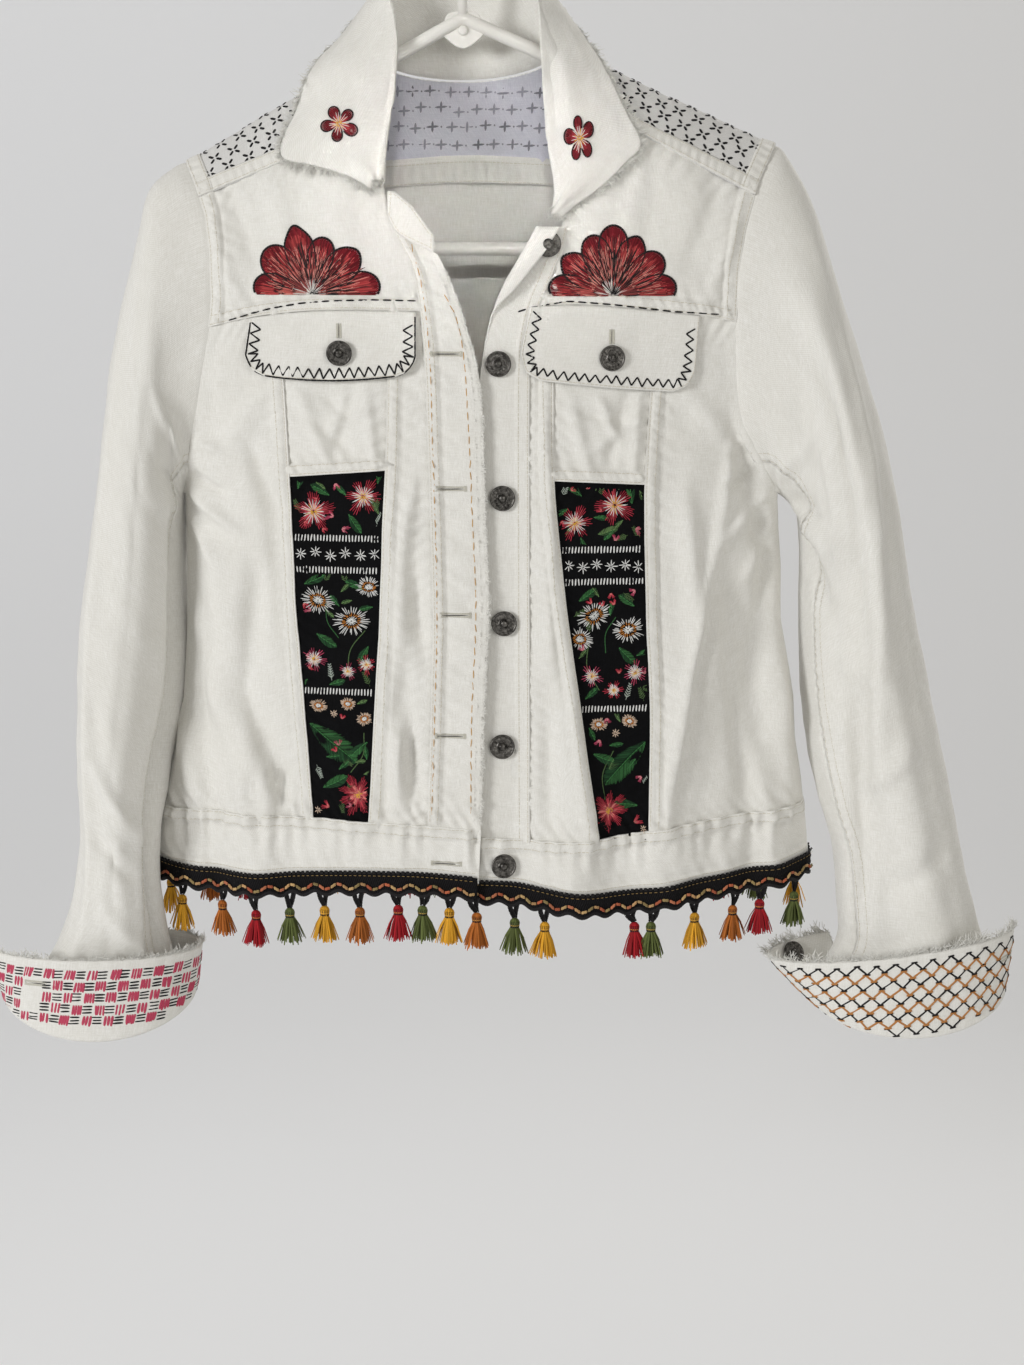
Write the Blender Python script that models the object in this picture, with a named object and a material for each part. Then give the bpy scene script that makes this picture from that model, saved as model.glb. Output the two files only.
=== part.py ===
"""A denim jacket on a plastic hanger: thin cloth walls, trim with tassels, buttons and hanger.

Sizes are in millimetres and become metres as each mesh is made. +Z is up, the front faces -Y, and the
origin is the bearing point inside the hanger's hook. LEFT and RIGHT are the viewer's, seen from the front.
"""

import math
from functools import partial

import bmesh
import bpy
from mathutils import Vector

LEFT = -1
RIGHT = 1
MM = 0.001

# Walls and gaps
DENIM = 1.6
DOUBLE = 2.2
BAND = 3.0
SEAM_GAP = 0.36
CLEAR = 0.3
SOFTENING = 20.0

# Body: shoulder tip, neck point and armpit height of each side, as (x, z)
SHOULDER_TIP = {LEFT: (-189, -180), RIGHT: (212, -169)}
NECK_POINT = {LEFT: (-62, -107), RIGHT: (66, -104)}
ARMPIT_Z = -404
CENTRE_X = 14
CREST_RADIUS = 5.6
CREST_ROUND = 3.4
CREST_SLOPE = 0.9
FRONT_DEPTH = 43.0
FRONT_GROWTH = 0.042
BACK_DEPTH = 50.0
BACK_GROWTH = 0.036
ARMHOLE_FULLNESS = 0.85
ROUND_START = 0.7
SLOPE_POWER = 1.7

# Where the fronts overlap: first and last x of the shift between them
OVERLAP_SHIFT = 2.6
OVERLAP_SPAN = {LEFT: (-30, 4), RIGHT: (52, 18)}

# Side outline of each side: columns (z, x), the armhole above the armpit and the side seam below
SIDE_OUTLINE = {
    LEFT: (
        (-692, -226), (-628, -223), (-607, -215), (-580, -209), (-552, -203), (-511, -199.5), (-477, -198),
        (-404, -196), (-374, -190), (-345, -184), (-318, -178), (-291, -173), (-271, -170.5),
        (-238, -171), (-215, -174), (-198, -180), (-180, -189),
    ),
    RIGHT: (
        (-692, 250), (-668, 248.7), (-628, 244.5), (-604, 240.9), (-580, 236.6), (-552, 235), (-524, 229),
        (-495, 223.4), (-458, 223), (-404, 219), (-375, 203), (-359, 194), (-338, 188), (-311, 185),
        (-284, 185), (-251, 186), (-225, 190), (-197, 198), (-169, 212),
    ),
}

# Upright seams: columns (z, x)
INSERT_OUTER = {
    LEFT: ((-640, -106), (-475, -116), (-390, -119), (-324, -122), (-270, -121)),
    RIGHT: ((-650, 129), (-553, 129), (-479, 125), (-395, 123), (-327, 127), (-270, 129)),
}
INSERT_INNER = {
    LEFT: ((-640, -68), (-501, -59), (-384, -53), (-322, -51), (-270, -50)),
    RIGHT: ((-650, 94), (-552, 81), (-477, 70), (-391, 61), (-324, 61), (-268, 60)),
}
PLACKET_SEAM = {
    LEFT: (
        (-640, -26), (-550, -23), (-481, -21), (-397, -23), (-362, -24), (-317, -25), (-279, -28),
        (-259, -31), (-231, -38),
    ),
    RIGHT: ((-650, 46), (-337, 45), (-290, 46), (-271, 52), (-244, 65), (-222, 73)),
}
FRONT_EDGE = {
    LEFT: (
        (-690, 9), (-620, 12), (-550, 14), (-480, 18), (-407, 15), (-362, 14), (-332, 13), (-307, 9),
        (-291, 4), (-272, -4), (-256, -6), (-240, -17),
    ),
    RIGHT: (
        (-690, 2), (-621, 4), (-551, 5), (-404, 6), (-364, 6), (-324, 10), (-292, 15.5), (-278, 19.5),
        (-264, 25), (-249, 34.5), (-233, 46), (-222, 51),
    ),
}
NECK_EDGE = {
    LEFT: ((-231, -38), (-224, -46), (-219, -55), (-199, -56), (-179, -58), (-157, -60)),
    RIGHT: ((-222, 73), (-205, 71.5), (-192, 72), (-166, 73), (-140, 75)),
}

# Level seams: columns (x, z)
YOKE_SEAM = {LEFT: ((-190, -208), (-60, -157)), RIGHT: ((75, -140), (202, -205))}
CHEST_SEAM = {
    LEFT: ((-176, -290), (-150, -283), (-121, -279), (-90, -277), (-28, -278), (12, -279)),
    RIGHT: ((44, -275), (70, -273), (102, -275), (142, -279), (178, -283), (190, -287)),
}
INSERT_TOP = {LEFT: ((-125, -390), (-48, -384)), RIGHT: ((55, -391), (130, -395))}
BAND_TOP = {
    LEFT: ((-225, -631), (-167, -627), (-116, -627), (-73, -629), (-23, -631), (14, -633)),
    RIGHT: ((0, -639), (45, -641.5), (86, -641.5), (130, -636), (182, -630), (246, -628)),
}
BAND_BOTTOM = {
    LEFT: ((-228, -673), (-181, -676), (-145, -674), (-95, -670), (-58, -669), (-24, -669), (14, -672)),
    RIGHT: ((0, -675), (44, -677), (77, -685), (113, -684), (165, -678), (219, -674), (252, -670)),
}
BACK_SEAM_LEFT = ((-640, -58), (-400, -78), (-190, -104))
BACK_SEAM_RIGHT = ((-640, 86), (-400, 104), (-190, 128))
BACK_YOKE_SEAM = ((-190, -209), (-120, -187), (0, -178), (130, -184), (205, -203))
BACK_BAND_TOP = ((-226, -631), (-100, -634), (14, -636), (130, -633), (250, -628))
BACK_BAND_BOTTOM = ((-230, -673), (-100, -677), (14, -679), (130, -676), (254, -670))
BACK_NECK_DROP = 20

FOLD_FADE = 14
FOLD_ENDS = 3

# Soft folds of the body: columns (x at top, z at top, x at bottom, z at bottom, width, height)
FRONT_FOLDS = (
    (-172, -383, -147, -640, 15, 4.0),
    (-187, -430, -178, -640, 10, -2.5),
    (-140, -330, -84, -300, 16, 1.5),
    (168, -470, 141, -640, 16, 4.5),
    (196, -440, 200, -640, 12, -3.0),
    (206, -560, 224, -680, 9, 3.0),
    (88, -560, 78, -690, 20, 4.0),
    (30, -330, 36, -640, 14, -1.5),
)
BACK_FOLDS = (
    (-150, -300, -132, -680, 22, 5.0),
    (-40, -240, -30, -680, 26, -4.0),
    (60, -260, 66, -680, 24, 5.0),
    (165, -330, 178, -680, 20, -4.5),
)

# The right placket's turned-back top: columns (z, cloth past the fold) and (z, radius of the fold)
TURN_LENGTH = ((-292, 0.0), (-280, 1.5), (-272, 6.0), (-264, 12.0), (-252, 16.0), (-240, 18.5), (-215, 20.0))
TURN_RADIUS = ((-292, 1.4), (-272, 2.4), (-252, 4.0), (-215, 4.3))
PLACKET_TOP_Z = -223
PLACKET_START = 0.9
PLACKET_ROW_POWER = 1.4
PLACKET_TOP = {LEFT: ((-45, -227), (-38, -231), (-17, -241), (-5, -246))}

# Flaps: columns (x, z) of the lower outline, with the side seams of the flap as (x at top, x at bottom)
FLAP_SIDES = {LEFT: (-144, -148, -31, -31), RIGHT: (45, 39, 160, 157)}
FLAP_BOTTOM = {
    LEFT: ((-148, -308), (-143, -317), (-133, -322), (-90, -325), (-47, -322), (-37, -318), (-31, -310)),
    RIGHT: ((39, -306), (42, -318), (52, -324), (98, -329), (142, -332), (152, -328), (157, -318)),
}
FLAP_LIFT_TOP = 2.0
FLAP_LIFT_BOTTOM = 3.6

# The neck band's tab: columns (x, z)
TAB_TOP = ((-49, -200), (-45, -200), (-34, -209), (-20, -228))
TAB_BOTTOM = ((-49, -215.5), (-46.6, -221), (-44, -226), (-42, -228.2), (-38, -230.6), (-18, -240.2))
TAB_FIRST_X = -49.5
TAB_LAST_X = -19.0

# Collar rows from the front end to the back: columns (neck x, neck z, fold x, y, z, edge x, y, z).
# An edge y of None is laid on the body, and a neck z of None is on the back neck.
ON_BODY = None
COLLAR_ROWS = {
    LEFT: (
        (-55.0, -199, -51, -44, -192, -60, ON_BODY, -198),
        (-56.0, -193, -50.5, -43, -185, -75, ON_BODY, -190),
        (-57.5, -184, -50, -41, -177, -98, ON_BODY, -183),
        (-58.5, -173, -49, -38, -167, -119, ON_BODY, -178),
        (-59.5, -161, -47, -33, -153, -121, ON_BODY, -168),
        (-60.0, -147, -44, -27, -134, -112, ON_BODY, -146),
        (-60.8, -131, -43, -20, -115, -104, -12, -124),
        (-61.4, -119, -43, -14, -98, -95, 1, -109),
        (-61.8, -111, -45, -9, -83, -85, 12, -97),
        (-62.0, -107, -49, -3, -70, -75, 21, -84),
        (-57.0, None, -52, 9, -61, -66, 30, -75),
        (-45.0, None, -46, 23, -56, -54, 40, -69),
        (-25.0, None, -27, 35, -53, -30, 51, -69),
    ),
    RIGHT: (
        (70.0, -216, 62, -47, -207, 64, ON_BODY, -218),
        (70.5, -208, 61, -46, -199, 74, ON_BODY, -210),
        (71.0, -198, 60, -43, -191, 93, ON_BODY, -196),
        (71.5, -186, 58, -40, -180, 110, ON_BODY, -180),
        (72.5, -172, 56, -35, -168, 119, ON_BODY, -169),
        (73.5, -155, 55, -29, -151, 111, ON_BODY, -151),
        (74.0, -140, 53, -22, -130, 101, -17, -130),
        (71.0, -122, 52, -14, -110, 92, -4, -112),
        (68.3, -111, 51, -9, -92, 83, 8, -98),
        (66.0, -104, 50, -3, -75, 75, 18, -86),
        (60.0, None, 51, 9, -64, 67, 30, -76),
        (47.0, None, 46, 23, -57, 55, 40, -70),
        (26.0, None, 27, 35, -53, 30, 51, -69),
    ),
}
COLLAR_BACK = (0.0, None, 0, 40, -52, 0, 56, -70)
COLLAR_FOLD_RADIUS = 2.7
LEAF_LIFT = 4.6
LEAF_BULGE = 3.0
YOKE_ROW_POWER = 1.5

# Sleeve rings: columns (outer x, outer z, inner x, inner z, half depth, centre y)
SLEEVE_RINGS = {
    LEFT: (
        (-206, -187, -199.5, -408, 40, 0), (-218, -199, -200.5, -413, 43, 0), (-223, -226, -201, -421, 46, 0),
        (-233, -265, -201.5, -436, 49, 0), (-243, -308, -202, -456, 51, -2), (-252, -370, -203, -485, 52, -6),
        (-262, -438, -204, -520, 50, -12), (-271, -494, -208, -558, 47, -18), (-273, -552, -217, -596, 41, -28),
        (-274, -600, -221, -640, 35, -34), (-274, -645, -221, -672, 32, -36), (-281, -688, -218, -704, 30, -37),
        (-294, -723, -214, -730, 28, -37), (-311, -748, -207, -752, 28, -36),
    ),
    RIGHT: (
        (226, -179, 224, -407, 41, 0), (238, -200, 230, -412, 44, 0), (246, -225, 235, -419, 47, 0),
        (257, -262, 239, -428, 50, 0), (270, -300, 241, -442, 52, -1), (287, -348, 243, -466, 52, -3),
        (303, -410, 245, -500, 50, -6), (316, -484, 248, -540, 47, -10), (331, -551, 252, -585, 44, -14),
        (346, -614, 259, -625, 40, -16), (357, -662, 267, -658, 36, -18), (366, -696, 270, -695, 31, -20),
        (374, -724, 272, -726, 28, -20), (386, -752, 262, -748, 28, -20),
    ),
}
RING_POINTS = 20
# Sleeve pieces: columns (name, first and last point round the ring, first and last ring, sides with a gap).
# The left sleeve's upper piece is in four parts, so that each part's wall bends less.
SLEEVE_PIECES = {
    LEFT: (
        ("under_left", 8, 13, 0, 15, "lr"),
        ("back_left", 13, 20, 0, 8, "lrb"),
        ("front_left", 20, 28, 0, 8, "lrb"),
        ("back_low_left", 13, 20, 8, 15, "lrt"),
        ("front_low_left", 20, 28, 8, 15, "lrt"),
    ),
    RIGHT: (
        ("under_right", 8, 13, 0, 15, "lr"),
        ("upper_right", 13, 28, 0, 15, "lr"),
    ),
}
SLEEVE_KEEP = (0.55, 0.25, 0.08)
PIT_STEP = 0.6
PIT_POWER = 4
RING_FOLD_FADE = 0.12
# Sleeve folds: columns (angle from the outer edge in degrees, width, depth, first ring share, last ring share)
SLEEVE_FOLDS = {
    LEFT: (
        (126, 15, -7.0, 0.10, 0.95), (98, 14, 3.0, 0.15, 0.9), (62, 14, -3.0, 0.2, 0.8), (240, 20, -5.0, 0.1, 0.9),
    ),
    RIGHT: (
        (112, 15, -7.0, 0.08, 0.95), (78, 15, 4.0, 0.1, 0.9), (48, 12, -3.0, 0.25, 0.9), (235, 20, -5.0, 0.1, 0.9),
    ),
}

# Cuffs: centre and half widths of the lower and upper rings, first and last angle from +X in degrees
CUFF = {
    LEFT: dict(
        low=(-266, -36), low_half=(69, 31), top=(-267, -36), top_half=(76, 38),
        low_z=-764, drop=26, top_z=-727, tilt=0.0, first=72, last=-178,
    ),
    RIGHT: dict(
        low=(322, -20), low_half=(72, 31), top=(309, -20), top_half=(89, 38),
        low_z=-768, drop=26, top_z=-730, tilt=0.13, first=8, last=-243,
    ),
}
SLEEVE_END_RISE = 3.0
CUFF_DROP_POWER = 1.3
CUFF_FLARE_POWER = 0.8
CUFF_BUTTON_HEIGHT = 0.72
CUFF_BUTTON_ANGLE = {LEFT: 58, RIGHT: -212}

# Trim and tassels: x of each tassel along the front, count along the back
TRIM_LAP = 4.0
TRIM_DROP = 11.0
TRIM_WALL = 1.6
TRIM_END = 0.8
TASSEL_ROOM = 0.8
TASSEL_X = {
    LEFT: (-203, -172, -149, -124, -100, -75, -48, -28, -10, 6),
    RIGHT: (34, 56, 116, 133, 161, 191, 212, 236),
}
BACK_TASSELS = 17
CORD_HALF = 1.3
# Tassel body under the trim: columns (drop, half width)
TASSEL_RINGS = ((14.0, 1.2), (2.0, 2.7), (5.0, 2.7), (3.0, 3.6))
TASSEL_SQUARE = 1.3
LOCK_INSET = 0.3
LOCK_LENGTH = 13.0
LOCK_SPREAD = 3.2

# Buttons: columns (radius, height) of the turned outline
BUTTON_OUTLINE = ((3.0, 0.0), (3.0, 1.2), (8.6, 1.5), (7.9, 3.5), (4.6, 2.9), (1.8, 4.2))
BUTTON_SIDES = 12
PLACKET_BUTTONS = ((24, -313), (26.5, -403), (27.5, -489), (26, -575), (27, -660))
FLAP_BUTTONS = {LEFT: (-83, -305), RIGHT: (100, -309)}
NECK_BUTTON = (57.0, -234.0)
FLAP_BUTTON_LIFT = 2.9
RIVET_OUTLINE = ((3.4, 0.0), (3.6, 0.6), (2.2, 1.2))

# Hanger
TUBE_RADIUS = 4.5
HOOK_TUBE_RADIUS = 3.6
HOOK_INNER_RADIUS = 19.0
HANGER_CORNERS = ((0, -85.3, 10), (-190, -188.2, 18), (-174, -237, 18), (186, -237, 18), (206, -174.6, 18))
PLATE_OUTLINE = ((-13, -92), (-12, -98), (0, -105), (12, -98), (13, -92), (9, -82), (-9, -82))
PLATE_HALF = 1.5

IVORY = (0.80, 0.78, 0.72)
YOKE_GREY = (0.76, 0.77, 0.80)
BLACK = (0.02, 0.02, 0.022)
PEWTER = (0.16, 0.15, 0.14)
PLASTIC = (0.85, 0.84, 0.81)


def clamp(value, low=0.0, high=1.0):
    """Returns value held between low and high."""
    return max(low, min(high, value))


def lookup(rows, at):
    """Reads a table of (key, value) rows with straight lines between them."""
    rows = sorted(rows)
    if at <= rows[0][0]:
        return rows[0][1]
    for (key, value), (next_key, next_value) in zip(rows, rows[1:]):
        if at <= next_key:
            share = (at - key) / (next_key - key)
            return value + (next_value - value) * share
    return rows[-1][1]


def carried_on(rows, at):
    """Reads the table, with its first and last slopes carried on past its ends."""
    rows = sorted(rows)
    if at < rows[0][0]:
        (key, value), (next_key, next_value) = rows[0], rows[1]
    elif at > rows[-1][0]:
        (key, value), (next_key, next_value) = rows[-1], rows[-2]
    else:
        return lookup(rows, at)
    return value + (next_value - value) * (at - key) / (next_key - key)


def smooth(rows, at):
    """Reads the table as a soft curve: the mean of straight readings close together."""
    steps = 4
    readings = [carried_on(rows, at + SOFTENING * i / steps) for i in range(-steps, steps + 1)]
    return sum(readings) / len(readings)


def crest_z(x):
    """Height of the shoulder ridge above x."""
    left_x, left_z = NECK_POINT[LEFT]
    right_x, right_z = NECK_POINT[RIGHT]
    if left_x < x < right_x:
        return left_z + (right_z - left_z) * (x - left_x) / (right_x - left_x)
    side = LEFT if x < 0 else RIGHT
    tip_x, tip_z = SHOULDER_TIP[side]
    neck_x, neck_z = NECK_POINT[side]
    return neck_z + (tip_z - neck_z) * (x - neck_x) / (tip_x - neck_x)


def depth_below(drop, full, growth):
    """How far the cloth stands from the hanger's plane, at this drop below the ridge."""
    drop = max(drop, 0.0)
    if drop <= CREST_ROUND:
        return math.sqrt(2 * CREST_RADIUS * drop)
    start = math.sqrt(2 * CREST_RADIUS * CREST_ROUND)
    fade = (full - start) / CREST_SLOPE
    return start + (full + growth * drop - start) * (1 - math.exp((CREST_ROUND - drop) / fade))


def side_x(side, z):
    """x of the side seam, or of the armhole above the armpit."""
    return lookup(SIDE_OUTLINE[side], min(z, SHOULDER_TIP[side][1]))


def fullness(x, z):
    """Share of the full depth at x: it falls to nothing at the side seam, and partly at the armhole."""
    side = LEFT if x < CENTRE_X else RIGHT
    tip_z = SHOULDER_TIP[side][1]
    outer = side_x(side, z)
    inward = clamp((x - outer) / (CENTRE_X - outer))
    down = clamp((tip_z - z) / (tip_z - ARMPIT_Z))
    at_edge = ARMHOLE_FULLNESS * math.sqrt(1 - down * down)
    round_share = clamp((down - ROUND_START) / (1 - ROUND_START))
    round_share = round_share * round_share * (3 - 2 * round_share)
    ellipse = math.sqrt(max(1 - (1 - inward) ** 2, 0.0))
    slope = 1 - (1 - inward) ** SLOPE_POWER
    return at_edge + (1 - at_edge) * (round_share * ellipse + (1 - round_share) * slope)


def folds(rows, x, z):
    """Height of the soft folds at x and z. They fade out at the side."""
    side = LEFT if x < CENTRE_X else RIGHT
    edge_fade = clamp(abs(x - side_x(side, z)) / FOLD_FADE)
    height = 0.0
    for top_x, top_z, low_x, low_z, width, rise in rows:
        share = clamp((z - top_z) / (low_z - top_z))
        ends = math.sin(math.pi / 2 * clamp(share * FOLD_ENDS))
        off = (x - top_x - (low_x - top_x) * share) / width
        height += rise * ends * math.exp(-off * off)
    return height * edge_fade


def front(x, z, lift=0.0):
    """Point of the front's middle surface."""
    depth = depth_below(crest_z(x) - z, FRONT_DEPTH, FRONT_GROWTH) * fullness(x, z)
    return Vector((x, -depth - folds(FRONT_FOLDS, x, z) - lift, z))


def lapped(side):
    """The front surface of one side, moved apart from the other where the fronts overlap."""

    def surface(x, z, lift=0.0):
        start, end = OVERLAP_SPAN[side]
        share = clamp((x - start) / (end - start))
        return front(x, z, lift - side * OVERLAP_SHIFT * share)

    return surface


def back(x, z, lift=0.0):
    """Point of the back's middle surface."""
    depth = depth_below(crest_z(x) - z, BACK_DEPTH, BACK_GROWTH) * fullness(x, z)
    return Vector((x, depth + folds(BACK_FOLDS, x, z) + lift, z))


def back_neck_z(x):
    """Height of the back neck seam."""
    middle = (NECK_POINT[LEFT][0] + NECK_POINT[RIGHT][0]) / 2
    half = (NECK_POINT[RIGHT][0] - NECK_POINT[LEFT][0]) / 2
    return crest_z(x) - BACK_NECK_DROP * math.sqrt(max(1 - ((x - middle) / half) ** 2, 0.0))


def normals_of(grid, side_seams="", ring=False):
    """Unit normals of a grid of points, from its neighbours. At a side seam they lie square to the Y axis."""
    rows, cols = len(grid), len(grid[0])
    result = []
    for r in range(rows):
        line = []
        for c in range(cols):
            down = grid[min(r + 1, rows - 1)][c] - grid[max(r - 1, 0)][c]
            if ring:
                across = grid[r][(c + 1) % cols] - grid[r][c - 1]
            else:
                across = grid[r][min(c + 1, cols - 1)] - grid[r][max(c - 1, 0)]
            line.append(down.cross(across).normalized())
        result.append(line)
    for name, column in (("l", 0), ("r", cols - 1)):
        for line, points in zip(result, grid):
            if name in side_seams and abs(points[column].y) < 1:
                line[column] = Vector((line[column].x, 0, line[column].z)).normalized()
    return result


def drawn_in(grid, sides):
    """The grid with its named sides moved in by half a seam gap: t, b, l and r."""
    half = SEAM_GAP / 2
    grid = [list(line) for line in grid]
    if "t" in sides:
        grid[0] = [p + (q - p).normalized() * half for p, q in zip(grid[0], grid[1])]
    if "b" in sides:
        grid[-1] = [p + (q - p).normalized() * half for p, q in zip(grid[-1], grid[-2])]
    for line in grid:
        if "l" in sides:
            line[0] = line[0] + (line[1] - line[0]).normalized() * half
        if "r" in sides:
            line[-1] = line[-1] + (line[-2] - line[-1]).normalized() * half
    return grid


def wall_mesh(grid, thickness, present=None, normals=None):
    """A bmesh wall round a grid of middle points, in metres. present(r, c) says which cells exist."""
    rows, cols = len(grid), len(grid[0])
    normals = normals or normals_of(grid)
    mesh = bmesh.new()
    faces = {}
    for face in (1, -1):
        for r in range(rows):
            for c in range(cols):
                point = grid[r][c] + normals[r][c] * (face * thickness / 2)
                faces[face, r, c] = mesh.verts.new(point * MM)
    cells = {(r, c) for r in range(rows - 1) for c in range(cols - 1) if present is None or present(r, c)}
    for r, c in cells:
        corners = ((r, c), (r + 1, c), (r + 1, c + 1), (r, c + 1))
        mesh.faces.new([faces[1, a, b] for a, b in corners])
        mesh.faces.new([faces[-1, a, b] for a, b in reversed(corners)])
        beside = ((r, c - 1), (r + 1, c), (r, c + 1), (r - 1, c))
        for index, neighbour in enumerate(beside):
            if neighbour in cells:
                continue
            start, end = corners[index], corners[(index + 1) % 4]
            mesh.faces.new((faces[1, *end], faces[1, *start], faces[-1, *start], faces[-1, *end]))
    loose = [vertex for vertex in mesh.verts if not vertex.link_faces]
    bmesh.ops.delete(mesh, geom=loose, context="VERTS")
    return mesh


def material(name, colour, roughness=0.85, metallic=0.0):
    """A plain Principled material."""
    made = bpy.data.materials.new(name)
    made.use_nodes = True
    shader = made.node_tree.nodes["Principled BSDF"]
    shader.inputs["Base Color"].default_value = (*colour, 1.0)
    shader.inputs["Roughness"].default_value = roughness
    shader.inputs["Metallic"].default_value = metallic
    return made


def add_object(name, mesh, colour, roughness=0.85, metallic=0.0):
    """Turns a bmesh into a named object with outward normals, smooth shading and its own material."""
    bmesh.ops.recalc_face_normals(mesh, faces=mesh.faces)
    data = bpy.data.meshes.new(name)
    mesh.to_mesh(data)
    mesh.free()
    data.shade_smooth()
    data.materials.append(material(name, colour, roughness, metallic))
    made = bpy.data.objects.new(name, data)
    bpy.context.scene.collection.objects.link(made)
    return made


def add_wall(name, grid, thickness, colour, sides="tblr", present=None, normals=None):
    """A cloth piece from its middle surface."""
    return add_object(name, wall_mesh(drawn_in(grid, sides), thickness, present, normals), colour)


def shares(count, round_first=False):
    """Even shares from 0 to 1, or closer together at the start, where the cloth turns at the side."""
    even = [i / count for i in range(count + 1)]
    if not round_first:
        return even
    return [1 - math.cos(math.acos(1 - 0.999) * share) for share in even]


def row_shares(top_z, low_z, side, rows):
    """Shares down a panel's edge that meet the armhole's own points, with even rows below the armpit."""
    tip_z = SHOULDER_TIP[side][1]
    stops = [tip_z + (ARMPIT_Z - tip_z) * (1 - math.cos(2 * math.pi * i / RING_POINTS)) / 2
             for i in range(RING_POINTS // 2 + 1)]
    margin = 5.0
    inside = [z for z in stops if low_z + margin < z < top_z - margin]
    if low_z < ARMPIT_Z:
        rest = rows - len(inside)
        inside += [ARMPIT_Z + (low_z - ARMPIT_Z) * i / rest for i in range(1, rest)]
    else:
        middles = [(a + b) / 2 for a, b in zip([top_z] + inside, inside + [low_z])]
        inside = sorted(inside + middles, reverse=True)
    return [0.0] + [(z - top_z) / (low_z - top_z) for z in inside] + [1.0]


def panel_grid(surface, left, right, top, bottom, rows, cols, round_side=None):
    """Grid of a panel between two upright seams, x from z, and two level seams, z from x."""

    def corner(upright, level, z):
        for _ in range(12):
            z = level(upright(z))
        return upright(z), z

    top_left = corner(left, top, -250)
    top_right = corner(right, top, -250)
    low_left = corner(left, bottom, -600)
    low_right = corner(right, bottom, -600)
    across = shares(cols)
    if round_side == LEFT:
        across = shares(cols, True)
        across = [share / across[-1] for share in across]
    if round_side == RIGHT:
        across = shares(cols, True)
        across = [1 - share / across[-1] for share in reversed(across)]
    downward = shares(rows)
    if round_side is not None and rows > 2:
        edge_top, edge_low = (top_left, low_left) if round_side == LEFT else (top_right, low_right)
        downward = row_shares(edge_top[1], edge_low[1], round_side, rows)
    grid = []
    for v in downward:
        z_left = top_left[1] + (low_left[1] - top_left[1]) * v
        z_right = top_right[1] + (low_right[1] - top_right[1]) * v
        x_left, x_right = left(z_left), right(z_right)
        line = []
        for u in across:
            x = x_left + (x_right - x_left) * u
            x_top = top_left[0] + (top_right[0] - top_left[0]) * u
            x_low = low_left[0] + (low_right[0] - low_left[0]) * u
            z_even = z_left + (z_right - z_left) * u
            bow_top = top(x_top) - (top_left[1] + (top_right[1] - top_left[1]) * u)
            bow_low = bottom(x_low) - (low_left[1] + (low_right[1] - low_left[1]) * u)
            line.append(surface(x, z_even + bow_top * (1 - v) + bow_low * v))
        grid.append(line)
    return grid


def reader(rows):
    """A table as a function."""
    return partial(smooth, rows)


def inner_edge(side):
    """Inner edge of the chest piece and seam of the placket, from the hem to the neck."""
    return PLACKET_SEAM[side] + NECK_EDGE[side][1:]


def add_panel(name, grid, thickness, colour, round_side):
    """A body piece, whose side seam may be named."""
    side_seams = {LEFT: "l", RIGHT: "r", None: ""}[round_side]
    grid = drawn_in(grid, "tblr")
    add_object(name, wall_mesh(grid, thickness, None, normals_of(grid, side_seams)), colour)


def add_front_panels(side):
    """Chest, side, pocket, insert, inner and band pieces of one front."""
    word = "left" if side == LEFT else "right"
    surface = lapped(side)
    outline = partial(side_x, side)
    placket = reader(inner_edge(side))
    outer, inner = reader(INSERT_OUTER[side]), reader(INSERT_INNER[side])
    yoke, chest = reader(YOKE_SEAM[side]), reader(CHEST_SEAM[side])
    insert_top, band_top = reader(INSERT_TOP[side]), reader(BAND_TOP[side])
    pieces = (
        ("chest", outline, placket, yoke, chest, 8, 9, side, IVORY),
        ("side", outline, outer, chest, band_top, 14, 6, side, IVORY),
        ("pocket", outer, inner, chest, insert_top, 4, 4, None, IVORY),
        ("insert", outer, inner, insert_top, band_top, 9, 3, None, BLACK),
        ("inner", inner, placket, chest, band_top, 13, 3, None, IVORY),
    )
    for name, seam_out, seam_in, top, bottom, rows, cols, rounded, colour in pieces:
        seams = (seam_out, seam_in) if side == LEFT else (seam_in, seam_out)
        grid = panel_grid(surface, *seams, top, bottom, rows, cols, rounded)
        add_panel(f"{name}_{word}", grid, DENIM, colour, rounded)


def add_left_placket():
    """The buttonhole placket, full length from the neck to the waistband."""
    seams = (reader(inner_edge(LEFT)), reader(FRONT_EDGE[LEFT]))
    levels = (reader(PLACKET_TOP[LEFT]), reader(BAND_TOP[LEFT]))
    add_wall("placket_left", panel_grid(lapped(LEFT), *seams, *levels, 16, 3), DENIM, IVORY)


def turned_point(surface, z, along):
    """Point of the right placket, this far along the cloth from its seam, round the turned-back fold."""
    seam = smooth(inner_edge(RIGHT), z)
    fold = smooth(FRONT_EDGE[RIGHT], z)
    radius = lookup(TURN_RADIUS, z)
    past = along - (seam - fold - radius)
    if past <= 0:
        return surface(seam - along, z)
    base = surface(fold + radius, z)
    angle = min(past / radius, math.pi)
    flat = max(past - math.pi * radius, 0.0)
    return base + Vector((flat - radius * math.sin(angle), -radius * (1 - math.cos(angle)), 0))


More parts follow.
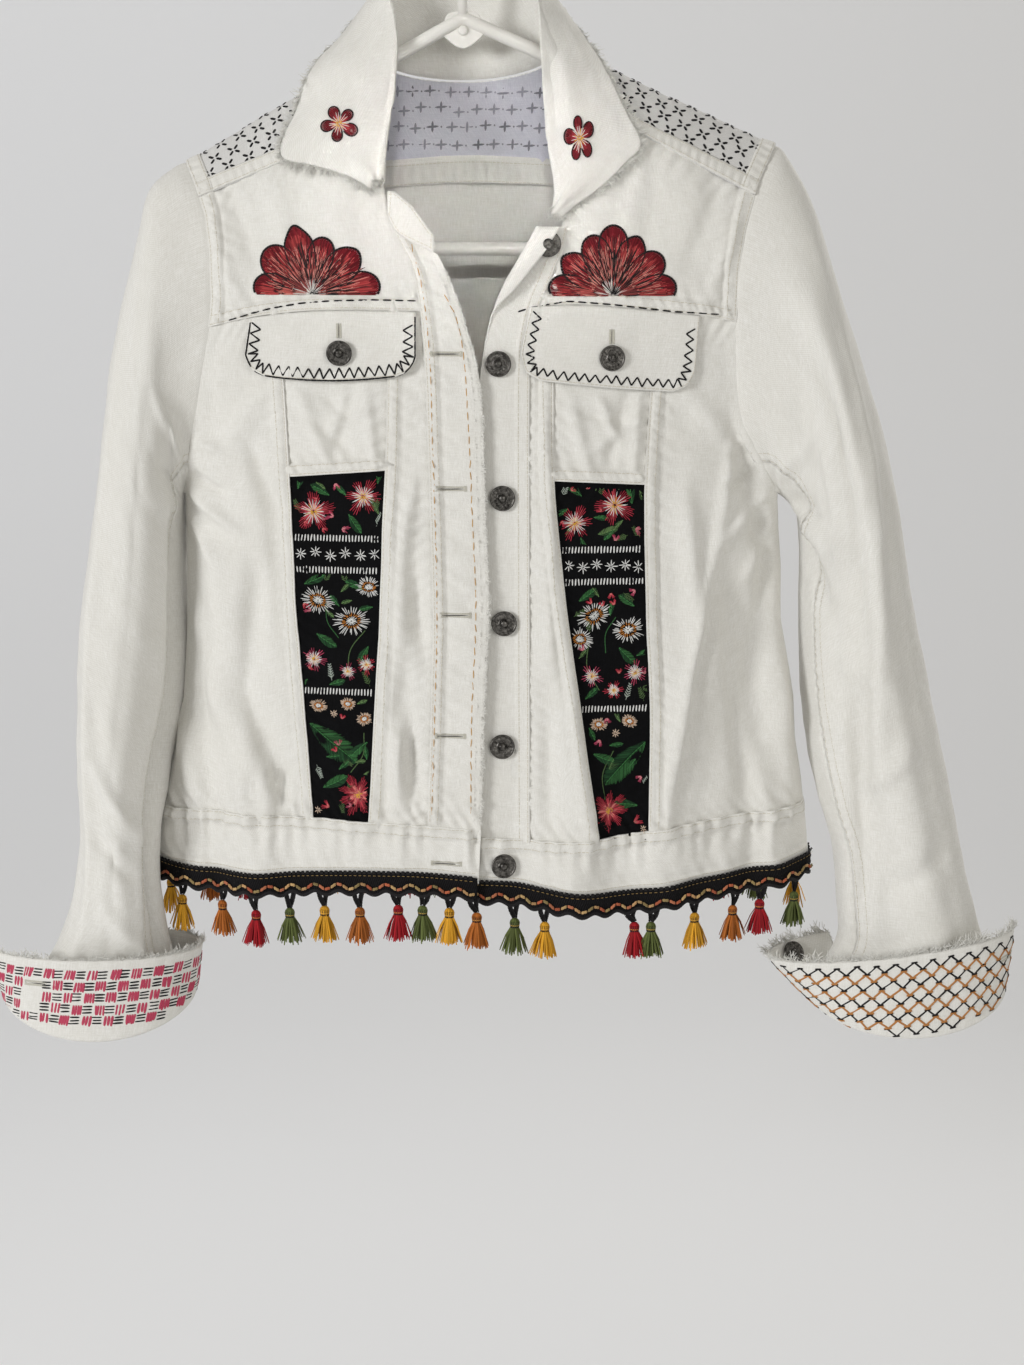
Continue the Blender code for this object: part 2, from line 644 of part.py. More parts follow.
def add_right_placket():
    """The button placket. Its top is turned back over the chest."""
    surface = lapped(RIGHT)
    first_x, last_x = smooth(FRONT_EDGE[RIGHT], -639), smooth(inner_edge(RIGHT), -641)
    grid = []
    for v in shares(17):
        line = []
        for u in shares(9):
            low_z = smooth(BAND_TOP[RIGHT], first_x + (last_x - first_x) * u)
            z = PLACKET_TOP_Z + (low_z - PLACKET_TOP_Z) * v ** PLACKET_ROW_POWER
            width = smooth(inner_edge(RIGHT), z) - smooth(FRONT_EDGE[RIGHT], z) + lookup(TURN_LENGTH, z)
            line.append(turned_point(surface, z, PLACKET_START + (width - PLACKET_START) * (1 - u)))
        grid.append(line)
    mesh = wall_mesh(drawn_in(grid, "tblr"), DENIM)
    bmesh.ops.triangulate(mesh, faces=mesh.faces)
    add_object("placket_right", mesh, IVORY)


def add_tab():
    """The end of the neck band at the left front."""
    grid = []
    for v in shares(3):
        line = []
        for u in shares(7):
            x = TAB_FIRST_X + (TAB_LAST_X - TAB_FIRST_X) * u
            top_z, low_z = lookup(TAB_TOP, x), lookup(TAB_BOTTOM, x)
            line.append(lapped(LEFT)(x, top_z + (low_z - top_z) * v))
        grid.append(line)
    add_wall("neck_tab", grid, DENIM, IVORY)


def add_front_band(side):
    """The waistband of one front, from the side seam to the front edge. Returns its lower line."""
    word = "left" if side == LEFT else "right"
    seams = (partial(side_x, side), reader(FRONT_EDGE[side]))
    seams = seams if side == LEFT else seams[::-1]
    top, bottom = reader(BAND_TOP[side]), reader(BAND_BOTTOM[side])
    grid = panel_grid(lapped(side), *seams, top, bottom, 2, 14, side)
    add_panel(f"waistband_{word}", grid, BAND, IVORY, side)
    return grid[-1]


def add_flap(side):
    """A pocket flap, lying on the chest seam and lifting a little towards its lower edge."""
    word = "left" if side == LEFT else "right"
    top_a, low_a, top_b, low_b = FLAP_SIDES[side]
    surface = lapped(side)
    grid = []
    for v in shares(4):
        line = []
        for u in shares(10):
            x_top = top_a + (top_b - top_a) * u
            x_low = low_a + (low_b - low_a) * u
            z_top = smooth(CHEST_SEAM[side], x_top) - 0.5
            z_low = lookup(FLAP_BOTTOM[side], x_low)
            lift = FLAP_LIFT_TOP + (FLAP_LIFT_BOTTOM - FLAP_LIFT_TOP) * v
            line.append(surface(x_top + (x_low - x_top) * v, z_top + (z_low - z_top) * v, lift))
        grid.append(line)
    add_wall(f"flap_{word}", grid, DENIM, IVORY, sides="")


def flank_point(side, u, share):
    """Point of the yoke over one shoulder. u runs from armhole to neck, share from front seam to back seam."""
    neck_x, neck_z = NECK_POINT[side]
    front_neck_x, front_neck_z = NECK_EDGE[side][-1][1], NECK_EDGE[side][-1][0]
    seam = YOKE_SEAM[side] if share < 0 else BACK_YOKE_SEAM
    inner = neck_x + (front_neck_x - neck_x) * share * share if share < 0 else neck_x
    z = SHOULDER_TIP[side][1]
    for _ in range(8):
        outer = side_x(side, z)
        x = outer + (inner - outer) * u
        drop = (crest_z(x) - smooth(seam, x)) * share * share
        z = crest_z(x) - drop
    return front(x, z) if share < 0 else back(x, z)


def add_yoke():
    """One piece over both shoulders, with the neck left open."""
    front_rows, back_rows, flank_cols, middle_cols = 3, 5, 6, 6
    grid = []
    for r in range(-front_rows, back_rows + 1):
        share = r / front_rows if r < 0 else r / back_rows
        line = [flank_point(LEFT, u, share) for u in shares(flank_cols)]
        for c in range(1, middle_cols):
            x = NECK_POINT[LEFT][0] + (NECK_POINT[RIGHT][0] - NECK_POINT[LEFT][0]) * c / middle_cols
            top, low = back_neck_z(x), smooth(BACK_YOKE_SEAM, x)
            line.append(back(x, top + (low - top) * max(share, 0.0) ** YOKE_ROW_POWER))
        line += [flank_point(RIGHT, u, share) for u in reversed(shares(flank_cols))]
        grid.append(line)
    neck_first, neck_last = flank_cols, flank_cols + middle_cols

    def present(r, c):
        return r >= front_rows or not neck_first <= c < neck_last

    add_wall("yoke", yoke_drawn_in(grid, front_rows, neck_first, neck_last), DENIM, YOKE_GREY, "", present)


def yoke_drawn_in(grid, crest_row, neck_first, neck_last):
    """The yoke's grid with its seams moved in by half a gap, round the neck as well."""
    half = SEAM_GAP / 2
    grid = drawn_in(grid, "tblr")
    for r in range(crest_row):
        for edge, beside in ((neck_first, neck_first - 1), (neck_last, neck_last + 1)):
            grid[r][edge] = grid[r][edge] + (grid[r][beside] - grid[r][edge]).normalized() * half
    return grid


def add_back():
    """Centre and side back panels and the back waistband. Returns the waistband's lower line."""
    left_side, right_side = partial(side_x, LEFT), partial(side_x, RIGHT)
    seam_left, seam_right = reader(BACK_SEAM_LEFT), reader(BACK_SEAM_RIGHT)
    yoke, band = reader(BACK_YOKE_SEAM), reader(BACK_BAND_TOP)
    pieces = (
        ("back_side_left", left_side, seam_left, yoke, band, 16, 7, LEFT),
        ("back_centre", seam_left, seam_right, yoke, band, 15, 8, None),
        ("back_side_right", seam_right, right_side, yoke, band, 16, 7, RIGHT),
    )
    for name, left, right, top, bottom, rows, cols, rounded in pieces:
        grid = panel_grid(back, left, right, top, bottom, rows, cols, rounded)
        add_panel(name, grid, DENIM, IVORY, rounded)
    low = reader(BACK_BAND_BOTTOM)
    grid = []
    for v in shares(2):
        line = []
        for u in shares(24):
            z = -650
            for _ in range(4):
                middle = (side_x(LEFT, z) + side_x(RIGHT, z)) / 2
                half = (side_x(RIGHT, z) - side_x(LEFT, z)) / 2
                x = middle - half * math.cos(math.pi * u)
                z = band(x) + (low(x) - band(x)) * v
            line.append(back(x, z))
        grid.append(line)
    drawn = drawn_in(grid, "tblr")
    add_object("waistband_back", wall_mesh(drawn, BAND, None, normals_of(drawn, "lr")), IVORY)
    return grid[-1]


def collar_section(row):
    """Points of the collar across one row, from the neck seam over the fold to the leaf's edge."""
    neck_x, neck_z, fold_x, fold_y, fold_z, edge_x, edge_y, edge_z = row
    if neck_z is None:
        neck = back(neck_x, back_neck_z(neck_x))
    else:
        neck = front(neck_x, neck_z)
    fold = Vector((fold_x, fold_y, fold_z))
    on_body = edge_y is ON_BODY
    edge = front(edge_x, edge_z, LEAF_LIFT) if on_body else Vector((edge_x, edge_y, edge_z))
    rise = (fold - neck).normalized()
    foot = neck + rise * (DENIM / 2 + DOUBLE / 2 + CLEAR)
    outward = edge - neck
    outward = (outward - rise * outward.dot(rise)).normalized()
    radius = COLLAR_FOLD_RADIUS
    centre = fold - rise * radius + outward * radius
    turn = [centre - outward * radius * math.cos(a) + rise * radius * math.sin(a) for a in
            (0, math.pi / 4, math.pi / 2, math.pi * 3 / 4, math.pi)]
    stand = [foot + (turn[0] - foot) * share for share in (0, 0.5)]
    leaf = []
    for share in (0.25, 0.5, 0.75, 1.0):
        point = turn[-1] + (edge - turn[-1]) * share
        point += (rise + outward) * LEAF_BULGE * math.sin(math.pi * share)
        over_front = crest_z(point.x) - point.z > 0 and point.y < 0
        if over_front:
            point.y = min(point.y, front(point.x, point.z, LEAF_LIFT).y)
        leaf.append(point)
    return stand + turn + leaf


def add_collar():
    """The collar: a stand round the neck that folds over into two leaves."""
    rows = list(COLLAR_ROWS[LEFT]) + [COLLAR_BACK] + list(reversed(COLLAR_ROWS[RIGHT]))
    mesh = wall_mesh([collar_section(row) for row in rows], DOUBLE)
    bmesh.ops.triangulate(mesh, faces=mesh.faces)
    add_object("collar", mesh, IVORY)


def armhole_point(side, index):
    """Point of the armhole's edge, from the shoulder tip down the front and up the back."""
    tip_z = SHOULDER_TIP[side][1]
    angle = 2 * math.pi * index / RING_POINTS
    z = tip_z + (ARMPIT_Z - tip_z) * (1 - math.cos(angle)) / 2
    x = side_x(side, z)
    return front(x, z) if index <= RING_POINTS // 2 else back(x, z)


def sleeve_ring(side, row, share):
    """One ring of a sleeve, with its folds."""
    outer_x, outer_z, inner_x, inner_z, half_depth, centre_y = row
    outer = Vector((outer_x, centre_y, outer_z))
    inner = Vector((inner_x, centre_y, inner_z))
    middle, half = (outer + inner) / 2, (outer - inner) / 2
    ring = []
    for index in range(RING_POINTS):
        angle = 2 * math.pi * index / RING_POINTS
        swell = 1.0
        for fold_angle, width, depth, first, last in SLEEVE_FOLDS[side]:
            off = (math.degrees(angle) - fold_angle) / width
            ends = clamp((share - first) / RING_FOLD_FADE) * clamp((last - share) / RING_FOLD_FADE)
            swell += depth / half_depth * ends * math.exp(-off * off)
        ring.append(middle + half * math.cos(angle) + Vector((0, -half_depth * math.sin(angle) * swell, 0)))
    return ring


def cuff_point(side, degrees, height, inset=0.0):
    """Point of a cuff's middle surface. height runs from 0 at the fold to 1 at the frayed edge."""
    cuff = CUFF[side]
    angle = math.radians(degrees)
    low_x = cuff["low"][0] + (cuff["low_half"][0] - inset) * math.cos(angle)
    low_y = cuff["low"][1] + (cuff["low_half"][1] - inset) * math.sin(angle)
    top_x = cuff["top"][0] + (cuff["top_half"][0] - inset) * math.cos(angle)
    top_y = cuff["top"][1] + (cuff["top_half"][1] - inset) * math.sin(angle)
    toward_front = max(-math.sin(angle), 0.0)
    low_z = cuff["low_z"] - cuff["drop"] * toward_front ** CUFF_DROP_POWER
    top_z = cuff["top_z"] + cuff["tilt"] * (top_x - cuff["top"][0])
    out = height ** CUFF_FLARE_POWER
    x, y = low_x + (top_x - low_x) * out, low_y + (top_y - low_y) * out
    return Vector((x, y, low_z + (top_z - low_z) * height))


def sleeve_rings(side):
    """All rings of a sleeve from the armhole to the cuff's fold."""
    table = SLEEVE_RINGS[side]
    armhole = [armhole_point(side, index) for index in range(RING_POINTS)]
    first = sleeve_ring(side, table[0], 0.0)
    start = []
    for index, point in enumerate(armhole):
        toward_pit = (1 - math.cos(2 * math.pi * index / RING_POINTS)) / 2
        step = (DENIM + CLEAR) * (0.5 + PIT_STEP * toward_pit ** PIT_POWER)
        start.append(point + Vector((side * step, 0, 0)))
    rings = [start]
    for number, row in enumerate(table):
        keep = SLEEVE_KEEP[number] if number < len(SLEEVE_KEEP) else 0.0
        ring = sleeve_ring(side, row, (number + 1) / (len(table) + 1))
        rings.append([p + (a - f) * keep for p, a, f in zip(ring, start, first)])
    inset = DENIM / 2 + DOUBLE / 2 + CLEAR
    end = []
    for index in range(RING_POINTS):
        turn = 360 * index / RING_POINTS
        degrees = 180 + turn if side == LEFT else -turn
        end.append(cuff_point(side, degrees, 0.0, inset) + Vector((0, 0, SLEEVE_END_RISE)))
    rings.append(end)
    return rings


def add_sleeve(side):
    """The pieces of a sleeve, cut from its rings."""
    rings = sleeve_rings(side)
    normals = normals_of(rings, ring=True)
    for name, first, last, first_ring, last_ring, gaps in SLEEVE_PIECES[side]:
        columns = [i % RING_POINTS for i in range(first, last + 1)]
        points = [[rings[r][c] for c in columns] for r in range(first_ring, last_ring + 1)]
        facing = [[normals[r][c] for c in columns] for r in range(first_ring, last_ring + 1)]
        add_wall(f"sleeve_{name}", points, DENIM, IVORY, sides=gaps, normals=facing)


def add_cuff(side):
    """A turned-up cuff, open at the back."""
    word = "left" if side == LEFT else "right"
    cuff = CUFF[side]
    steps = 22
    grid = []
    for v in shares(3):
        line = [cuff["first"] + (cuff["last"] - cuff["first"]) * u for u in shares(steps)]
        grid.append([cuff_point(side, degrees, 1 - v) for degrees in line])
    add_wall(f"cuff_{word}", grid, DOUBLE, IVORY, sides="")


def path_lengths(points):
    """Distance along a line of points, from its start to each point."""
    lengths = [0.0]
    for before, after in zip(points, points[1:]):
        lengths.append(lengths[-1] + (after - before).length)
    return lengths


def hem_strip(line, tassels):
    """Strip grid outside the band's lower line, with a narrow column at each tassel, and those columns."""
    lengths = path_lengths(line)
    if isinstance(tassels, int):
        places = [lengths[-1] * (i + 0.5) / tassels for i in range(tassels)]
    else:
        by_x = [(p.x, s) for p, s in zip(line, lengths)]
        places = [lookup(by_x, x) for x in tassels]
    room = CORD_HALF + TASSEL_ROOM
    stops = set([TRIM_END, lengths[-1] - TRIM_END] + lengths[1:-1])
    for place in places:
        before = max(stop for stop in lengths if stop <= place)
        after = min(stop for stop in lengths if stop > place)
        place = clamp(place, before + room, after - room)
        stops |= {place - CORD_HALF, place + CORD_HALF}
    stops = sorted(stops)
    narrow = [i for i in range(len(stops) - 1) if abs(stops[i + 1] - stops[i] - 2 * CORD_HALF) < 1e-6]
    along = [(line[i + 1] - line[i]).normalized() for i in range(len(line) - 1)]
    rows = [[], []]
    for stop in stops:
        segment = max(i for i in range(len(lengths) - 1) if lengths[i] <= stop)
        here = line[segment] + along[segment] * (stop - lengths[segment])
        way = along[segment]
        if abs(lengths[segment] - stop) < 1e-6 and segment:
            way = along[segment] + along[segment - 1]
        outward = Vector((way.y, -way.x, 0)).normalized()
        if line[len(line) // 2].y > 0:
            outward.negate()
        here = here + outward * (BAND / 2 + CLEAR + TRIM_WALL / 2)
        rows[0].append(here + Vector((0, 0, TRIM_LAP)))
        rows[1].append(here - Vector((0, 0, TRIM_DROP)))
    return rows, narrow


def drawn_down(mesh, face, drop, half):
    """Extrudes a face straight down and sets its half width."""
    face = bmesh.ops.extrude_discrete_faces(mesh, faces=[face])["faces"][0]
    centre = face.calc_center_median()
    for vertex in face.verts:
        offset = vertex.co - centre
        offset.z = 0
        vertex.co = centre + offset.normalized() * half * TASSEL_SQUARE * MM - Vector((0, 0, drop * MM))
    return face


def add_tassel(mesh, face):
    """Cord, head and four locks, drawn down from a narrow face under the trim."""
    for drop, half in TASSEL_RINGS:
        face = drawn_down(mesh, face, drop, half)
    centre = face.calc_center_median()
    locks = bmesh.ops.poke(mesh, faces=[face])["faces"]
    bmesh.ops.inset_individual(mesh, faces=locks, thickness=LOCK_INSET * MM)
    for lock in bmesh.ops.extrude_discrete_faces(mesh, faces=locks)["faces"]:
        spread = lock.calc_center_median() - centre
        spread.z = 0
        spread = spread.normalized() * LOCK_SPREAD * MM
        for vertex in lock.verts:
            vertex.co += spread - Vector((0, 0, LOCK_LENGTH * MM))


def add_trim(name, line, tassels):
    """A strip of gimp under the band, with its tassels."""
    rows, narrow = hem_strip(line, tassels)
    mesh = wall_mesh(rows, TRIM_WALL)
    mesh.normal_update()
    seats = []
    for column in narrow:
        middle = (rows[1][column] + rows[1][column + 1]) / 2 * MM
        under = [face for face in mesh.faces if abs(face.normal.z) > 0.9]
        seats.append(min(under, key=lambda face: (face.calc_center_median() - middle).length))
    for face in seats:
        add_tassel(mesh, face)
    add_object(name, mesh, BLACK)


def turned_mesh(outline, sides):
    """A closed turned body from (radius, height) points, flat at its foot, in metres."""
    mesh = bmesh.new()
    rings = []
    for radius, height in outline:
        ring = []
        for index in range(sides):
            angle = 2 * math.pi * index / sides
            point = Vector((radius * math.cos(angle), radius * math.sin(angle), height))
            ring.append(mesh.verts.new(point * MM))
        rings.append(ring)
    for low, high in zip(rings, rings[1:]):
        for index in range(sides):
            after = (index + 1) % sides
            mesh.faces.new((low[index], low[after], high[after], high[index]))
    mesh.faces.new(list(reversed(rings[0])))
    mesh.faces.new(rings[-1])
    return mesh


def add_button(name, foot, direction, outline=BUTTON_OUTLINE):
    """A metal button that stands on its foot point and faces the given way."""
    made = add_object(name, turned_mesh(outline, BUTTON_SIDES), PEWTER, 0.35, 0.9)
    made.rotation_euler = direction.to_track_quat("Z", "Y").to_euler()
    made.location = foot * MM
    return made


def seated(surface, x, z, lift, wall):
    """Foot point and facing of a button on an outer face."""
    step = 3.0
    across = surface(x + step, z, lift) - surface(x - step, z, lift)
    down = surface(x, z - step, lift) - surface(x, z + step, lift)
    facing = down.cross(across).normalized()
    if facing.y > 0:
        facing.negate()
    return surface(x, z, lift) + facing * (wall / 2 + CLEAR), facing


def add_buttons():
    """Placket, flap, neck and cuff buttons."""
    for number, (x, z) in enumerate(PLACKET_BUTTONS, 1):
        wall = BAND if z < -640 else DENIM
        add_button(f"button_{number}", *seated(lapped(RIGHT), x, z, 0.0, wall))
    for side, word in ((LEFT, "left"), (RIGHT, "right")):
        x, z = FLAP_BUTTONS[side]
        add_button(f"button_flap_{word}", *seated(lapped(side), x, z, FLAP_BUTTON_LIFT, DENIM))
    x, z = NECK_BUTTON
    seam = smooth(inner_edge(RIGHT), z)
    fold, radius = smooth(FRONT_EDGE[RIGHT], z), lookup(TURN_RADIUS, z)
    along = seam - fold - radius + math.pi * radius + x - fold - radius
    cloth = turned_point(lapped(RIGHT), z, along)
    add_button("button_neck", cloth + Vector((0, DENIM / 2 + CLEAR, 0)), Vector((0, 1, 0)))
    add_button("button_neck_rivet", cloth - Vector((0, DENIM / 2 + CLEAR, 0)), Vector((0, -1, 0)), RIVET_OUTLINE)
    for side, word in ((LEFT, "left"), (RIGHT, "right")):
        degrees, height = CUFF_BUTTON_ANGLE[side], CUFF_BUTTON_HEIGHT
        place = cuff_point(side, degrees, height)
        ahead = cuff_point(side, degrees + 4, height) - cuff_point(side, degrees - 4, height)
        upward = cuff_point(side, degrees, height + 0.1) - cuff_point(side, degrees, height - 0.1)
        facing = ahead.cross(upward).normalized()
        middle = Vector((CUFF[side]["low"][0], CUFF[side]["low"][1], place.z))
        if facing.dot(middle - place) < 0:
            facing.negate()
        add_button(f"button_cuff_{word}", place + facing * (DOUBLE / 2 + 2 * CLEAR), facing)


def filleted(corners):
    """A closed line in the hanger's plane with rounded corners: corners are (x, z, radius)."""
    points = []
    count = len(corners)
    for index, (x, z, radius) in enumerate(corners):
        here = Vector((x, 0, z))
        before = Vector((corners[index - 1][0], 0, corners[index - 1][1]))
        after = Vector((corners[(index + 1) % count][0], 0, corners[(index + 1) % count][1]))
        to_before, to_after = (before - here).normalized(), (after - here).normalized()
        half_angle = to_before.angle(to_after) / 2
        reach = radius / math.tan(half_angle)
        centre = here + (to_before + to_after).normalized() * radius / math.sin(half_angle)
        start, end = here + to_before * reach - centre, here + to_after * reach - centre
        steps = 6
        for step in range(steps + 1):
            points.append(centre + (start + (end - start) * step / steps).normalized() * radius)
    return points


def tube_mesh(points, radius, sides, closed):
    """A tube in the hanger's plane along a line of points, in metres."""
    mesh = bmesh.new()
    rings = []
    count = len(points)
    for index, point in enumerate(points):
        before = points[index - 1] if closed or index else points[0]
        after = points[(index + 1) % count] if closed or index < count - 1 else points[-1]
        along = (after - before).normalized()
        across = Vector((0, 1, 0)).cross(along)
        ring = []
        for side in range(sides):
            angle = 2 * math.pi * side / sides
            offset = Vector((0, 1, 0)) * math.cos(angle) + across * math.sin(angle)
            ring.append(mesh.verts.new((point + offset * radius) * MM))
        rings.append(ring)
    pairs = list(zip(rings, rings[1:])) + ([(rings[-1], rings[0])] if closed else [])
    for low, high in pairs:
        for side in range(sides):
            after = (side + 1) % sides
            mesh.faces.new((low[side], low[after], high[after], high[side]))
    if not closed:
        mesh.faces.new(rings[0])
        mesh.faces.new(rings[-1])
    return mesh


def plate_mesh(outline, half):
    """A flat plate in the hanger's plane, in metres."""
    mesh = bmesh.new()
    front_ring = [mesh.verts.new(Vector((x, -half, z)) * MM) for x, z in outline]
    back_ring = [mesh.verts.new(Vector((x, half, z)) * MM) for x, z in outline]
    mesh.faces.new(front_ring)
    mesh.faces.new(list(reversed(back_ring)))
    for index in range(len(outline)):
        after = (index + 1) % len(outline)
        mesh.faces.new((front_ring[after], front_ring[index], back_ring[index], back_ring[after]))
    return mesh


def add_hanger():
    """Frame, hook and plate as one body. The hook's inner top is the origin."""
    frame = add_object("hanger", tube_mesh(filleted(HANGER_CORNERS), TUBE_RADIUS, 10, True), PLASTIC, 0.4)
    radius = HOOK_INNER_RADIUS + HOOK_TUBE_RADIUS
    centre = Vector((0, 0, -HOOK_INNER_RADIUS))
    line = [Vector((0, 0, -87)), Vector((0, 0, -60))]
    first, last, steps = -90, 200, 16
    for step in range(steps + 1):
        angle = math.radians(first + (last - first) * step / steps)
        line.append(centre + Vector((math.cos(angle), 0, math.sin(angle))) * radius)
    helpers = (
        ("hanger_hook", tube_mesh(line, HOOK_TUBE_RADIUS, 10, False)),
        ("hanger_plate", plate_mesh(PLATE_OUTLINE, PLATE_HALF)),
    )
    for name, mesh in helpers:
        helper = add_object(name, mesh, PLASTIC, 0.4)
        helper.hide_render = True
        helper.display_type = "WIRE"
        union = frame.modifiers.new(name, "BOOLEAN")
        union.operation = "UNION"
        union.solver = "EXACT"
        union.object = helper


def main():
    """Builds the whole object in an empty scene."""
    for old in list(bpy.data.objects):
        bpy.data.objects.remove(old)
    add_yoke()
    for side in (LEFT, RIGHT):
        add_front_panels(side)
        word = "left" if side == LEFT else "right"
        add_trim(f"trim_{word}", add_front_band(side), TASSEL_X[side])
        add_flap(side)
        add_sleeve(side)
        add_cuff(side)
    add_left_placket()
    add_right_placket()
    add_tab()
    add_trim("trim_back", add_back(), BACK_TASSELS)
    add_collar()
    add_buttons()
    add_hanger()


main()
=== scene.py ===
"""Looks of a denim jacket on a hanger: cloth shells with folds, seams, stitches, embroidery, fray and trim.

Lengths are in millimetres and become metres as each mesh is made. The front faces -Y and +Z is up.
LEFT and RIGHT are the viewer's.
"""

import math

import bpy
import numpy as np
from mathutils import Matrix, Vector, noise
from mathutils.bvhtree import BVHTree


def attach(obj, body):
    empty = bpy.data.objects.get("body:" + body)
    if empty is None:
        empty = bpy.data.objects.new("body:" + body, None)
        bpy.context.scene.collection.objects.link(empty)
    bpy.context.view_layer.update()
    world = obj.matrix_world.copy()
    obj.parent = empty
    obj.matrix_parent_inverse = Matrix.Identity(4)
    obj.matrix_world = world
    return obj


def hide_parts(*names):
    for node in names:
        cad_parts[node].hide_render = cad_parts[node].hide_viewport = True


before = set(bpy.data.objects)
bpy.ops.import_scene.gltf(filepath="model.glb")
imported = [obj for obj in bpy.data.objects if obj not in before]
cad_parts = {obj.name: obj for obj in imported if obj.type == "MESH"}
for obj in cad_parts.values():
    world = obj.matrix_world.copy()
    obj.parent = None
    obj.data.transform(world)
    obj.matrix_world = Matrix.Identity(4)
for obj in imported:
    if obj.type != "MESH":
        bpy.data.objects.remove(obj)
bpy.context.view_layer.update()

LEFT = -1
RIGHT = 1
MM = 0.001
rng = np.random.default_rng(11)

# Sizes and tables of the body, as in the solids

DENIM = 1.6
DOUBLE = 2.2
BAND = 3.0
CLEAR = 0.3
SOFTENING = 20.0
SHOULDER_TIP = {LEFT: (-189, -180), RIGHT: (212, -169)}
NECK_POINT = {LEFT: (-62, -107), RIGHT: (66, -104)}
ARMPIT_Z = -404
CENTRE_X = 14
CREST_RADIUS = 5.6
CREST_ROUND = 3.4
CREST_SLOPE = 0.9
FRONT_DEPTH = 43.0
FRONT_GROWTH = 0.042
BACK_DEPTH = 50.0
BACK_GROWTH = 0.036
ARMHOLE_FULLNESS = 0.85
OVERLAP_SHIFT = 2.6
OVERLAP_SPAN = {LEFT: (-30, 4), RIGHT: (52, 18)}
BACK_NECK_DROP = 20

SIDE_OUTLINE = {
    LEFT: (
        (-692, -226), (-628, -223), (-607, -215), (-580, -209), (-552, -203), (-511, -199.5), (-477, -198),
        (-404, -196), (-374, -190), (-345, -184), (-318, -178), (-291, -173), (-271, -170.5), (-238, -171),
        (-215, -174), (-198, -180), (-180, -189),
    ),
    RIGHT: (
        (-692, 250), (-668, 248.7), (-628, 244.5), (-604, 240.9), (-580, 236.6), (-552, 235), (-524, 229),
        (-495, 223.4), (-458, 223), (-404, 219), (-375, 203), (-359, 194), (-338, 188), (-311, 185),
        (-284, 185), (-251, 186), (-225, 190), (-197, 198), (-169, 212),
    ),
}
INSERT_OUTER = {
    LEFT: ((-640, -106), (-475, -116), (-390, -119), (-324, -122), (-270, -121)),
    RIGHT: ((-650, 129), (-553, 129), (-479, 125), (-395, 123), (-327, 127), (-270, 129)),
}
INSERT_INNER = {
    LEFT: ((-640, -68), (-501, -59), (-384, -53), (-322, -51), (-270, -50)),
    RIGHT: ((-650, 94), (-552, 81), (-477, 70), (-391, 61), (-324, 61), (-268, 60)),
}
PLACKET_SEAM = {
    LEFT: (
        (-640, -26), (-550, -23), (-481, -21), (-397, -23), (-362, -24), (-317, -25), (-279, -28),
        (-259, -31), (-231, -38),
    ),
    RIGHT: ((-650, 46), (-337, 45), (-290, 46), (-271, 52), (-244, 65), (-222, 73)),
}
FRONT_EDGE = {
    LEFT: (
        (-690, 9), (-620, 12), (-550, 14), (-480, 18), (-407, 15), (-362, 14), (-332, 13), (-307, 9),
        (-291, 4), (-272, -4), (-256, -6), (-240, -17),
    ),
    RIGHT: (
        (-690, 2), (-621, 4), (-551, 5), (-404, 6), (-364, 6), (-324, 10), (-292, 15.5), (-278, 19.5),
        (-264, 25), (-249, 34.5), (-233, 46), (-222, 51),
    ),
}
NECK_EDGE = {
    LEFT: ((-224, -46), (-219, -55), (-199, -56), (-179, -58), (-157, -60)),
    RIGHT: ((-205, 71.5), (-192, 72), (-166, 73), (-140, 75)),
}
INNER_EDGE = {side: PLACKET_SEAM[side] + NECK_EDGE[side] for side in (LEFT, RIGHT)}
YOKE_SEAM = {LEFT: ((-190, -208), (-60, -157)), RIGHT: ((75, -140), (202, -205))}
CHEST_SEAM = {
    LEFT: ((-176, -290), (-150, -283), (-121, -279), (-90, -277), (-28, -278), (12, -279)),
    RIGHT: ((44, -275), (70, -273), (102, -275), (142, -279), (178, -283), (190, -287)),
}
INSERT_TOP = {LEFT: ((-125, -390), (-48, -384)), RIGHT: ((55, -391), (130, -395))}
BAND_TOP = {
    LEFT: ((-225, -631), (-167, -627), (-116, -627), (-73, -629), (-23, -631), (14, -633)),
    RIGHT: ((0, -639), (45, -641.5), (86, -641.5), (130, -636), (182, -630), (246, -628)),
}
BAND_BOTTOM = {
    LEFT: ((-228, -673), (-181, -676), (-145, -674), (-95, -670), (-58, -669), (-24, -669), (14, -672)),
    RIGHT: ((0, -675), (44, -677), (77, -685), (113, -684), (165, -678), (219, -674), (252, -670)),
}
BACK_SEAM_LEFT = ((-640, -58), (-400, -78), (-190, -104))
BACK_SEAM_RIGHT = ((-640, 86), (-400, 104), (-190, 128))
BACK_YOKE_SEAM = ((-190, -209), (-120, -187), (0, -178), (130, -184), (205, -203))
BACK_BAND_TOP = ((-226, -631), (-100, -634), (14, -636), (130, -633), (250, -628))
BACK_BAND_BOTTOM = ((-230, -673), (-100, -677), (14, -679), (130, -676), (254, -670))
PLACKET_TOP_LEFT = ((-45, -227), (-38, -231), (-17, -241), (-5, -246))
TURN_LENGTH = ((-292, 0.0), (-280, 1.5), (-272, 6.0), (-264, 12.0), (-252, 16.0), (-240, 18.5), (-215, 20.0))
TURN_RADIUS = ((-292, 1.4), (-272, 2.4), (-252, 4.0), (-215, 4.3))
PLACKET_TOP_Z = -223.0

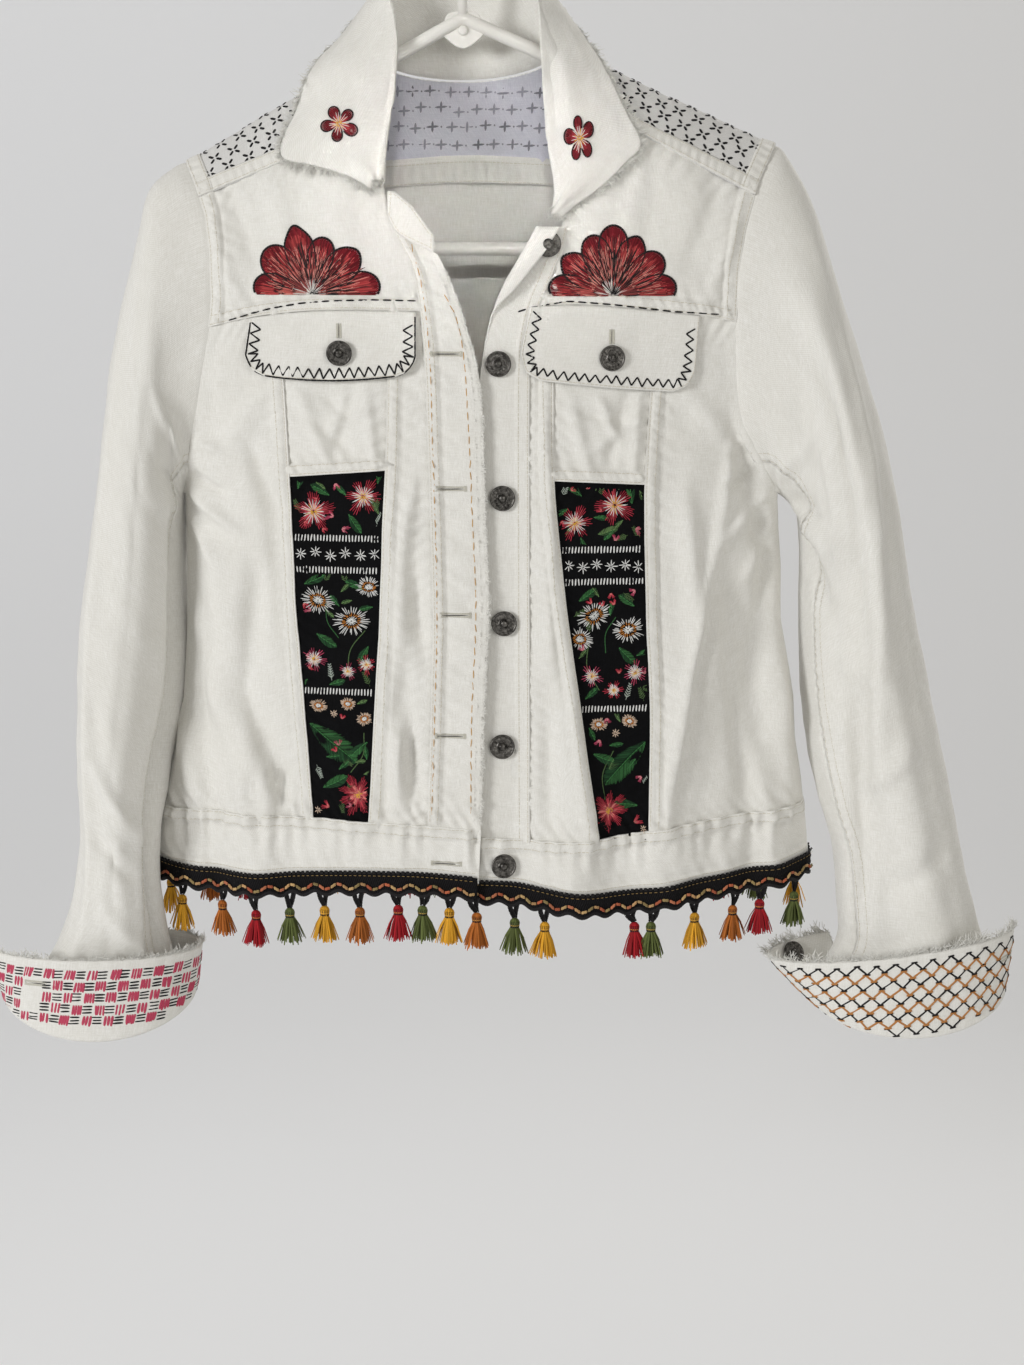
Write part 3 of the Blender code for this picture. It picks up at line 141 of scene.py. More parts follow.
FLAP_SIDES = {LEFT: (-144, -148, -31, -31), RIGHT: (45, 39, 160, 157)}
FLAP_BOTTOM = {
    LEFT: ((-148, -308), (-143, -317), (-133, -322), (-90, -325), (-47, -322), (-37, -318), (-31, -310)),
    RIGHT: ((39, -306), (42, -318), (52, -324), (98, -329), (142, -332), (152, -328), (157, -318)),
}
TAB_TOP = ((-49, -200), (-45, -200), (-34, -209), (-20, -228))
TAB_BOTTOM = ((-49, -215.5), (-46.6, -221), (-44, -226), (-42, -228.2), (-38, -230.6), (-18, -240.2))
TAB_FIRST_X = -49.5
TAB_LAST_X = -19.0
COLLAR_ROWS = {
    LEFT: (
        (-55.0, -199, -51, -44, -192, -60, None, -198),
        (-56.0, -193, -50.5, -43, -185, -75, None, -190),
        (-57.5, -184, -50, -41, -177, -98, None, -183),
        (-58.5, -173, -49, -38, -167, -119, None, -178),
        (-59.5, -161, -47, -33, -153, -121, None, -168),
        (-60.0, -147, -44, -27, -134, -112, None, -146),
        (-60.8, -131, -43, -20, -115, -104, -12, -124),
        (-61.4, -119, -43, -14, -98, -95, 1, -109),
        (-61.8, -111, -45, -9, -83, -85, 12, -97),
        (-62.0, -107, -49, -3, -70, -75, 21, -84),
        (-57.0, None, -52, 9, -61, -66, 30, -75),
        (-45.0, None, -46, 23, -56, -54, 40, -69),
        (-25.0, None, -27, 35, -53, -30, 51, -69),
    ),
    RIGHT: (
        (70.0, -216, 62, -47, -207, 64, None, -218),
        (70.5, -208, 61, -46, -199, 74, None, -210),
        (71.0, -198, 60, -43, -191, 93, None, -196),
        (71.5, -186, 58, -40, -180, 110, None, -180),
        (72.5, -172, 56, -35, -168, 119, None, -169),
        (73.5, -155, 55, -29, -151, 111, None, -151),
        (74.0, -140, 53, -22, -130, 101, -17, -130),
        (71.0, -122, 52, -14, -110, 92, -4, -112),
        (68.3, -111, 51, -9, -92, 83, 8, -98),
        (66.0, -104, 50, -3, -75, 75, 18, -86),
        (60.0, None, 51, 9, -64, 67, 30, -76),
        (47.0, None, 46, 23, -57, 55, 40, -70),
        (26.0, None, 27, 35, -53, 30, 51, -69),
    ),
}
COLLAR_BACK = (0.0, None, 0, 40, -52, 0, 56, -70)
COLLAR_FOLD_RADIUS = 2.7
LEAF_LIFT = 4.6
LEAF_BULGE = 3.0
YOKE_ROW_POWER = 1.5
SLEEVE_RINGS = {
    LEFT: (
        (-206, -187, -199.5, -408, 40, 0), (-218, -199, -200.5, -413, 43, 0), (-223, -226, -201, -421, 46, 0),
        (-233, -265, -201.5, -436, 49, 0), (-243, -308, -202, -456, 51, -2), (-252, -370, -203, -485, 52, -6),
        (-262, -438, -204, -520, 50, -12), (-271, -494, -208, -558, 47, -18), (-273, -552, -217, -596, 41, -28),
        (-274, -600, -221, -640, 35, -34), (-274, -645, -221, -672, 32, -36), (-281, -688, -218, -704, 30, -37),
        (-294, -723, -214, -730, 28, -37), (-311, -748, -207, -752, 28, -36),
    ),
    RIGHT: (
        (226, -179, 224, -407, 41, 0), (238, -200, 230, -412, 44, 0), (246, -225, 235, -419, 47, 0),
        (257, -262, 239, -428, 50, 0), (270, -300, 241, -442, 52, -1), (287, -348, 243, -466, 52, -3),
        (303, -410, 245, -500, 50, -6), (316, -484, 248, -540, 47, -10), (331, -551, 252, -585, 44, -14),
        (346, -614, 259, -625, 40, -16), (357, -662, 267, -658, 36, -18), (366, -696, 270, -695, 31, -20),
        (374, -724, 272, -726, 28, -20), (386, -752, 262, -748, 28, -20),
    ),
}
RING_POINTS = 20
UNDER_FIRST = 8
UNDER_LAST = 13
SLEEVE_KEEP = (0.55, 0.25, 0.08)
SLEEVE_FOLDS = {
    LEFT: (
        (126, 15, -7.0, 0.10, 0.95), (98, 14, 3.0, 0.15, 0.9), (62, 14, -3.0, 0.2, 0.8),
        (240, 20, -5.0, 0.1, 0.9),
    ),
    RIGHT: (
        (112, 15, -7.0, 0.08, 0.95), (78, 15, 4.0, 0.1, 0.9), (48, 12, -3.0, 0.25, 0.9),
        (235, 20, -5.0, 0.1, 0.9),
    ),
}
TRIM_LAP = 4.0
TRIM_DROP = 11.0
TRIM_WALL = 1.6
TRIM_END = 0.8
TRIM_LIFT = BAND / 2 + CLEAR + TRIM_WALL / 2
TASSEL_X = {
    LEFT: (-203, -172, -149, -124, -100, -75, -48, -28, -10, 6),
    RIGHT: (34, 56, 116, 133, 161, 191, 212, 236),
}
BACK_TASSELS = 17
PLACKET_BUTTONS = ((24, -313), (26.5, -403), (27.5, -489), (26, -575), (27, -660))
FLAP_BUTTONS = {LEFT: (-83, -305), RIGHT: (100, -309)}
NECK_BUTTON = (57.0, -234.0)
FLAP_BUTTON_LIFT = 2.9
TUBE_RADIUS = 4.5
HOOK_TUBE_RADIUS = 3.6
HOOK_INNER_RADIUS = 19.0
HANGER_CORNERS = ((0, -85.3, 10), (-190, -188.2, 18), (-174, -237, 18), (186, -237, 18), (206, -174.6, 18))
WORD = {LEFT: "left", RIGHT: "right"}
UPPER_LEFT_NODES = ("sleeve_front_left", "sleeve_back_left", "sleeve_front_low_left", "sleeve_back_low_left")
FLAP_LIFT = (2.0, 3.6)
FELLED = 9.0
TUCK = 6.0
TWIN_ROWS = (1.5, 7.6)
STITCH = 3.0
STITCH_PART = 0.78
YOKE_STRIP = 11.4
FILLER_TRIES = 700
# Cuffs: low centre, low half widths, top centre, top half widths, low z, drop at the front, top z, tilt
CUFF = {
    LEFT: ((-266, -36), (69, 31), (-267, -36), (76, 38), -764, 26, -727, 0.0),
    RIGHT: ((322, -20), (72, 31), (309, -20), (89, 38), -768, 26, -730, 0.13),
}
CUFF_SPAN = {LEFT: (72, -178), RIGHT: (8, -243)}
# Sleeve creases: columns (angle, along, angle, along, width, height), angle from the outer edge through the front
SLEEVE_CREASES = {
    LEFT: (
        (152, 100, 154, 470, 15.0, -6.5), (124, 60, 124, 520, 8.0, 1.9), (92, 20, 90, 540, 9.0, -1.2),
        (40, 120, 60, 560, 9.0, 1.4), (140, 20, 96, 60, 5.0, 1.8), (150, 34, 110, 86, 5.0, -1.6),
        (150, 60, 108, 120, 6.0, 1.5), (60, 330, 130, 372, 8.0, 1.8), (50, 380, 120, 400, 7.0, -1.6),
        (80, 430, 140, 470, 8.0, 1.6), (30, 480, 110, 500, 9.0, 1.5), (60, 520, 130, 540, 7.0, -1.4),
        (220, 60, 250, 260, 10.0, 2.0), (260, 200, 230, 420, 11.0, -2.0), (300, 120, 290, 420, 12.0, 1.8),
        (200, 330, 270, 380, 8.0, 1.6), (210, 440, 280, 470, 9.0, -1.6), (90, 545, 30, 562, 6.0, 1.5),
    ),
    RIGHT: (
        (84, 30, 92, 266, 7.5, -3.2), (92, 256, 142, 476, 8.5, -2.9), (46, 90, 70, 226, 8.0, 1.7),
        (70, 222, 99, 352, 8.0, 1.9), (106, 60, 110, 280, 5.0, 1.2), (168, 56, 114, 180, 6.0, 2.3),
        (166, 86, 120, 206, 6.0, -2.0), (150, 24, 110, 80, 5.0, 1.8), (160, 50, 120, 140, 6.0, -1.6),
        (150, 96, 96, 190, 6.0, 2.2), (160, 130, 118, 215, 5.0, -1.8), (120, 250, 60, 300, 8.0, 1.6),
        (60, 330, 120, 360, 8.0, 1.6), (40, 400, 110, 440, 9.0, -1.5), (60, 470, 130, 500, 8.0, 1.6),
        (30, 520, 100, 545, 7.0, 1.5), (220, 60, 250, 260, 10.0, 2.0), (260, 200, 230, 420, 11.0, -2.0),
        (300, 120, 290, 420, 12.0, 1.8), (200, 330, 270, 380, 8.0, 1.6), (210, 440, 280, 470, 9.0, -1.6),
    ),
}
CREASE_GAIN = 2.9
SLEEVE_GAIN = 2.2
FOLD_GAIN = 1.6
GOLD = (0.62, 0.34, 0.07)
GILT = (0.36, 0.24, 0.09)
SOOT = (0.012, 0.011, 0.012)
RED, OLIVE, YELLOW, OCHRE = (0.42, 0.012, 0.02), (0.13, 0.16, 0.045), (0.80, 0.40, 0.03), (0.50, 0.15, 0.025)
TASSEL_HUES = (YELLOW, OCHRE, RED, OLIVE)
TASSEL_ORDER = {LEFT: (0, 1, 2, 3, 0, 1, 2, 3, 0, 1), RIGHT: (3, 0, 2, 3, 0, 1, 2, 3)}
BEAD_HUES = ((0.56, 0.33, 0.15), (0.50, 0.13, 0.06), (0.58, 0.38, 0.17), (0.33, 0.24, 0.10), (0.52, 0.18, 0.09))
SEAM_THREAD = (0.70, 0.66, 0.56)
IVORY_THREAD = (0.62, 0.60, 0.52)
WHITE_THREAD = (0.82, 0.82, 0.80)
STRAW = (0.62, 0.35, 0.11)
PINK_THREAD = (0.56, 0.07, 0.13)
TAN_THREAD = (0.50, 0.22, 0.07)
FRAY = (0.84, 0.83, 0.78)
FADED = (0.25, 0.25, 0.29)
HEART_YELLOW = (0.75, 0.42, 0.06)
HEART_ORANGE = (0.55, 0.20, 0.03)
PETAL_REDS = (
    (0.46, 0.20, 0.17), (0.16, 0.008, 0.012), (0.50, 0.10, 0.085), (0.20, 0.008, 0.014), (0.42, 0.05, 0.05),
    (0.16, 0.006, 0.012),
)
DARK_REDS = ((0.40, 0.03, 0.04), (0.16, 0.008, 0.014))
PALE_RAY = (0.80, 0.78, 0.74)
CORAL_RAY = (0.70, 0.27, 0.22)
GREENS = ((0.028, 0.11, 0.032), (0.012, 0.055, 0.018))
MOTIF_HUES = {
    "coral": ((0.66, 0.20, 0.18), (0.52, 0.06, 0.08), (0.36, 0.025, 0.045)),
    "pink": ((0.60, 0.22, 0.24), (0.38, 0.05, 0.10)),
    "white": ((0.80, 0.80, 0.78), (0.7, 0.7, 0.68)),
    "beige": ((0.66, 0.50, 0.38), (0.55, 0.34, 0.22)),
    "green": GREENS,
    "moss": ((0.08, 0.14, 0.05), (0.05, 0.10, 0.035)),
    "pale": ((0.42, 0.48, 0.42), (0.3, 0.35, 0.3)),
}
TICK_LINES = {LEFT: (-430.9, -452.9, -537.5), RIGHT: (-438.5, -460.5, -548.9)}
# Insert motifs: kind, place across, height, size, turn, colours
INSERT_MOTIFS = {
    LEFT: (
        ("leaf", 0.42, -402, 15, 2.5, "green"), ("leaf", 0.62, -414, 16, -1.1, "green"),
        ("leaf", 0.08, -398, 12, 1.2, "green"), ("leaf", 0.95, -414, 13, 1.9, "moss"),
        ("bloom", 0.24, -413, 12.5, 0.3, "coral"), ("bloom", 0.78, -402, 11.5, 1.0, "coral"),
        ("bud", 0.50, -388, 7, 0.9, "coral"), ("bud", 0.06, -388, 6, 1.9, "pink"),
        ("bud", 0.55, -424, 6, -0.4, "pink"), ("sprig", 0.93, -422, 9, 1.2, "pale"),
        ("star", 0.08, -442, 4.6, 0, "white"), ("star", 0.25, -440.5, 4.2, 0, "white"),
        ("star", 0.42, -443, 4.6, 0, "white"), ("star", 0.59, -441, 4.4, 0, "white"),
        ("star", 0.76, -442.6, 4.8, 0, "white"), ("star", 0.92, -441, 4.2, 0, "white"),
        ("leaf", 0.10, -463, 16, 0.3, "green"), ("leaf", 0.80, -466, 14, 2.6, "green"),
        ("stem", 0.50, -500, 26, 1.9, "green"), ("stem", 0.62, -526, 34, 1.2, "moss"),
        ("leaf", 0.22, -497, 17, -0.7, "green"), ("daisy", 0.26, -474, 9.5, 0, "white"),
        ("daisy", 0.66, -488, 10.5, 0, "white"), ("daisy", 0.86, -464, 7.5, 0, "white"),
        ("leaf", 0.88, -505, 14, -2.2, "green"), ("bloom", 0.18, -515, 8, 0.8, "pink"),
        ("bloom", 0.62, -523, 6, 0.2, "pink"), ("bloom", 0.86, -518, 6.5, 0.6, "coral"),
        ("sprig", 0.40, -530, 11, 1.7, "pale"), ("sprig", 0.92, -533, 10, 2.0, "moss"),
        ("leaf", 0.36, -533, 12, 0.2, "green"), ("daisy", 0.20, -548, 5.0, 0, "beige"),
        ("daisy", 0.62, -546, 4.6, 0, "beige"), ("daisy", 0.86, -556, 5.0, 0, "beige"),
        ("star", 0.42, -553, 3.0, 0, "beige"), ("broad", 0.04, -560, 44, -0.72, "green"),
        ("stem", 0.86, -566, 30, -1.9, "moss"), ("leaf", 0.92, -572, 16, -2.5, "green"),
        ("leaf", 0.20, -606, 20, 0.35, "green"), ("sprig", 0.12, -590, 9, -1.2, "pale"),
        ("frill", 0.80, -610, 13, 0.2, "coral"), ("bud", 0.30, -620, 7, 2.6, "coral"),
        ("star", 0.10, -622, 3.4, 0, "beige"),
    ),
    RIGHT: (
        ("leaf", 0.30, -402, 15, 2.3, "green"), ("leaf", 0.86, -408, 15, 1.6, "green"),
        ("leaf", 0.45, -428, 15, 0.2, "moss"), ("bloom", 0.66, -408, 12.5, 0.7, "coral"),
        ("bloom", 0.20, -420, 11, 0.1, "coral"), ("bud", 0.36, -397, 7, 1.4, "coral"),
        ("bud", 0.90, -424, 6.5, -0.6, "pink"), ("sprig", 0.08, -402, 9, 1.2, "pale"),
        ("star", 0.08, -449, 4.4, 0, "white"), ("star", 0.25, -450.5, 4.6, 0, "white"),
        ("star", 0.42, -448.5, 4.4, 0, "white"), ("star", 0.59, -450, 4.8, 0, "white"),
        ("star", 0.76, -449, 4.4, 0, "white"), ("star", 0.92, -450.5, 4.4, 0, "white"),
        ("leaf", 0.16, -474, 15, 0.5, "green"), ("leaf", 0.86, -478, 14, 2.4, "green"),
        ("stem", 0.44, -510, 26, 1.3, "green"), ("daisy", 0.34, -484, 10, 0, "white"),
        ("daisy", 0.76, -494, 9.5, 0, "white"), ("daisy", 0.12, -500, 7.5, 0, "white"),
        ("leaf", 0.62, -506, 17, -0.9, "green"), ("stem", 0.30, -536, 34, 1.8, "moss"),
        ("bloom", 0.82, -524, 7.5, 0.4, "pink"), ("bloom", 0.22, -526, 7, 0.9, "pink"),
        ("bloom", 0.50, -536, 6, 0.1, "coral"), ("sprig", 0.66, -543, 11, 1.3, "pale"),
        ("leaf", 0.08, -542, 12, 0.6, "green"), ("sprig", 0.92, -544, 9, 1.9, "moss"),
        ("daisy", 0.24, -560, 5.0, 0, "beige"), ("daisy", 0.70, -558, 4.8, 0, "beige"),
        ("star", 0.48, -566, 3.2, 0, "beige"), ("broad", 0.95, -572, 42, -2.4, "green"),
        ("leaf", 0.10, -580, 17, -0.5, "green"), ("stem", 0.22, -612, 34, 1.4, "moss"),
        ("frill", 0.26, -620, 12.5, 0.5, "coral"), ("leaf", 0.80, -618, 18, 2.9, "green"),
        ("bud", 0.72, -630, 7, 0.5, "coral"), ("sprig", 0.88, -604, 9, 1.0, "pale"),
        ("star", 0.90, -634, 3.2, 0, "beige"),
    ),
}
# Half flowers: middle of the base, then petals (angle, length, half angle, how pointed)
HALF_FLOWER = {
    LEFT: ((-101, -267), ((172, 40, 0.44, 0.0), (8, 46, 0.40, 0.0), (138, 43, 0.47, 0.0), (42, 41, 0.46, 0.03),
                          (76, 38, 0.42, 0.0), (105, 43, 0.42, 0.08))),
    RIGHT: ((100.5, -268), ((172, 43, 0.40, 0.0), (8, 43, 0.40, 0.0), (143, 41, 0.42, 0.03), (38, 42, 0.42, 0.0),
                            (112, 42, 0.40, 0.0), (66, 41, 0.40, 0.03), (90, 46, 0.38, 0.0))),
}
CHEST_LINE = {LEFT: -268.0, RIGHT: -269.0}
RUNNING = {
    LEFT: (
        (-158.5, -284.4), (-144, -280), (-130.2, -276.5), (-110, -273), (-89.3, -271.3), (-60, -270.6),
        (-31.2, -271.3),
    ),
    RIGHT: (
        (37, -278.5), (45, -275.9), (70.4, -271.3), (101.8, -273.9), (141.3, -278.5), (176.1, -280.5),
    ),
}
GOLD_ROWS = (
    ((-34.2, -234.1), (-27.8, -258.7), (-24.1, -284.7), (-21.7, -316.9), (-20.8, -361.4), (-19.7, -396.4),
     (-18.3, -480), (-20.3, -550.1), (-23, -626.1)),
    ((-12, -267.1), (-3.5, -284.7), (1, -310.9), (2.8, -338.7), (4.7, -376.1), (5.9, -412), (8.3, -480),
     (5.3, -550.1), (4.3, -621)),
)
BUTTONHOLES = ((-11.6, -306.2), (-8.8, -396.1), (-6, -482.4), (-9.9, -566.7), (-13.3, -657.5))
ZIGZAG = {LEFT: (7.0, 2.2, 9.0), RIGHT: (7.2, 3.0, 8.6)}
CUFF_WORK_SPAN = {LEFT: (0.01, 0.985), RIGHT: (0.015, 0.985)}
CUFF_HOLES = {LEFT: 0.78, RIGHT: 0.07}
COLLAR_FLOWERS = ((-81.6, -156.2, 12.5, 1.0, 3), (77.8, -165.7, 16.0, 0.6, 4))
WORLD_LIGHT = 0.30
WORLD_COLOUR = (1.0, 0.965, 0.91)
CAMERA_PLACE = (0.033, -1.4098, -0.2428)
CAMERA_TILT = 78
CAMERA_LENS = 52.75
# The backdrop's floor, sweep and wall in metres
FLOOR_FRONT_Y = -1.6
FLOOR_Z = -1.15
SWEEP_START_Y = 0.9
SWEEP_RADIUS = 1.5
WALL_TOP_Z = 2.2
ROOM_HALF = 3.2
# The backdrop's glow: painted light from the sweep's own colour, which also lights the jacket from behind.
BACKDROP_PAINTED_LIGHT = 0.18
LIGHTS = (  # name, place, target, size, watts, spread in degrees, colour
    ("key", (-3.4, -2.9, 0.4), (0.03, 0, -0.4), (1.2, 1.2), 116.0, 180, (0.985, 0.99, 1.0)),
    ("fill", (1.3, -2.3, 0.2), (0.06, 0, -0.45), (1.6, 1.6), 17.0, 180, (1.0, 0.99, 0.96)),
    ("top", (0.1, 0.3, 1.5), (0.03, 0.5, -0.4), (1.6, 1.2), 1.5, 180, (1.0, 1.0, 1.0)),
    ("back", (1.3, 1.9, 1.1), (0.03, 0, -0.3), (1.2, 1.0), 6.0, 70, (1.0, 0.99, 0.97)),
    ("neck", (0.0, -1.25, 0.16), (0.01, 0.05, -0.215), (0.18, 0.13), 0.04, 8, (1.0, 0.99, 0.97)),
)
# The backdrop is lighter and bluer at the left: the lighter part is painted light falling from the left.
BACKDROP_LEFT, BACKDROP_RIGHT = (0.725, 0.73, 0.74), (0.715, 0.715, 0.715)

# Large folds of the body: columns (x at top, z at top, x at bottom, z at bottom, width, height)
FRONT_FOLDS = (
    (-172, -383, -147, -640, 15, 4.0), (-187, -430, -178, -640, 10, -2.5), (-140, -330, -84, -300, 16, 1.5),
    (168, -470, 141, -640, 16, 4.5), (196, -440, 200, -640, 12, -3.0), (206, -560, 224, -680, 9, 3.0),
    (88, -560, 78, -690, 20, 4.0), (30, -330, 36, -640, 14, -1.5),
)
BACK_FOLDS = (
    (-150, -300, -132, -680, 22, 5.0), (-40, -240, -30, -680, 26, -4.0), (60, -260, 66, -680, 24, 5.0),
    (165, -330, 178, -680, 20, -4.5),
)
# Small creases of the front: columns (x, z, x, z, width, height)
CREASES = (
    (-193, -398, -158, -428, 4.5, 1.6), (-192, -388, -166, -402, 3.5, -1.3),
    (-194, -412, -172, -452, 4.5, 1.4), (-189, -366, -168, -372, 4.0, 1.1),
    (214, -400, 178, -436, 5.0, 1.7), (208, -384, 182, -398, 4.0, -1.4), (218, -418, 196, -462, 5.0, 1.5),
    (200, -366, 180, -370, 4.0, 1.0), (-172, -214, -150, -276, 6.0, 0.9),
    (-158, -198, -138, -250, 6.0, -0.8), (-128, -190, -118, -232, 7.0, 0.7),
    (188, -214, 164, -276, 6.0, 0.9), (172, -196, 150, -254, 7.0, -0.8), (120, -176, 112, -230, 8.0, 0.7),
    (-112, -330, -92, -378, 5.0, 1.1), (-74, -326, -88, -372, 4.5, -1.0), (-66, -330, -60, -380, 4.0, 0.9),
    (72, -334, 84, -382, 5.0, 1.1), (112, -334, 98, -384, 5.0, -1.0), (120, -330, 116, -386, 4.0, 0.9),
    (-42, -400, -38, -520, 7.0, 1.5), (-52, -520, -40, -625, 8.0, 1.8), (-34, -470, -44, -560, 6.0, -1.3),
    (56, -420, 60, -520, 6.0, 1.2), (66, -520, 80, -630, 8.0, 1.6), (58, -560, 60, -634, 5.0, -1.2),
    (-190, -480, -172, -560, 9.0, 1.6), (-206, -560, -190, -625, 8.0, 1.8),
    (150, -400, 158, -500, 10.0, 1.5), (190, -470, 214, -600, 9.0, -1.6), (222, -540, 232, -625, 7.0, 1.5),
    (140, -320, 176, -360, 8.0, 1.0), (-134, -330, -166, -372, 8.0, 0.9), (186, -366, 168, -470, 4.5, 1.5),
    (168, -462, 142, -624, 3.6, 1.9), (172, -470, 151, -624, 5.0, -1.5), (182, -472, 196, -610, 6.0, -1.5),
    (153, -403, 162, -500, 6.0, 1.2), (-142, -450, -156, -548, 9.0, -2.2),
    (-156, -540, -124, -612, 9.0, -3.2), (-147, -368, -130, -418, 6.5, -2.4),
    (-131, -412, -127, -500, 5.5, -2.2), (186, -356, 212, -448, 7.5, -2.6),
    (212, -444, 205, -530, 7.0, -2.2), (224, -430, 226, -560, 8.0, 1.6), (-176, -430, -170, -560, 8.0, 1.6),
    (-38, -430, -28, -512, 6.0, -1.5), (-45, -540, -33, -612, 7.0, -1.6), (-51, -400, -46, -516, 7.0, 1.2),
    (-160, -592, -157, -626, 2.6, 1.1), (-150, -598, -149, -626, 2.6, -1.0),
    (-141, -588, -138, -626, 3.0, 1.2), (-130, -596, -129, -626, 2.6, -1.0),
    (-122, -599, -120, -626, 2.4, 0.9), (-33, -388, -40, -444, 4.0, 1.1), (-41, -540, -49, -618, 3.6, 1.3),
    (-36, -560, -38, -622, 3.0, -1.1), (55, -350, 62, -444, 4.5, 1.1), (66, -472, 88, -630, 5.0, 1.3),
    (-79, -333, -89, -366, 4.0, 1.2), (92, -336, 106, -366, 4.0, 1.2), (-96, -334, -74, -352, 3.4, -1.0),
    (-64, -344, -96, -360, 3.6, 0.9), (80, -344, 118, -356, 3.4, -0.9), (-110, -345, -70, -376, 4.0, -0.8),
    (86, -372, 118, -350, 4.0, 0.8),
)


def columns(rows):
    """Keys and values of a table of (key, value) rows, sorted by key."""
    table = np.array(sorted(rows), float)
    return table[:, 0], table[:, 1]


def lookup(rows, at):
    """Reads a table with straight lines between its rows."""
    keys, values = columns(rows)
    return np.interp(at, keys, values)


def carried_on(rows, at):
    """Reads a table, with its end slopes carried on."""
    keys, values = columns(rows)
    first = values[0] + (values[1] - values[0]) / (keys[1] - keys[0]) * (at - keys[0])
    last = values[-1] + (values[-1] - values[-2]) / (keys[-1] - keys[-2]) * (at - keys[-1])
    return np.where(at < keys[0], first, np.where(at > keys[-1], last, np.interp(at, keys, values)))


def smooth(rows, at):
    """Reads a table as a soft curve."""
    at = np.asarray(at, float)
    steps = 4
    return sum(carried_on(rows, at + SOFTENING * i / steps) for i in range(-steps, steps + 1)) / (2 * steps + 1)


def reader(rows):
    """A table as a function."""
    return lambda at: smooth(rows, at)


def step_up(value):
    """Smooth step from 0 to 1."""
    value = np.clip(value, 0, 1)
    return value * value * (3 - 2 * value)


def unit(vectors):
    """Vectors of length 1."""
    return vectors / np.linalg.norm(vectors, axis=-1, keepdims=True)


def run_lengths(points):
    """Distance of each point of a line from its start."""
    return np.concatenate([[0], np.cumsum(np.linalg.norm(np.diff(points, axis=0), axis=-1))])


def read_at(places, lengths, values):
    """Reads rows of values at distances along a line."""
    return np.stack([np.interp(places, lengths, column) for column in values.T], -1)


def spline(points, at):
    """Catmull-Rom reading of the rows of an array at fractional row numbers."""
    points = np.asarray(points, float)
    at = np.clip(at, 0, len(points) - 1)
    base = np.minimum(at.astype(int), len(points) - 2)
    t = (at - base).reshape((-1,) + (1,) * (points.ndim - 1))
    padded = np.concatenate([2 * points[:1] - points[1:2], points, 2 * points[-1:] - points[-2:-1]])
    a, b, c, d = (padded[base + i] for i in range(4))
    return 0.5 * (2 * b + (c - a) * t + (2 * a - 5 * b + 4 * c - d) * t**2 + (3 * b - a - 3 * c + d) * t**3)


def rough(x, z, size, seed):
    """Soft noise from -1 to 1 with bumps of the given size."""
    pairs = zip(np.ravel(x) / size, np.ravel(z) / size)
    return np.reshape([noise.noise((a, b, seed)) for a, b in pairs], np.shape(x))


def crest_z(x):
    """Height of the shoulder ridge above x."""
    x = np.asarray(x, float)
    points = (*SHOULDER_TIP[LEFT], *NECK_POINT[LEFT], *NECK_POINT[RIGHT], *SHOULDER_TIP[RIGHT])
    return carried_on(tuple(zip(points[::2], points[1::2])), x)


def depth_below(drop, full, growth):
    """How far the cloth stands from the hanger's plane, at this drop below the ridge."""
    drop = np.maximum(drop, 0)
    start = math.sqrt(2 * CREST_RADIUS * CREST_ROUND)
    fade = (full - start) / CREST_SLOPE
    far = start + (full + growth * drop - start) * (1 - np.exp((CREST_ROUND - np.maximum(drop, CREST_ROUND)) / fade))
    return np.where(drop <= CREST_ROUND, np.sqrt(2 * CREST_RADIUS * np.minimum(drop, CREST_ROUND)), far)


def side_x(side, z):
    """x of the side seam, or of the armhole above the armpit."""
    return lookup(SIDE_OUTLINE[side], np.minimum(z, SHOULDER_TIP[side][1]))


def by_side(x, function):
    """Reads function(side) on each side of the centre."""
    return np.where(x < CENTRE_X, function(LEFT), function(RIGHT))


def fullness(x, z):
    """Share of the full depth at x, evened out over a short height."""
    return sum(fullness_at(x, z + step) for step in (-18, -12, -6, 0, 6, 12, 18)) / 7


def fullness_at(x, z):
    """Share of the full depth at x: nothing at the side seam, part of it at the armhole."""
    tip_z = by_side(x, lambda side: SHOULDER_TIP[side][1])
    outer = by_side(x, lambda side: side_x(side, z))
    inward = np.clip((x - outer) / (CENTRE_X - outer), 0, 1)
    down = np.clip((tip_z - z) / (tip_z - ARMPIT_Z), 0, 1)
    at_edge = ARMHOLE_FULLNESS * np.sqrt(1 - down * down)
    round_share = step_up((down - 0.7) / 0.3)
    ellipse = np.sqrt(np.maximum(1 - (1 - inward) ** 2, 0))
    slope = 1 - (1 - inward) ** 1.7
    return at_edge + (1 - at_edge) * (round_share * ellipse + (1 - round_share) * slope)


def folds(rows, x, z):
    """Height of the large folds. They fade out at the side."""
    height = np.zeros(np.shape(x))
    for top_x, top_z, low_x, low_z, width, rise in rows:
        share = np.clip((z - top_z) / (low_z - top_z), 0, 1)
        ends = step_up(share * 2.2)
        off = (x - top_x - (low_x - top_x) * share) / width
        height = height + FOLD_GAIN * rise * ends * np.exp(-off * off)
    edge = by_side(x, lambda side: side_x(side, z))
    return height * np.clip(np.abs(x - edge) / 14, 0, 1)


def front(x, z, lift=0.0):
    """Points of the front's middle surface."""
    x, z = np.broadcast_arrays(np.asarray(x, float), np.asarray(z, float))
    depth = depth_below(crest_z(x) - z, FRONT_DEPTH, FRONT_GROWTH) * fullness(x, z)
    return np.stack([x, -depth - folds(FRONT_FOLDS, x, z) - lift, z], -1)


def back(x, z, lift=0.0):
    """Points of the back's middle surface."""
    x, z = np.broadcast_arrays(np.asarray(x, float), np.asarray(z, float))
    depth = depth_below(crest_z(x) - z, BACK_DEPTH, BACK_GROWTH) * fullness(x, z)
    return np.stack([x, depth + folds(BACK_FOLDS, x, z) + lift, z], -1)


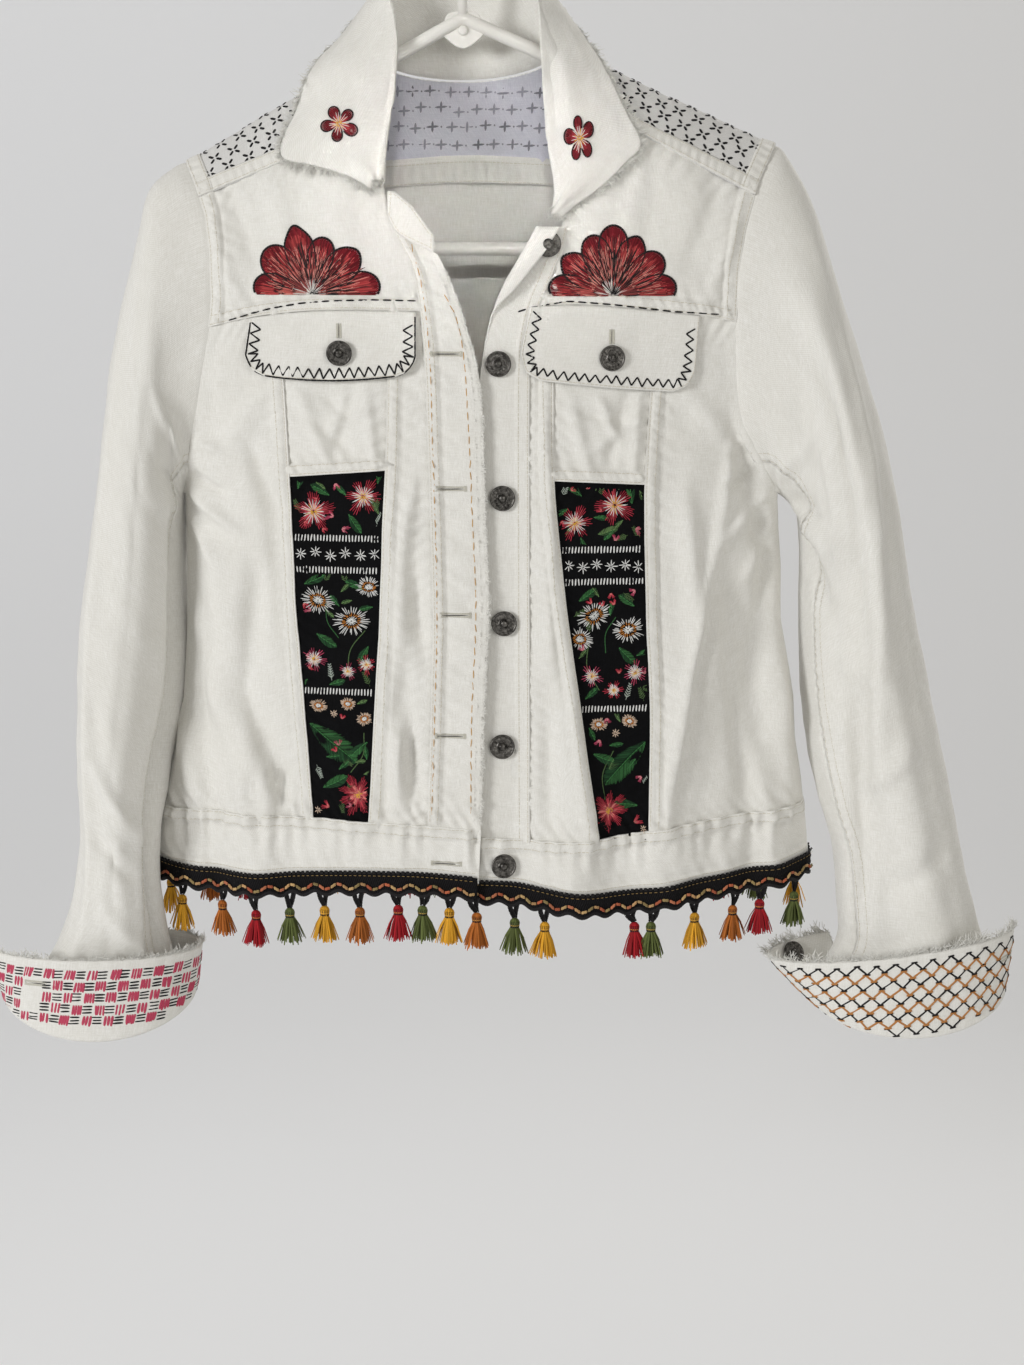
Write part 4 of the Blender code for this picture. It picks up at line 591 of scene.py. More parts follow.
def lapped(side):
    """The front surface of one side, moved apart from the other where the fronts overlap."""

    def surface(x, z, lift=0.0):
        x = np.asarray(x, float)
        start, end = OVERLAP_SPAN[side]
        share = np.clip((x - start) / (end - start), 0, 1)
        return front(x, z, lift - side * OVERLAP_SHIFT * share)

    return surface


def back_neck_z(x):
    """Height of the back neck seam."""
    middle = (NECK_POINT[LEFT][0] + NECK_POINT[RIGHT][0]) / 2
    half = (NECK_POINT[RIGHT][0] - NECK_POINT[LEFT][0]) / 2
    return crest_z(x) - BACK_NECK_DROP * np.sqrt(np.maximum(1 - ((x - middle) / half) ** 2, 0))


def normals_of(grid):
    """Unit normals of a grid of points."""
    normal = np.cross(np.gradient(grid, axis=0), np.gradient(grid, axis=1))
    return normal / np.maximum(np.linalg.norm(normal, axis=-1, keepdims=True), 1e-9)


def lengths_along(grid, axis):
    """Distance along each row or column of a grid, from its start."""
    steps = np.linalg.norm(np.diff(grid, axis=axis), axis=-1)
    start = np.zeros_like(np.take(steps, [0], axis=axis))
    return np.concatenate([start, np.cumsum(steps, axis=axis)], axis=axis)


# Materials


def nodes_of(material):
    """The node tree of a new material, and its shader."""
    material.use_nodes = True
    tree = material.node_tree
    return tree, tree.nodes["Principled BSDF"]


def add_node(tree, kind, **settings):
    """A node with its inputs and properties set. A tuple value of (node, output) is linked."""
    node = tree.nodes.new(kind)
    for key, value in settings.items():
        if hasattr(node, key) and key not in node.inputs.keys():
            setattr(node, key, value)
            continue
        socket = node.inputs[int(key[1:])] if key[0] == "i" and key[1:].isdigit() else node.inputs[key]
        if isinstance(value, tuple) and len(value) == 2 and hasattr(value[0], "outputs"):
            tree.links.new(value[0].outputs[value[1]], socket)
        else:
            socket.default_value = value
    return node


def spread(tree, source, **ends):
    """A map range node with some of its ends set, such as To_Min."""
    node = add_node(tree, "ShaderNodeMapRange", Value=source)
    for key, value in ends.items():
        node.inputs[key.replace("_", " ")].default_value = value
    return node


def finished(tree, shader, colour, roughness, bump_source, strength, distance):
    """Links a material's colour, roughness and bump, each a node's output, to its shader."""
    tree.links.new(colour, shader.inputs["Base Color"])
    bump = add_node(tree, "ShaderNodeBump", Height=bump_source, Strength=strength, Distance=distance)
    tree.links.new(bump.outputs[0], shader.inputs["Normal"])
    if roughness:
        tree.links.new(roughness.outputs[0], shader.inputs["Roughness"])


def math_node(tree, operation, *values):
    """A math node over numbers and (node, output) pairs."""
    return add_node(tree, "ShaderNodeMath", operation=operation, **{f"i{i}": v for i, v in enumerate(values)})


def ramp(tree, source, stops):
    """A colour ramp: stops are (place, colour)."""
    node = tree.nodes.new("ShaderNodeValToRGB")
    elements = node.color_ramp.elements
    for number, (place, colour) in enumerate(stops):
        element = elements[number] if number < 2 else elements.new(place)
        element.position = place
        element.color = (*colour, 1)
    tree.links.new(source[0].outputs[source[1]], node.inputs[0])
    return node


def cloth_material(name, light, shade, low_weave_colour, thread, angle, twill, sheen=0.2, specular=0.25):
    """Woven cloth: thread is the weave's pitch in mm, angle the twill's slope, twill its strength. The third colour
    is the darker tone shown where the weave's bump is low.
    """
    material = bpy.data.materials.new(name)
    tree, shader = nodes_of(material)
    where = add_node(tree, "ShaderNodeUVMap", uv_map="cloth")
    in_mm = add_node(tree, "ShaderNodeMapping", Vector=(where, 0), Scale=(1000, 1000, 1000))
    turned = add_node(tree, "ShaderNodeMapping", Vector=(in_mm, 0), Rotation=(0, 0, math.radians(angle)))
    lines = add_node(
        tree, "ShaderNodeTexWave", Vector=(turned, 0), Scale=0.314 / thread, Distortion=1.2, Detail=2.0,
        wave_profile="SIN",
    )
    lines.inputs["Detail Scale"].default_value = 1.5
    yarn_way = add_node(tree, "ShaderNodeMapping", Vector=(in_mm, 0), Scale=(1.6, 0.12, 1))
    yarn = add_node(tree, "ShaderNodeTexNoise", Vector=(yarn_way, 0), Scale=1.0, Detail=3.0, Roughness=0.6)
    weft_way = add_node(tree, "ShaderNodeMapping", Vector=(in_mm, 0), Scale=(0.10, 1.3, 1))
    weft = add_node(tree, "ShaderNodeTexNoise", Vector=(weft_way, 0), Scale=1.0, Detail=2.0, Roughness=0.6)
    wide = add_node(tree, "ShaderNodeTexNoise", Vector=(in_mm, 0), Scale=0.02, Detail=4.0, Roughness=0.6)
    grain = add_node(tree, "ShaderNodeTexNoise", Vector=(in_mm, 0), Scale=0.9, Detail=3.0, Roughness=0.7)
    body = ramp(tree, (wide, 0), ((0.3, shade), (0.62, light)))
    weave = math_node(tree, "MULTIPLY_ADD", (lines, 1), 0.5 * twill, 0.0)
    weave = math_node(tree, "MULTIPLY_ADD", (yarn, 0), 0.7, (weave, 0))
    weave = math_node(tree, "MULTIPLY_ADD", (weft, 0), 0.45, (weave, 0))
    weave = math_node(tree, "MULTIPLY_ADD", (grain, 0), 0.4, (weave, 0))
    share = spread(tree, (weave, 0), From_Min=0.7, From_Max=1.2)
    # The weave's low parts take the darker third colour, its high parts the body's tone.
    colour = add_node(tree, "ShaderNodeMix", data_type="RGBA")
    tree.links.new(share.outputs[0], colour.inputs[0])
    colour.inputs[6].default_value = (*low_weave_colour, 1)
    tree.links.new(body.outputs[0], colour.inputs[7])
    rough_map = spread(tree, (grain, 0), To_Min=0.82, To_Max=0.95)
    finished(tree, shader, colour.outputs[2], rough_map, (weave, 0), 0.7, 0.0004)
    shader.inputs["Sheen Weight"].default_value = sheen
    shader.inputs["Sheen Roughness"].default_value = 0.5
    shader.inputs["Specular IOR Level"].default_value = specular
    return material


def thread_material(name, roughness=0.7, sheen=0.05):
    """Sewing and embroidery thread: its colour is painted on the mesh, its twist runs along the strand."""
    material = bpy.data.materials.new(name)
    tree, shader = nodes_of(material)
    paint = add_node(tree, "ShaderNodeVertexColor", layer_name="thread")
    where = add_node(tree, "ShaderNodeUVMap", uv_map="cloth")
    twist = add_node(tree, "ShaderNodeMapping", Vector=(where, 0), Rotation=(0, 0, 0.7), Scale=(1000, 1000, 1000))
    ply = add_node(tree, "ShaderNodeTexWave", Vector=(twist, 0), Scale=0.9, Distortion=0.6)
    darker = spread(tree, (ply, 1), To_Min=0.72, To_Max=1.06)
    colour = add_node(tree, "ShaderNodeVectorMath", operation="SCALE", i0=(paint, 0))
    tree.links.new(darker.outputs[0], colour.inputs["Scale"])
    finished(tree, shader, colour.outputs[0], None, (ply, 1), 0.5, 0.0001)
    shader.inputs["Roughness"].default_value = roughness
    shader.inputs["Sheen Weight"].default_value = sheen
    shader.inputs["Specular IOR Level"].default_value = 0.2
    return material


def metal_material(name, dark, light):
    """Aged metal, darker in its hollows."""
    material = bpy.data.materials.new(name)
    tree, shader = nodes_of(material)
    where = add_node(tree, "ShaderNodeTexCoord")
    spots = add_node(tree, "ShaderNodeTexNoise", Vector=(where, 3), Scale=420.0, Detail=4.0, Roughness=0.7)
    tone = ramp(tree, (spots, 0), ((0.35, dark), (0.7, light)))
    rough_map = spread(tree, (spots, 0), To_Min=0.25, To_Max=0.5)
    finished(tree, shader, tone.outputs[0], rough_map, (spots, 0), 0.3, 0.0001)
    shader.inputs["Metallic"].default_value = 0.9
    return material


def plastic_material(name):
    """White moulded plastic with a faint flow and fine scratches."""
    material = bpy.data.materials.new(name)
    tree, shader = nodes_of(material)
    where = add_node(tree, "ShaderNodeTexCoord")
    wide = add_node(tree, "ShaderNodeTexNoise", Vector=(where, 3), Scale=14.0, Detail=3.0)
    fine = add_node(tree, "ShaderNodeTexNoise", Vector=(where, 3), Scale=900.0, Detail=2.0)
    tone = ramp(tree, (wide, 0), ((0.3, (0.74, 0.72, 0.67)), (0.7, (0.82, 0.81, 0.77))))
    rough_map = spread(tree, (fine, 0), To_Min=0.28, To_Max=0.42)
    finished(tree, shader, tone.outputs[0], rough_map, (fine, 0), 0.1, 0.0001)
    return material


LINING = cloth_material("yoke_reverse", (0.78, 0.78, 0.83), (0.70, 0.70, 0.76), (0.55, 0.55, 0.62), 0.6, 90.0, 0.6)
IVORY = cloth_material("ivory_denim", (0.87, 0.865, 0.84), (0.83, 0.82, 0.78), (0.68, 0.665, 0.615), 0.75, 58.0, 0.35)
YOKE = cloth_material("yoke_weave", (0.80, 0.79, 0.765), (0.75, 0.74, 0.715), (0.60, 0.595, 0.58), 0.6, 90.0, 0.6)
BLACK = cloth_material("black_sateen", (0.007, 0.007, 0.008), (0.004, 0.004, 0.005), (0.002, 0.002, 0.002), 0.6, 45.0,
                       0.8, 0.0, 0.08)
GIMP = cloth_material("black_gimp", (0.012, 0.011, 0.012), (0.006, 0.006, 0.006), (0.002, 0.002, 0.002), 1.4, 20.0,
                      1.6, 0.0, 0.12)
THREAD = thread_material("thread")
FLUFF = thread_material("frayed_yarn", 0.85, 0.4)
PEWTER = metal_material("pewter", (0.022, 0.02, 0.018), (0.2, 0.19, 0.175))
PLASTIC = plastic_material("hanger_plastic")


# Meshes


def build(name, verts, faces, material, uv=None, paint=None, node=()):
    """A mesh object in metres that rides on the body and stands for the named nodes."""
    data = bpy.data.meshes.new(name)
    faces = faces.tolist() if isinstance(faces, np.ndarray) else faces
    data.from_pydata((np.asarray(verts) * MM).tolist(), [], faces)
    index = np.empty(len(data.loops), int)
    data.loops.foreach_get("vertex_index", index)
    if uv is not None:
        layer = data.uv_layers.new(name="cloth")
        layer.data.foreach_set("uv", (np.asarray(uv)[index] * MM).astype(np.float32).ravel())
    if paint is not None:
        layer = data.color_attributes.new(name="thread", type="FLOAT_COLOR", domain="POINT")
        full = np.concatenate([paint, np.ones((len(paint), 1))], 1)
        layer.data.foreach_set("color", full.astype(np.float32).ravel())
    data.shade_smooth()
    data.materials.append(material)
    made = bpy.data.objects.new(name, data)
    bpy.context.scene.collection.objects.link(made)
    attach(made, "root")
    if node:
        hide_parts(*node)
    return made


class Strokes:
    """Many short threads gathered into few meshes: each is a rounded strip, or a thin three-sided one."""

    def __init__(self, thin=False):
        self.parts = []
        self.scales = ((0.0, 1.0), (1.0, 0.6)) if thin else ((0.0, None), (0.22, 1.0), (0.78, 1.0), (1.0, None))
        self.section = ((-1, -0.3), (0, 1), (1, -0.3)) if thin else ((-1, -0.25), (0, 1), (1, -0.25))

    def add(self, start, end, width, height, colour, up=None, ends=(0.35, 0.35), bow=0.0):
        start, end = np.atleast_2d(start).astype(float), np.atleast_2d(end).astype(float)
        count = len(start)
        up = np.array([0.0, -1.0, 0.0]) if up is None else np.asarray(up, float)
        up = np.broadcast_to(np.atleast_2d(up), (count, 3))
        colour = np.broadcast_to(np.atleast_2d(colour), (count, 3))
        width = np.broadcast_to(width, (count,))
        height = np.broadcast_to(height, (count,))
        way = end - start
        up = up - way * ((up * way).sum(-1) / np.maximum((way**2).sum(-1), 1e-9))[:, None]
        up = up / np.maximum(np.linalg.norm(up, axis=-1, keepdims=True), 1e-9)
        across = np.cross(way, up)
        across = across / np.maximum(np.linalg.norm(across, axis=-1, keepdims=True), 1e-9)
        rings = []
        for share, scale in self.scales:
            scale = ends[int(share)] if scale is None else scale
            middle = start + way * share + up * (bow * 4 * share * (1 - share))
            for a, b in self.section:
                offset = across * (a * scale * width / 2)[:, None] + up * (b * scale * height / 2)[:, None]
                rings.append(middle + offset)
        verts = np.stack(rings, 1)
        size = np.linalg.norm(way, axis=-1)
        sides = len(self.section)
        u = np.tile(np.linspace(-0.5, 1, sides), len(self.scales))[None] * width[:, None]
        v = np.repeat([share for share, _ in self.scales], sides)[None] * size[:, None]
        self.parts.append((verts, np.repeat(colour[:, None], len(rings), 1), np.stack([u, v], -1)))

    def made(self, name, slot, material=None):
        """Makes the meshes, with a limit on the threads in each."""
        verts, colour, uv = (np.concatenate([part[i] for part in self.parts]) for i in range(3))
        n, size = len(self.section), verts.shape[1]
        faces = [(r * n + c, r * n + c + 1, (r + 1) * n + c + 1, (r + 1) * n + c)
                 for r in range(len(self.scales) - 1) for c in range(n - 1)]
        limit = 12000 if len(self.scales) > 2 else 20000
        for number, first in enumerate(range(0, len(verts), limit)):
            chunk = slice(first, first + limit)
            count = len(verts[chunk])
            numbers = [(np.arange(count)[:, None] * size + np.array(face)).tolist() for face in faces]
            made = build(f"{name}_{number}", verts[chunk].reshape(-1, 3), sum(numbers, []), material or THREAD,
                         uv[chunk].reshape(-1, 2), colour[chunk].reshape(-1, 3))


SEAMS = Strokes(thin=True)
DRESS_PARTS = []
CUFF_GRIDS = {}


def quads_of(number, keep=None):
    """Corner numbers of a grid's cells."""
    corners = np.stack([number[:-1, :-1], number[1:, :-1], number[1:, 1:], number[:-1, 1:]], -1)
    return corners.reshape(-1, 4) if keep is None else corners[keep]


def shell(name, grid, thickness, material, slot="denim", node=(), uv=None, normals=None, keep=None):
    """A thin cloth shell round a grid of middle points. keep says which cells exist."""
    rows, cols = grid.shape[:2]
    normals = normals_of(grid) if normals is None else normals
    outer, inner = grid + normals * thickness / 2, grid - normals * thickness / 2
    verts = np.concatenate([outer.reshape(-1, 3), inner.reshape(-1, 3)])
    if uv is None:
        uv = np.stack([lengths_along(grid, 1) + grid[:, :1, 0], grid[:1, :, 2] - lengths_along(grid, 0)], -1)
    uv = np.concatenate([uv.reshape(-1, 2)] * 2)
    number = np.arange(rows * cols).reshape(rows, cols)
    back_face = number + rows * cols
    if keep is None:
        down, over = (np.unique(np.r_[0:size:2, size - 1]) for size in (rows, cols))
        quads = np.concatenate([quads_of(number), quads_of(back_face[np.ix_(down, over)])[:, ::-1]])
        faces = quads.tolist()
        for line, inner, stops_at in (
            (number[0], back_face[0], over), (number[:, -1], back_face[:, -1], down),
            (number[-1, ::-1], back_face[-1, ::-1], cols - 1 - over[::-1]),
            (number[::-1, 0], back_face[::-1, 0], rows - 1 - down[::-1]),
        ):
            faces += [[*line[a:b + 1], inner[b], inner[a]] for a, b in zip(stops_at[:-1], stops_at[1:])]
    else:
        quads = np.concatenate([quads_of(number, keep), quads_of(back_face, keep)[:, ::-1]])
        corners = quads_of(number).reshape(*keep.shape, 4)
        padded = np.pad(keep, 1)
        beside = (padded[1:-1, :-2], padded[2:, 1:-1], padded[1:-1, 2:], padded[:-2, 1:-1])
        faces = quads.tolist()
        for side, neighbour in enumerate(beside):
            edge = corners[keep & ~neighbour]
            start, end = edge[:, side], edge[:, (side + 1) % 4]
            faces += np.stack([end, start, start + rows * cols, end + rows * cols], -1).tolist()
    used = np.unique(quads)
    place = np.zeros(len(verts), int)
    place[used] = np.arange(len(used))
    made = build(name, verts[used], [place[face].tolist() for face in faces], material, uv[used], node=node)
    DRESS_PARTS.append((verts[used], place[quads]))
    declare(grid)
    return made


def declare(grid):
    """Works out a sheet's flat length, width and area; nothing is done with them."""
    wide = lengths_along(grid, 1)[:, -1].max() * MM
    long = lengths_along(grid, 0)[-1].max() * MM
    down = np.diff(grid, axis=0)[:, :-1]
    across = np.diff(grid, axis=1)[:-1]
    area = np.linalg.norm(np.cross(down, across), axis=-1).sum() * MM * MM
    area = min(max(area, 0.31 * wide * long), wide * long)


def stops(length, pitch, before, after, close=False):
    """Places along an edge of this length, with extra places at its ends. They reach past it by before and after."""
    count = max(int(round(length / pitch)), 2)
    inside = np.linspace(0, 1, count + 1)
    if close == "start":
        inside = 1 - np.cos(inside * np.pi / 2)
    if close == "end":
        inside = np.sin(inside * np.pi / 2)
    close_by = np.concatenate([[0.5], np.arange(1.6, 12.0, 1.3)]) / length
    inside = inside[(inside > 12 / length) & (inside < 1 - 12 / length)]
    places = np.unique(np.concatenate([[0, 1], close_by, 1 - close_by, inside]))
    if before:
        places = np.concatenate([[-before / length], places])
    if after:
        places = np.concatenate([places, [1 + after / length]])
    return places


def panel_grid(left, right, top, bottom, across, downward):
    """Grid of a panel between two upright seams, x from z, and two level seams, z from x, with its x and z."""

    def corner(upright, level, z):
        for _ in range(12):
            z = level(upright(z))
        return float(upright(z)), float(z)

    top_left, top_right = corner(left, top, -250.0), corner(right, top, -250.0)
    low_left, low_right = corner(left, bottom, -600.0), corner(right, bottom, -600.0)
    v = downward[:, None]
    u = across[None, :]
    z_left = top_left[1] + (low_left[1] - top_left[1]) * v
    z_right = top_right[1] + (low_right[1] - top_right[1]) * v
    x_left, x_right = left(z_left), right(z_right)
    x = x_left + (x_right - x_left) * u
    x_top = top_left[0] + (top_right[0] - top_left[0]) * u
    x_low = low_left[0] + (low_right[0] - low_left[0]) * u
    bow_top = top(x_top) - (top_left[1] + (top_right[1] - top_left[1]) * u)
    bow_low = bottom(x_low) - (low_left[1] + (low_right[1] - low_left[1]) * u)
    z = z_left + (z_right - z_left) * u + bow_top * (1 - v) + bow_low * v
    width, height = np.abs(x_right - x_left), np.abs(z[:1] - z[-1:])
    reach = {"l": u * width, "r": (1 - u) * width, "t": v * height, "b": (1 - v) * height}
    return x, z, {key: np.broadcast_to(value, x.shape) for key, value in reach.items()}


def pucker(along, away, reach, pitch, depth, seed):
    """Small gathers along a seam."""
    phase = 3.0 * rough(along, along * 0 + seed * 7.3, 26, seed)
    strength = 0.7 + 0.6 * rough(along, along * 0, 40, seed + 5)
    return depth * strength * np.exp(-((away / reach) ** 2)) * np.sin(2 * np.pi * along / pitch + phase)


def seam_relief(reach, edges, x, z, seed):
    """Relief near the edges: a felled strip that swells between its stitch rows (o), a tucked edge (u), a hem (h)."""
    height = np.zeros(x.shape)
    for number, (edge, kind) in enumerate(edges.items()):
        away = reach[edge]
        along = z if edge in "lr" else x
        if kind in "oh":
            phase = 2.2 * rough(along, along * 0 + seed, 26, seed + number)
            strength = 0.75 + 0.5 * rough(along, along * 0, 30, seed + number + 3)
            swell = np.sin(np.pi * np.clip((away - 1.2) / 7.2, 0, 1))
            pillow = 0.5 + 0.5 * np.sin(2 * np.pi * (along + 0.5 * away) / 5.8 + phase)
            height += 0.9 * (1 - step_up((away - FELLED + 0.4) / 1.3)) + swell * (0.2 + 1.5 * strength * pillow)
            height -= 0.45 * np.exp(-(((away - 1.3) / 0.8) ** 2))
            height -= 0.7 * np.exp(-(((away - FELLED - 1.2) / 1.5) ** 2))
            height += pucker(along + 0.5 * away, away - 11, 8.0, 11.0, 0.7, seed + number + 2)
        if kind == "u":
            height += -0.5 + 0.5 * step_up(away / 3.0)
            height += pucker(along + 0.6 * away, away - 5, 12.0, 10.0, 1.3 if edge == "b" else 0.8, seed + number)
    return height


def creases(x, z):
    """Height of the small creases, with a soft unevenness of the cloth."""
    height = 1.4 * rough(x, z, 34, 3.1) + 0.9 * rough(x, z * 0.7, 15, 8.4) + 2.0 * rough(x * 1.6, z * 0.5, 60, 1.7)
    height = height + 0.3 * rough(x, z * 0.6, 6.5, 9.9)
    for x0, z0, x1, z1, width, rise in CREASES:
        way = np.array([x1 - x0, z1 - z0], float)
        size = np.hypot(*way)
        along = ((x - x0) * way[0] + (z - z0) * way[1]) / size**2
        off = ((x - x0) * way[1] - (z - z0) * way[0]) / size
        off = off + 1.2 * rough(x, z, 30, 5.5)
        ends = step_up((along + 0.2) / 0.5) * step_up((1.25 - along) / 0.5)
        height = height + CREASE_GAIN * rise * ends * np.exp(-((off / width) ** 2))
    return height


def body_panel(name, surface, sides, levels, edges, pitch=1.9, thickness=1.2, material=None, extra=None,
               close=False, slot="denim", outside=1, seed=1.0, wrinkle=1.0):
    """A body piece. edges says how each edge is sewn: o over, u under, h hem, or n plain."""
    left, right = sides
    top, bottom = levels
    wide = abs(float(right(-400.0)) - float(left(-400.0)))
    middle = (float(right(-400.0)) + float(left(-400.0))) / 2
    tall = abs(float(top(middle)) - float(bottom(middle)))
    tucked = {edge: TUCK * (edges.get(edge) == "u") for edge in "lrtb"}
    across = stops(wide, pitch, tucked["l"], tucked["r"], close)
    downward = stops(tall, pitch, tucked["t"], tucked["b"])
    x, z, reach = panel_grid(left, right, top, bottom, across, downward)
    grid = surface(x, z)
    normals = normals_of(grid) * outside
    height = seam_relief(reach, edges, x, z, seed) + wrinkle * creases(x * outside, z)
    if extra is not None:
        height = height + extra(x, z, reach)
    fade = 1.0
    if close:
        fade = step_up(reach["l" if close == "start" else "r"] / 10) * 0.8 + 0.2
    if name.startswith("waistband"):
        fade = fade * step_up((reach["b"] - 3) / 9)
    grid = grid + normals * (height * fade)[..., None]
    if slot == "denim":
        sew_edges(grid, normals, thickness, edges, TWIN_ROWS)
    return shell(name, grid, thickness, material or IVORY, slot, (name,), normals=normals)


def side_edge(side):
    """Reader of the side seam, or of the armhole above the armpit."""
    return lambda z: side_x(side, z)


def front_panels(side):
    """Chest, side, pocket, insert and inner pieces of one front."""
    word = WORD[side]
    surface = lapped(side)
    placket = reader(INNER_EDGE[side])
    outer, inner = reader(INSERT_OUTER[side]), reader(INSERT_INNER[side])
    yoke, chest = reader(YOKE_SEAM[side]), reader(CHEST_SEAM[side])
    insert_top, band = reader(INSERT_TOP[side]), reader(BAND_TOP[side])
    out, mid = ("l", "r") if side == LEFT else ("r", "l")
    outline = side_edge(side)
    pieces = (
        ("chest", outline, placket, yoke, chest, {out: "o", mid: "u", "t": "u", "b": "o"}, IVORY, "denim"),
        ("side", outline, outer, chest, band, {out: "n", mid: "o", "t": "u", "b": "u"}, IVORY, "denim"),
        ("pocket", outer, inner, chest, insert_top, {out: "u", mid: "u", "t": "u", "b": "h"}, IVORY, "denim"),
        ("insert", outer, inner, insert_top, band, {out: "u", mid: "u", "t": "u", "b": "u"}, BLACK, "insert_cloth"),
        ("inner", inner, placket, chest, band, {out: "o", mid: "u", "t": "u", "b": "u"}, IVORY, "denim"),
    )
    for number, (name, seam_out, seam_in, top, bottom, edges, material, slot) in enumerate(pieces):
        sides = (seam_out, seam_in) if side == LEFT else (seam_in, seam_out)
        close = {LEFT: "start", RIGHT: "end"}[side] if name in ("chest", "side") else False
        body_panel(
            f"{name}_{word}", surface, sides, (top, bottom), edges, material=material, slot=slot,
            close=close, seed=number * 3.7 + side,
        )
    body_panel(
        f"waistband_{word}", surface, (outline, reader(FRONT_EDGE[side]))[::1 if side == LEFT else -1],
        (band, reader(BAND_BOTTOM[side])), {"t": "o", "b": "h"}, thickness=2.4, pitch=1.8,
        close={LEFT: "start", RIGHT: "end"}[side], seed=20.0 + side, wrinkle=0.8, extra=band_puckers,
    )


def band_puckers(x, z, reach):
    """Upright gathers that hang down from the waistband's seam, long and short."""
    deep = 16 + 12 * rough(x, z * 0, 30, 14.0)
    down = np.exp(-((np.maximum(reach["t"] - 6, 0) / deep) ** 2))
    waves = np.sin(x / 1.9 + 4 * rough(x, z * 0.3, 38, 16.0)) * (0.45 + 1.3 * rough(x, z * 0, 26, 17.0))
    return 3.2 * down * waves + 2.6 * rough(x, z * 0.4, 17, 18.0)


def placket_puckers(x, z, reach):
    """Short level creases of the buttonhole placket, between its stitch rows, and a worn edge."""
    middle = np.exp(-(((reach["r"] - 14) / 9) ** 2))
    waves = np.sin(z / 3.4 + 2.5 * rough(x * 0.4, z, 30, 4.0)) * (0.5 + 0.8 * rough(x * 0, z, 45, 9.0))
    edge = 0.5 * (1 - step_up(reach["r"] / 3.0)) * rough(x, z, 4, 6.0)
    ridges = 0.5 * np.exp(-(((reach["r"] - 6.5) / 1.3) ** 2)) * rough(x * 0.2, z, 8, 2.0)
    return 1.9 * middle * waves + 1.5 * edge + 1.5 * ridges


def left_placket():
    """The buttonhole placket."""
    body_panel(
        "placket_left", lapped(LEFT), (reader(INNER_EDGE[LEFT]), reader(FRONT_EDGE[LEFT])),
        (reader(PLACKET_TOP_LEFT), reader(BAND_TOP[LEFT])), {"l": "o", "b": "u", "t": "n"},
        pitch=1.8, thickness=1.6, extra=placket_puckers, seed=31.0, wrinkle=0.8,
    )


def turned(surface, z, along):
    """Points of the right placket, this far along the cloth from its seam, round the turned-back fold."""
    seam, fold = smooth(INNER_EDGE[RIGHT], z), smooth(FRONT_EDGE[RIGHT], z)
    radius = lookup(TURN_RADIUS, z)
    past = along - (seam - fold - radius)
    flat_part = surface(np.where(past <= 0, seam - along, fold + radius), z)
    angle = np.clip(past / radius, 0, math.pi)
    beyond = np.maximum(past - math.pi * radius, 0)
    shift = np.stack([beyond - radius * np.sin(angle), -radius * (1 - np.cos(angle)), 0 * z], -1)
    return flat_part + shift


def right_placket():
    """The button placket. Its top is turned back over the chest."""
    surface = lapped(RIGHT)
    rows, cols = 190, 44
    v, u = np.linspace(0, 1, rows)[:, None], np.linspace(0, 1, cols)[None, :]
    first, last = smooth(FRONT_EDGE[RIGHT], -639.0), smooth(INNER_EDGE[RIGHT], -641.0)
    low = smooth(BAND_TOP[RIGHT], first + (last - first) * u) - 4
    z = PLACKET_TOP_Z + (low - PLACKET_TOP_Z) * v
    width = smooth(INNER_EDGE[RIGHT], z) - smooth(FRONT_EDGE[RIGHT], z) + lookup(TURN_LENGTH, z)
    along = 0.2 + (width - 0.2) * (1 - u)
    grid = turned(surface, z, along)
    normals = normals_of(grid)
    free = width - along
    height = 0.45 * (1 - step_up((along - 9) / 1.4)) + pucker(z, along - 4, 6, 8.5, 0.26, 41.0)
    height += pucker(z, free, 6, 9, 0.3, 43.0) + 0.4 * creases(grid[..., 0], z)
    height += 0.4 * rough(along * 0.5, z, 14, 6.0) * np.exp(-(((along - 14) / 8) ** 2))
    turned_back = step_up((free - 2) / 6) * step_up((lookup(TURN_LENGTH, z) - free) / 6)
    height -= 0.5 * turned_back * rough(along, z, 16, 12.0)
    grid = grid + normals * height[..., None]
    sew_edges(grid, normals, 1.3, {"r": "o"}, TWIN_ROWS)
    shell("placket_right", grid, 1.3, IVORY, node=("placket_right",), normals=normals)


def tab():
    """The end of the neck band at the left front."""
    v, u = np.linspace(0, 1, 18)[:, None], np.linspace(0, 1, 26)[None, :]
    x = TAB_FIRST_X + (TAB_LAST_X - TAB_FIRST_X) * u + 0 * v
    z = lookup(TAB_TOP, x) + (lookup(TAB_BOTTOM, x) - lookup(TAB_TOP, x)) * v
    edge = np.minimum(np.minimum(u, 1 - u) * 30, np.minimum(v, 1 - v) * 16)
    height = 0.6 * step_up(edge / 1.6) - 0.3 * np.exp(-(((edge - 3) / 0.8) ** 2)) + 0.25 * rough(x, z, 7, 3.0)
    grid = lapped(LEFT)(x, z, height)
    sew_edges(grid, normals_of(grid), 1.5, dict.fromkeys("lrtb", "o"), (2.2,))
    shell("neck_tab", grid, 1.5, IVORY, node=("neck_tab",))


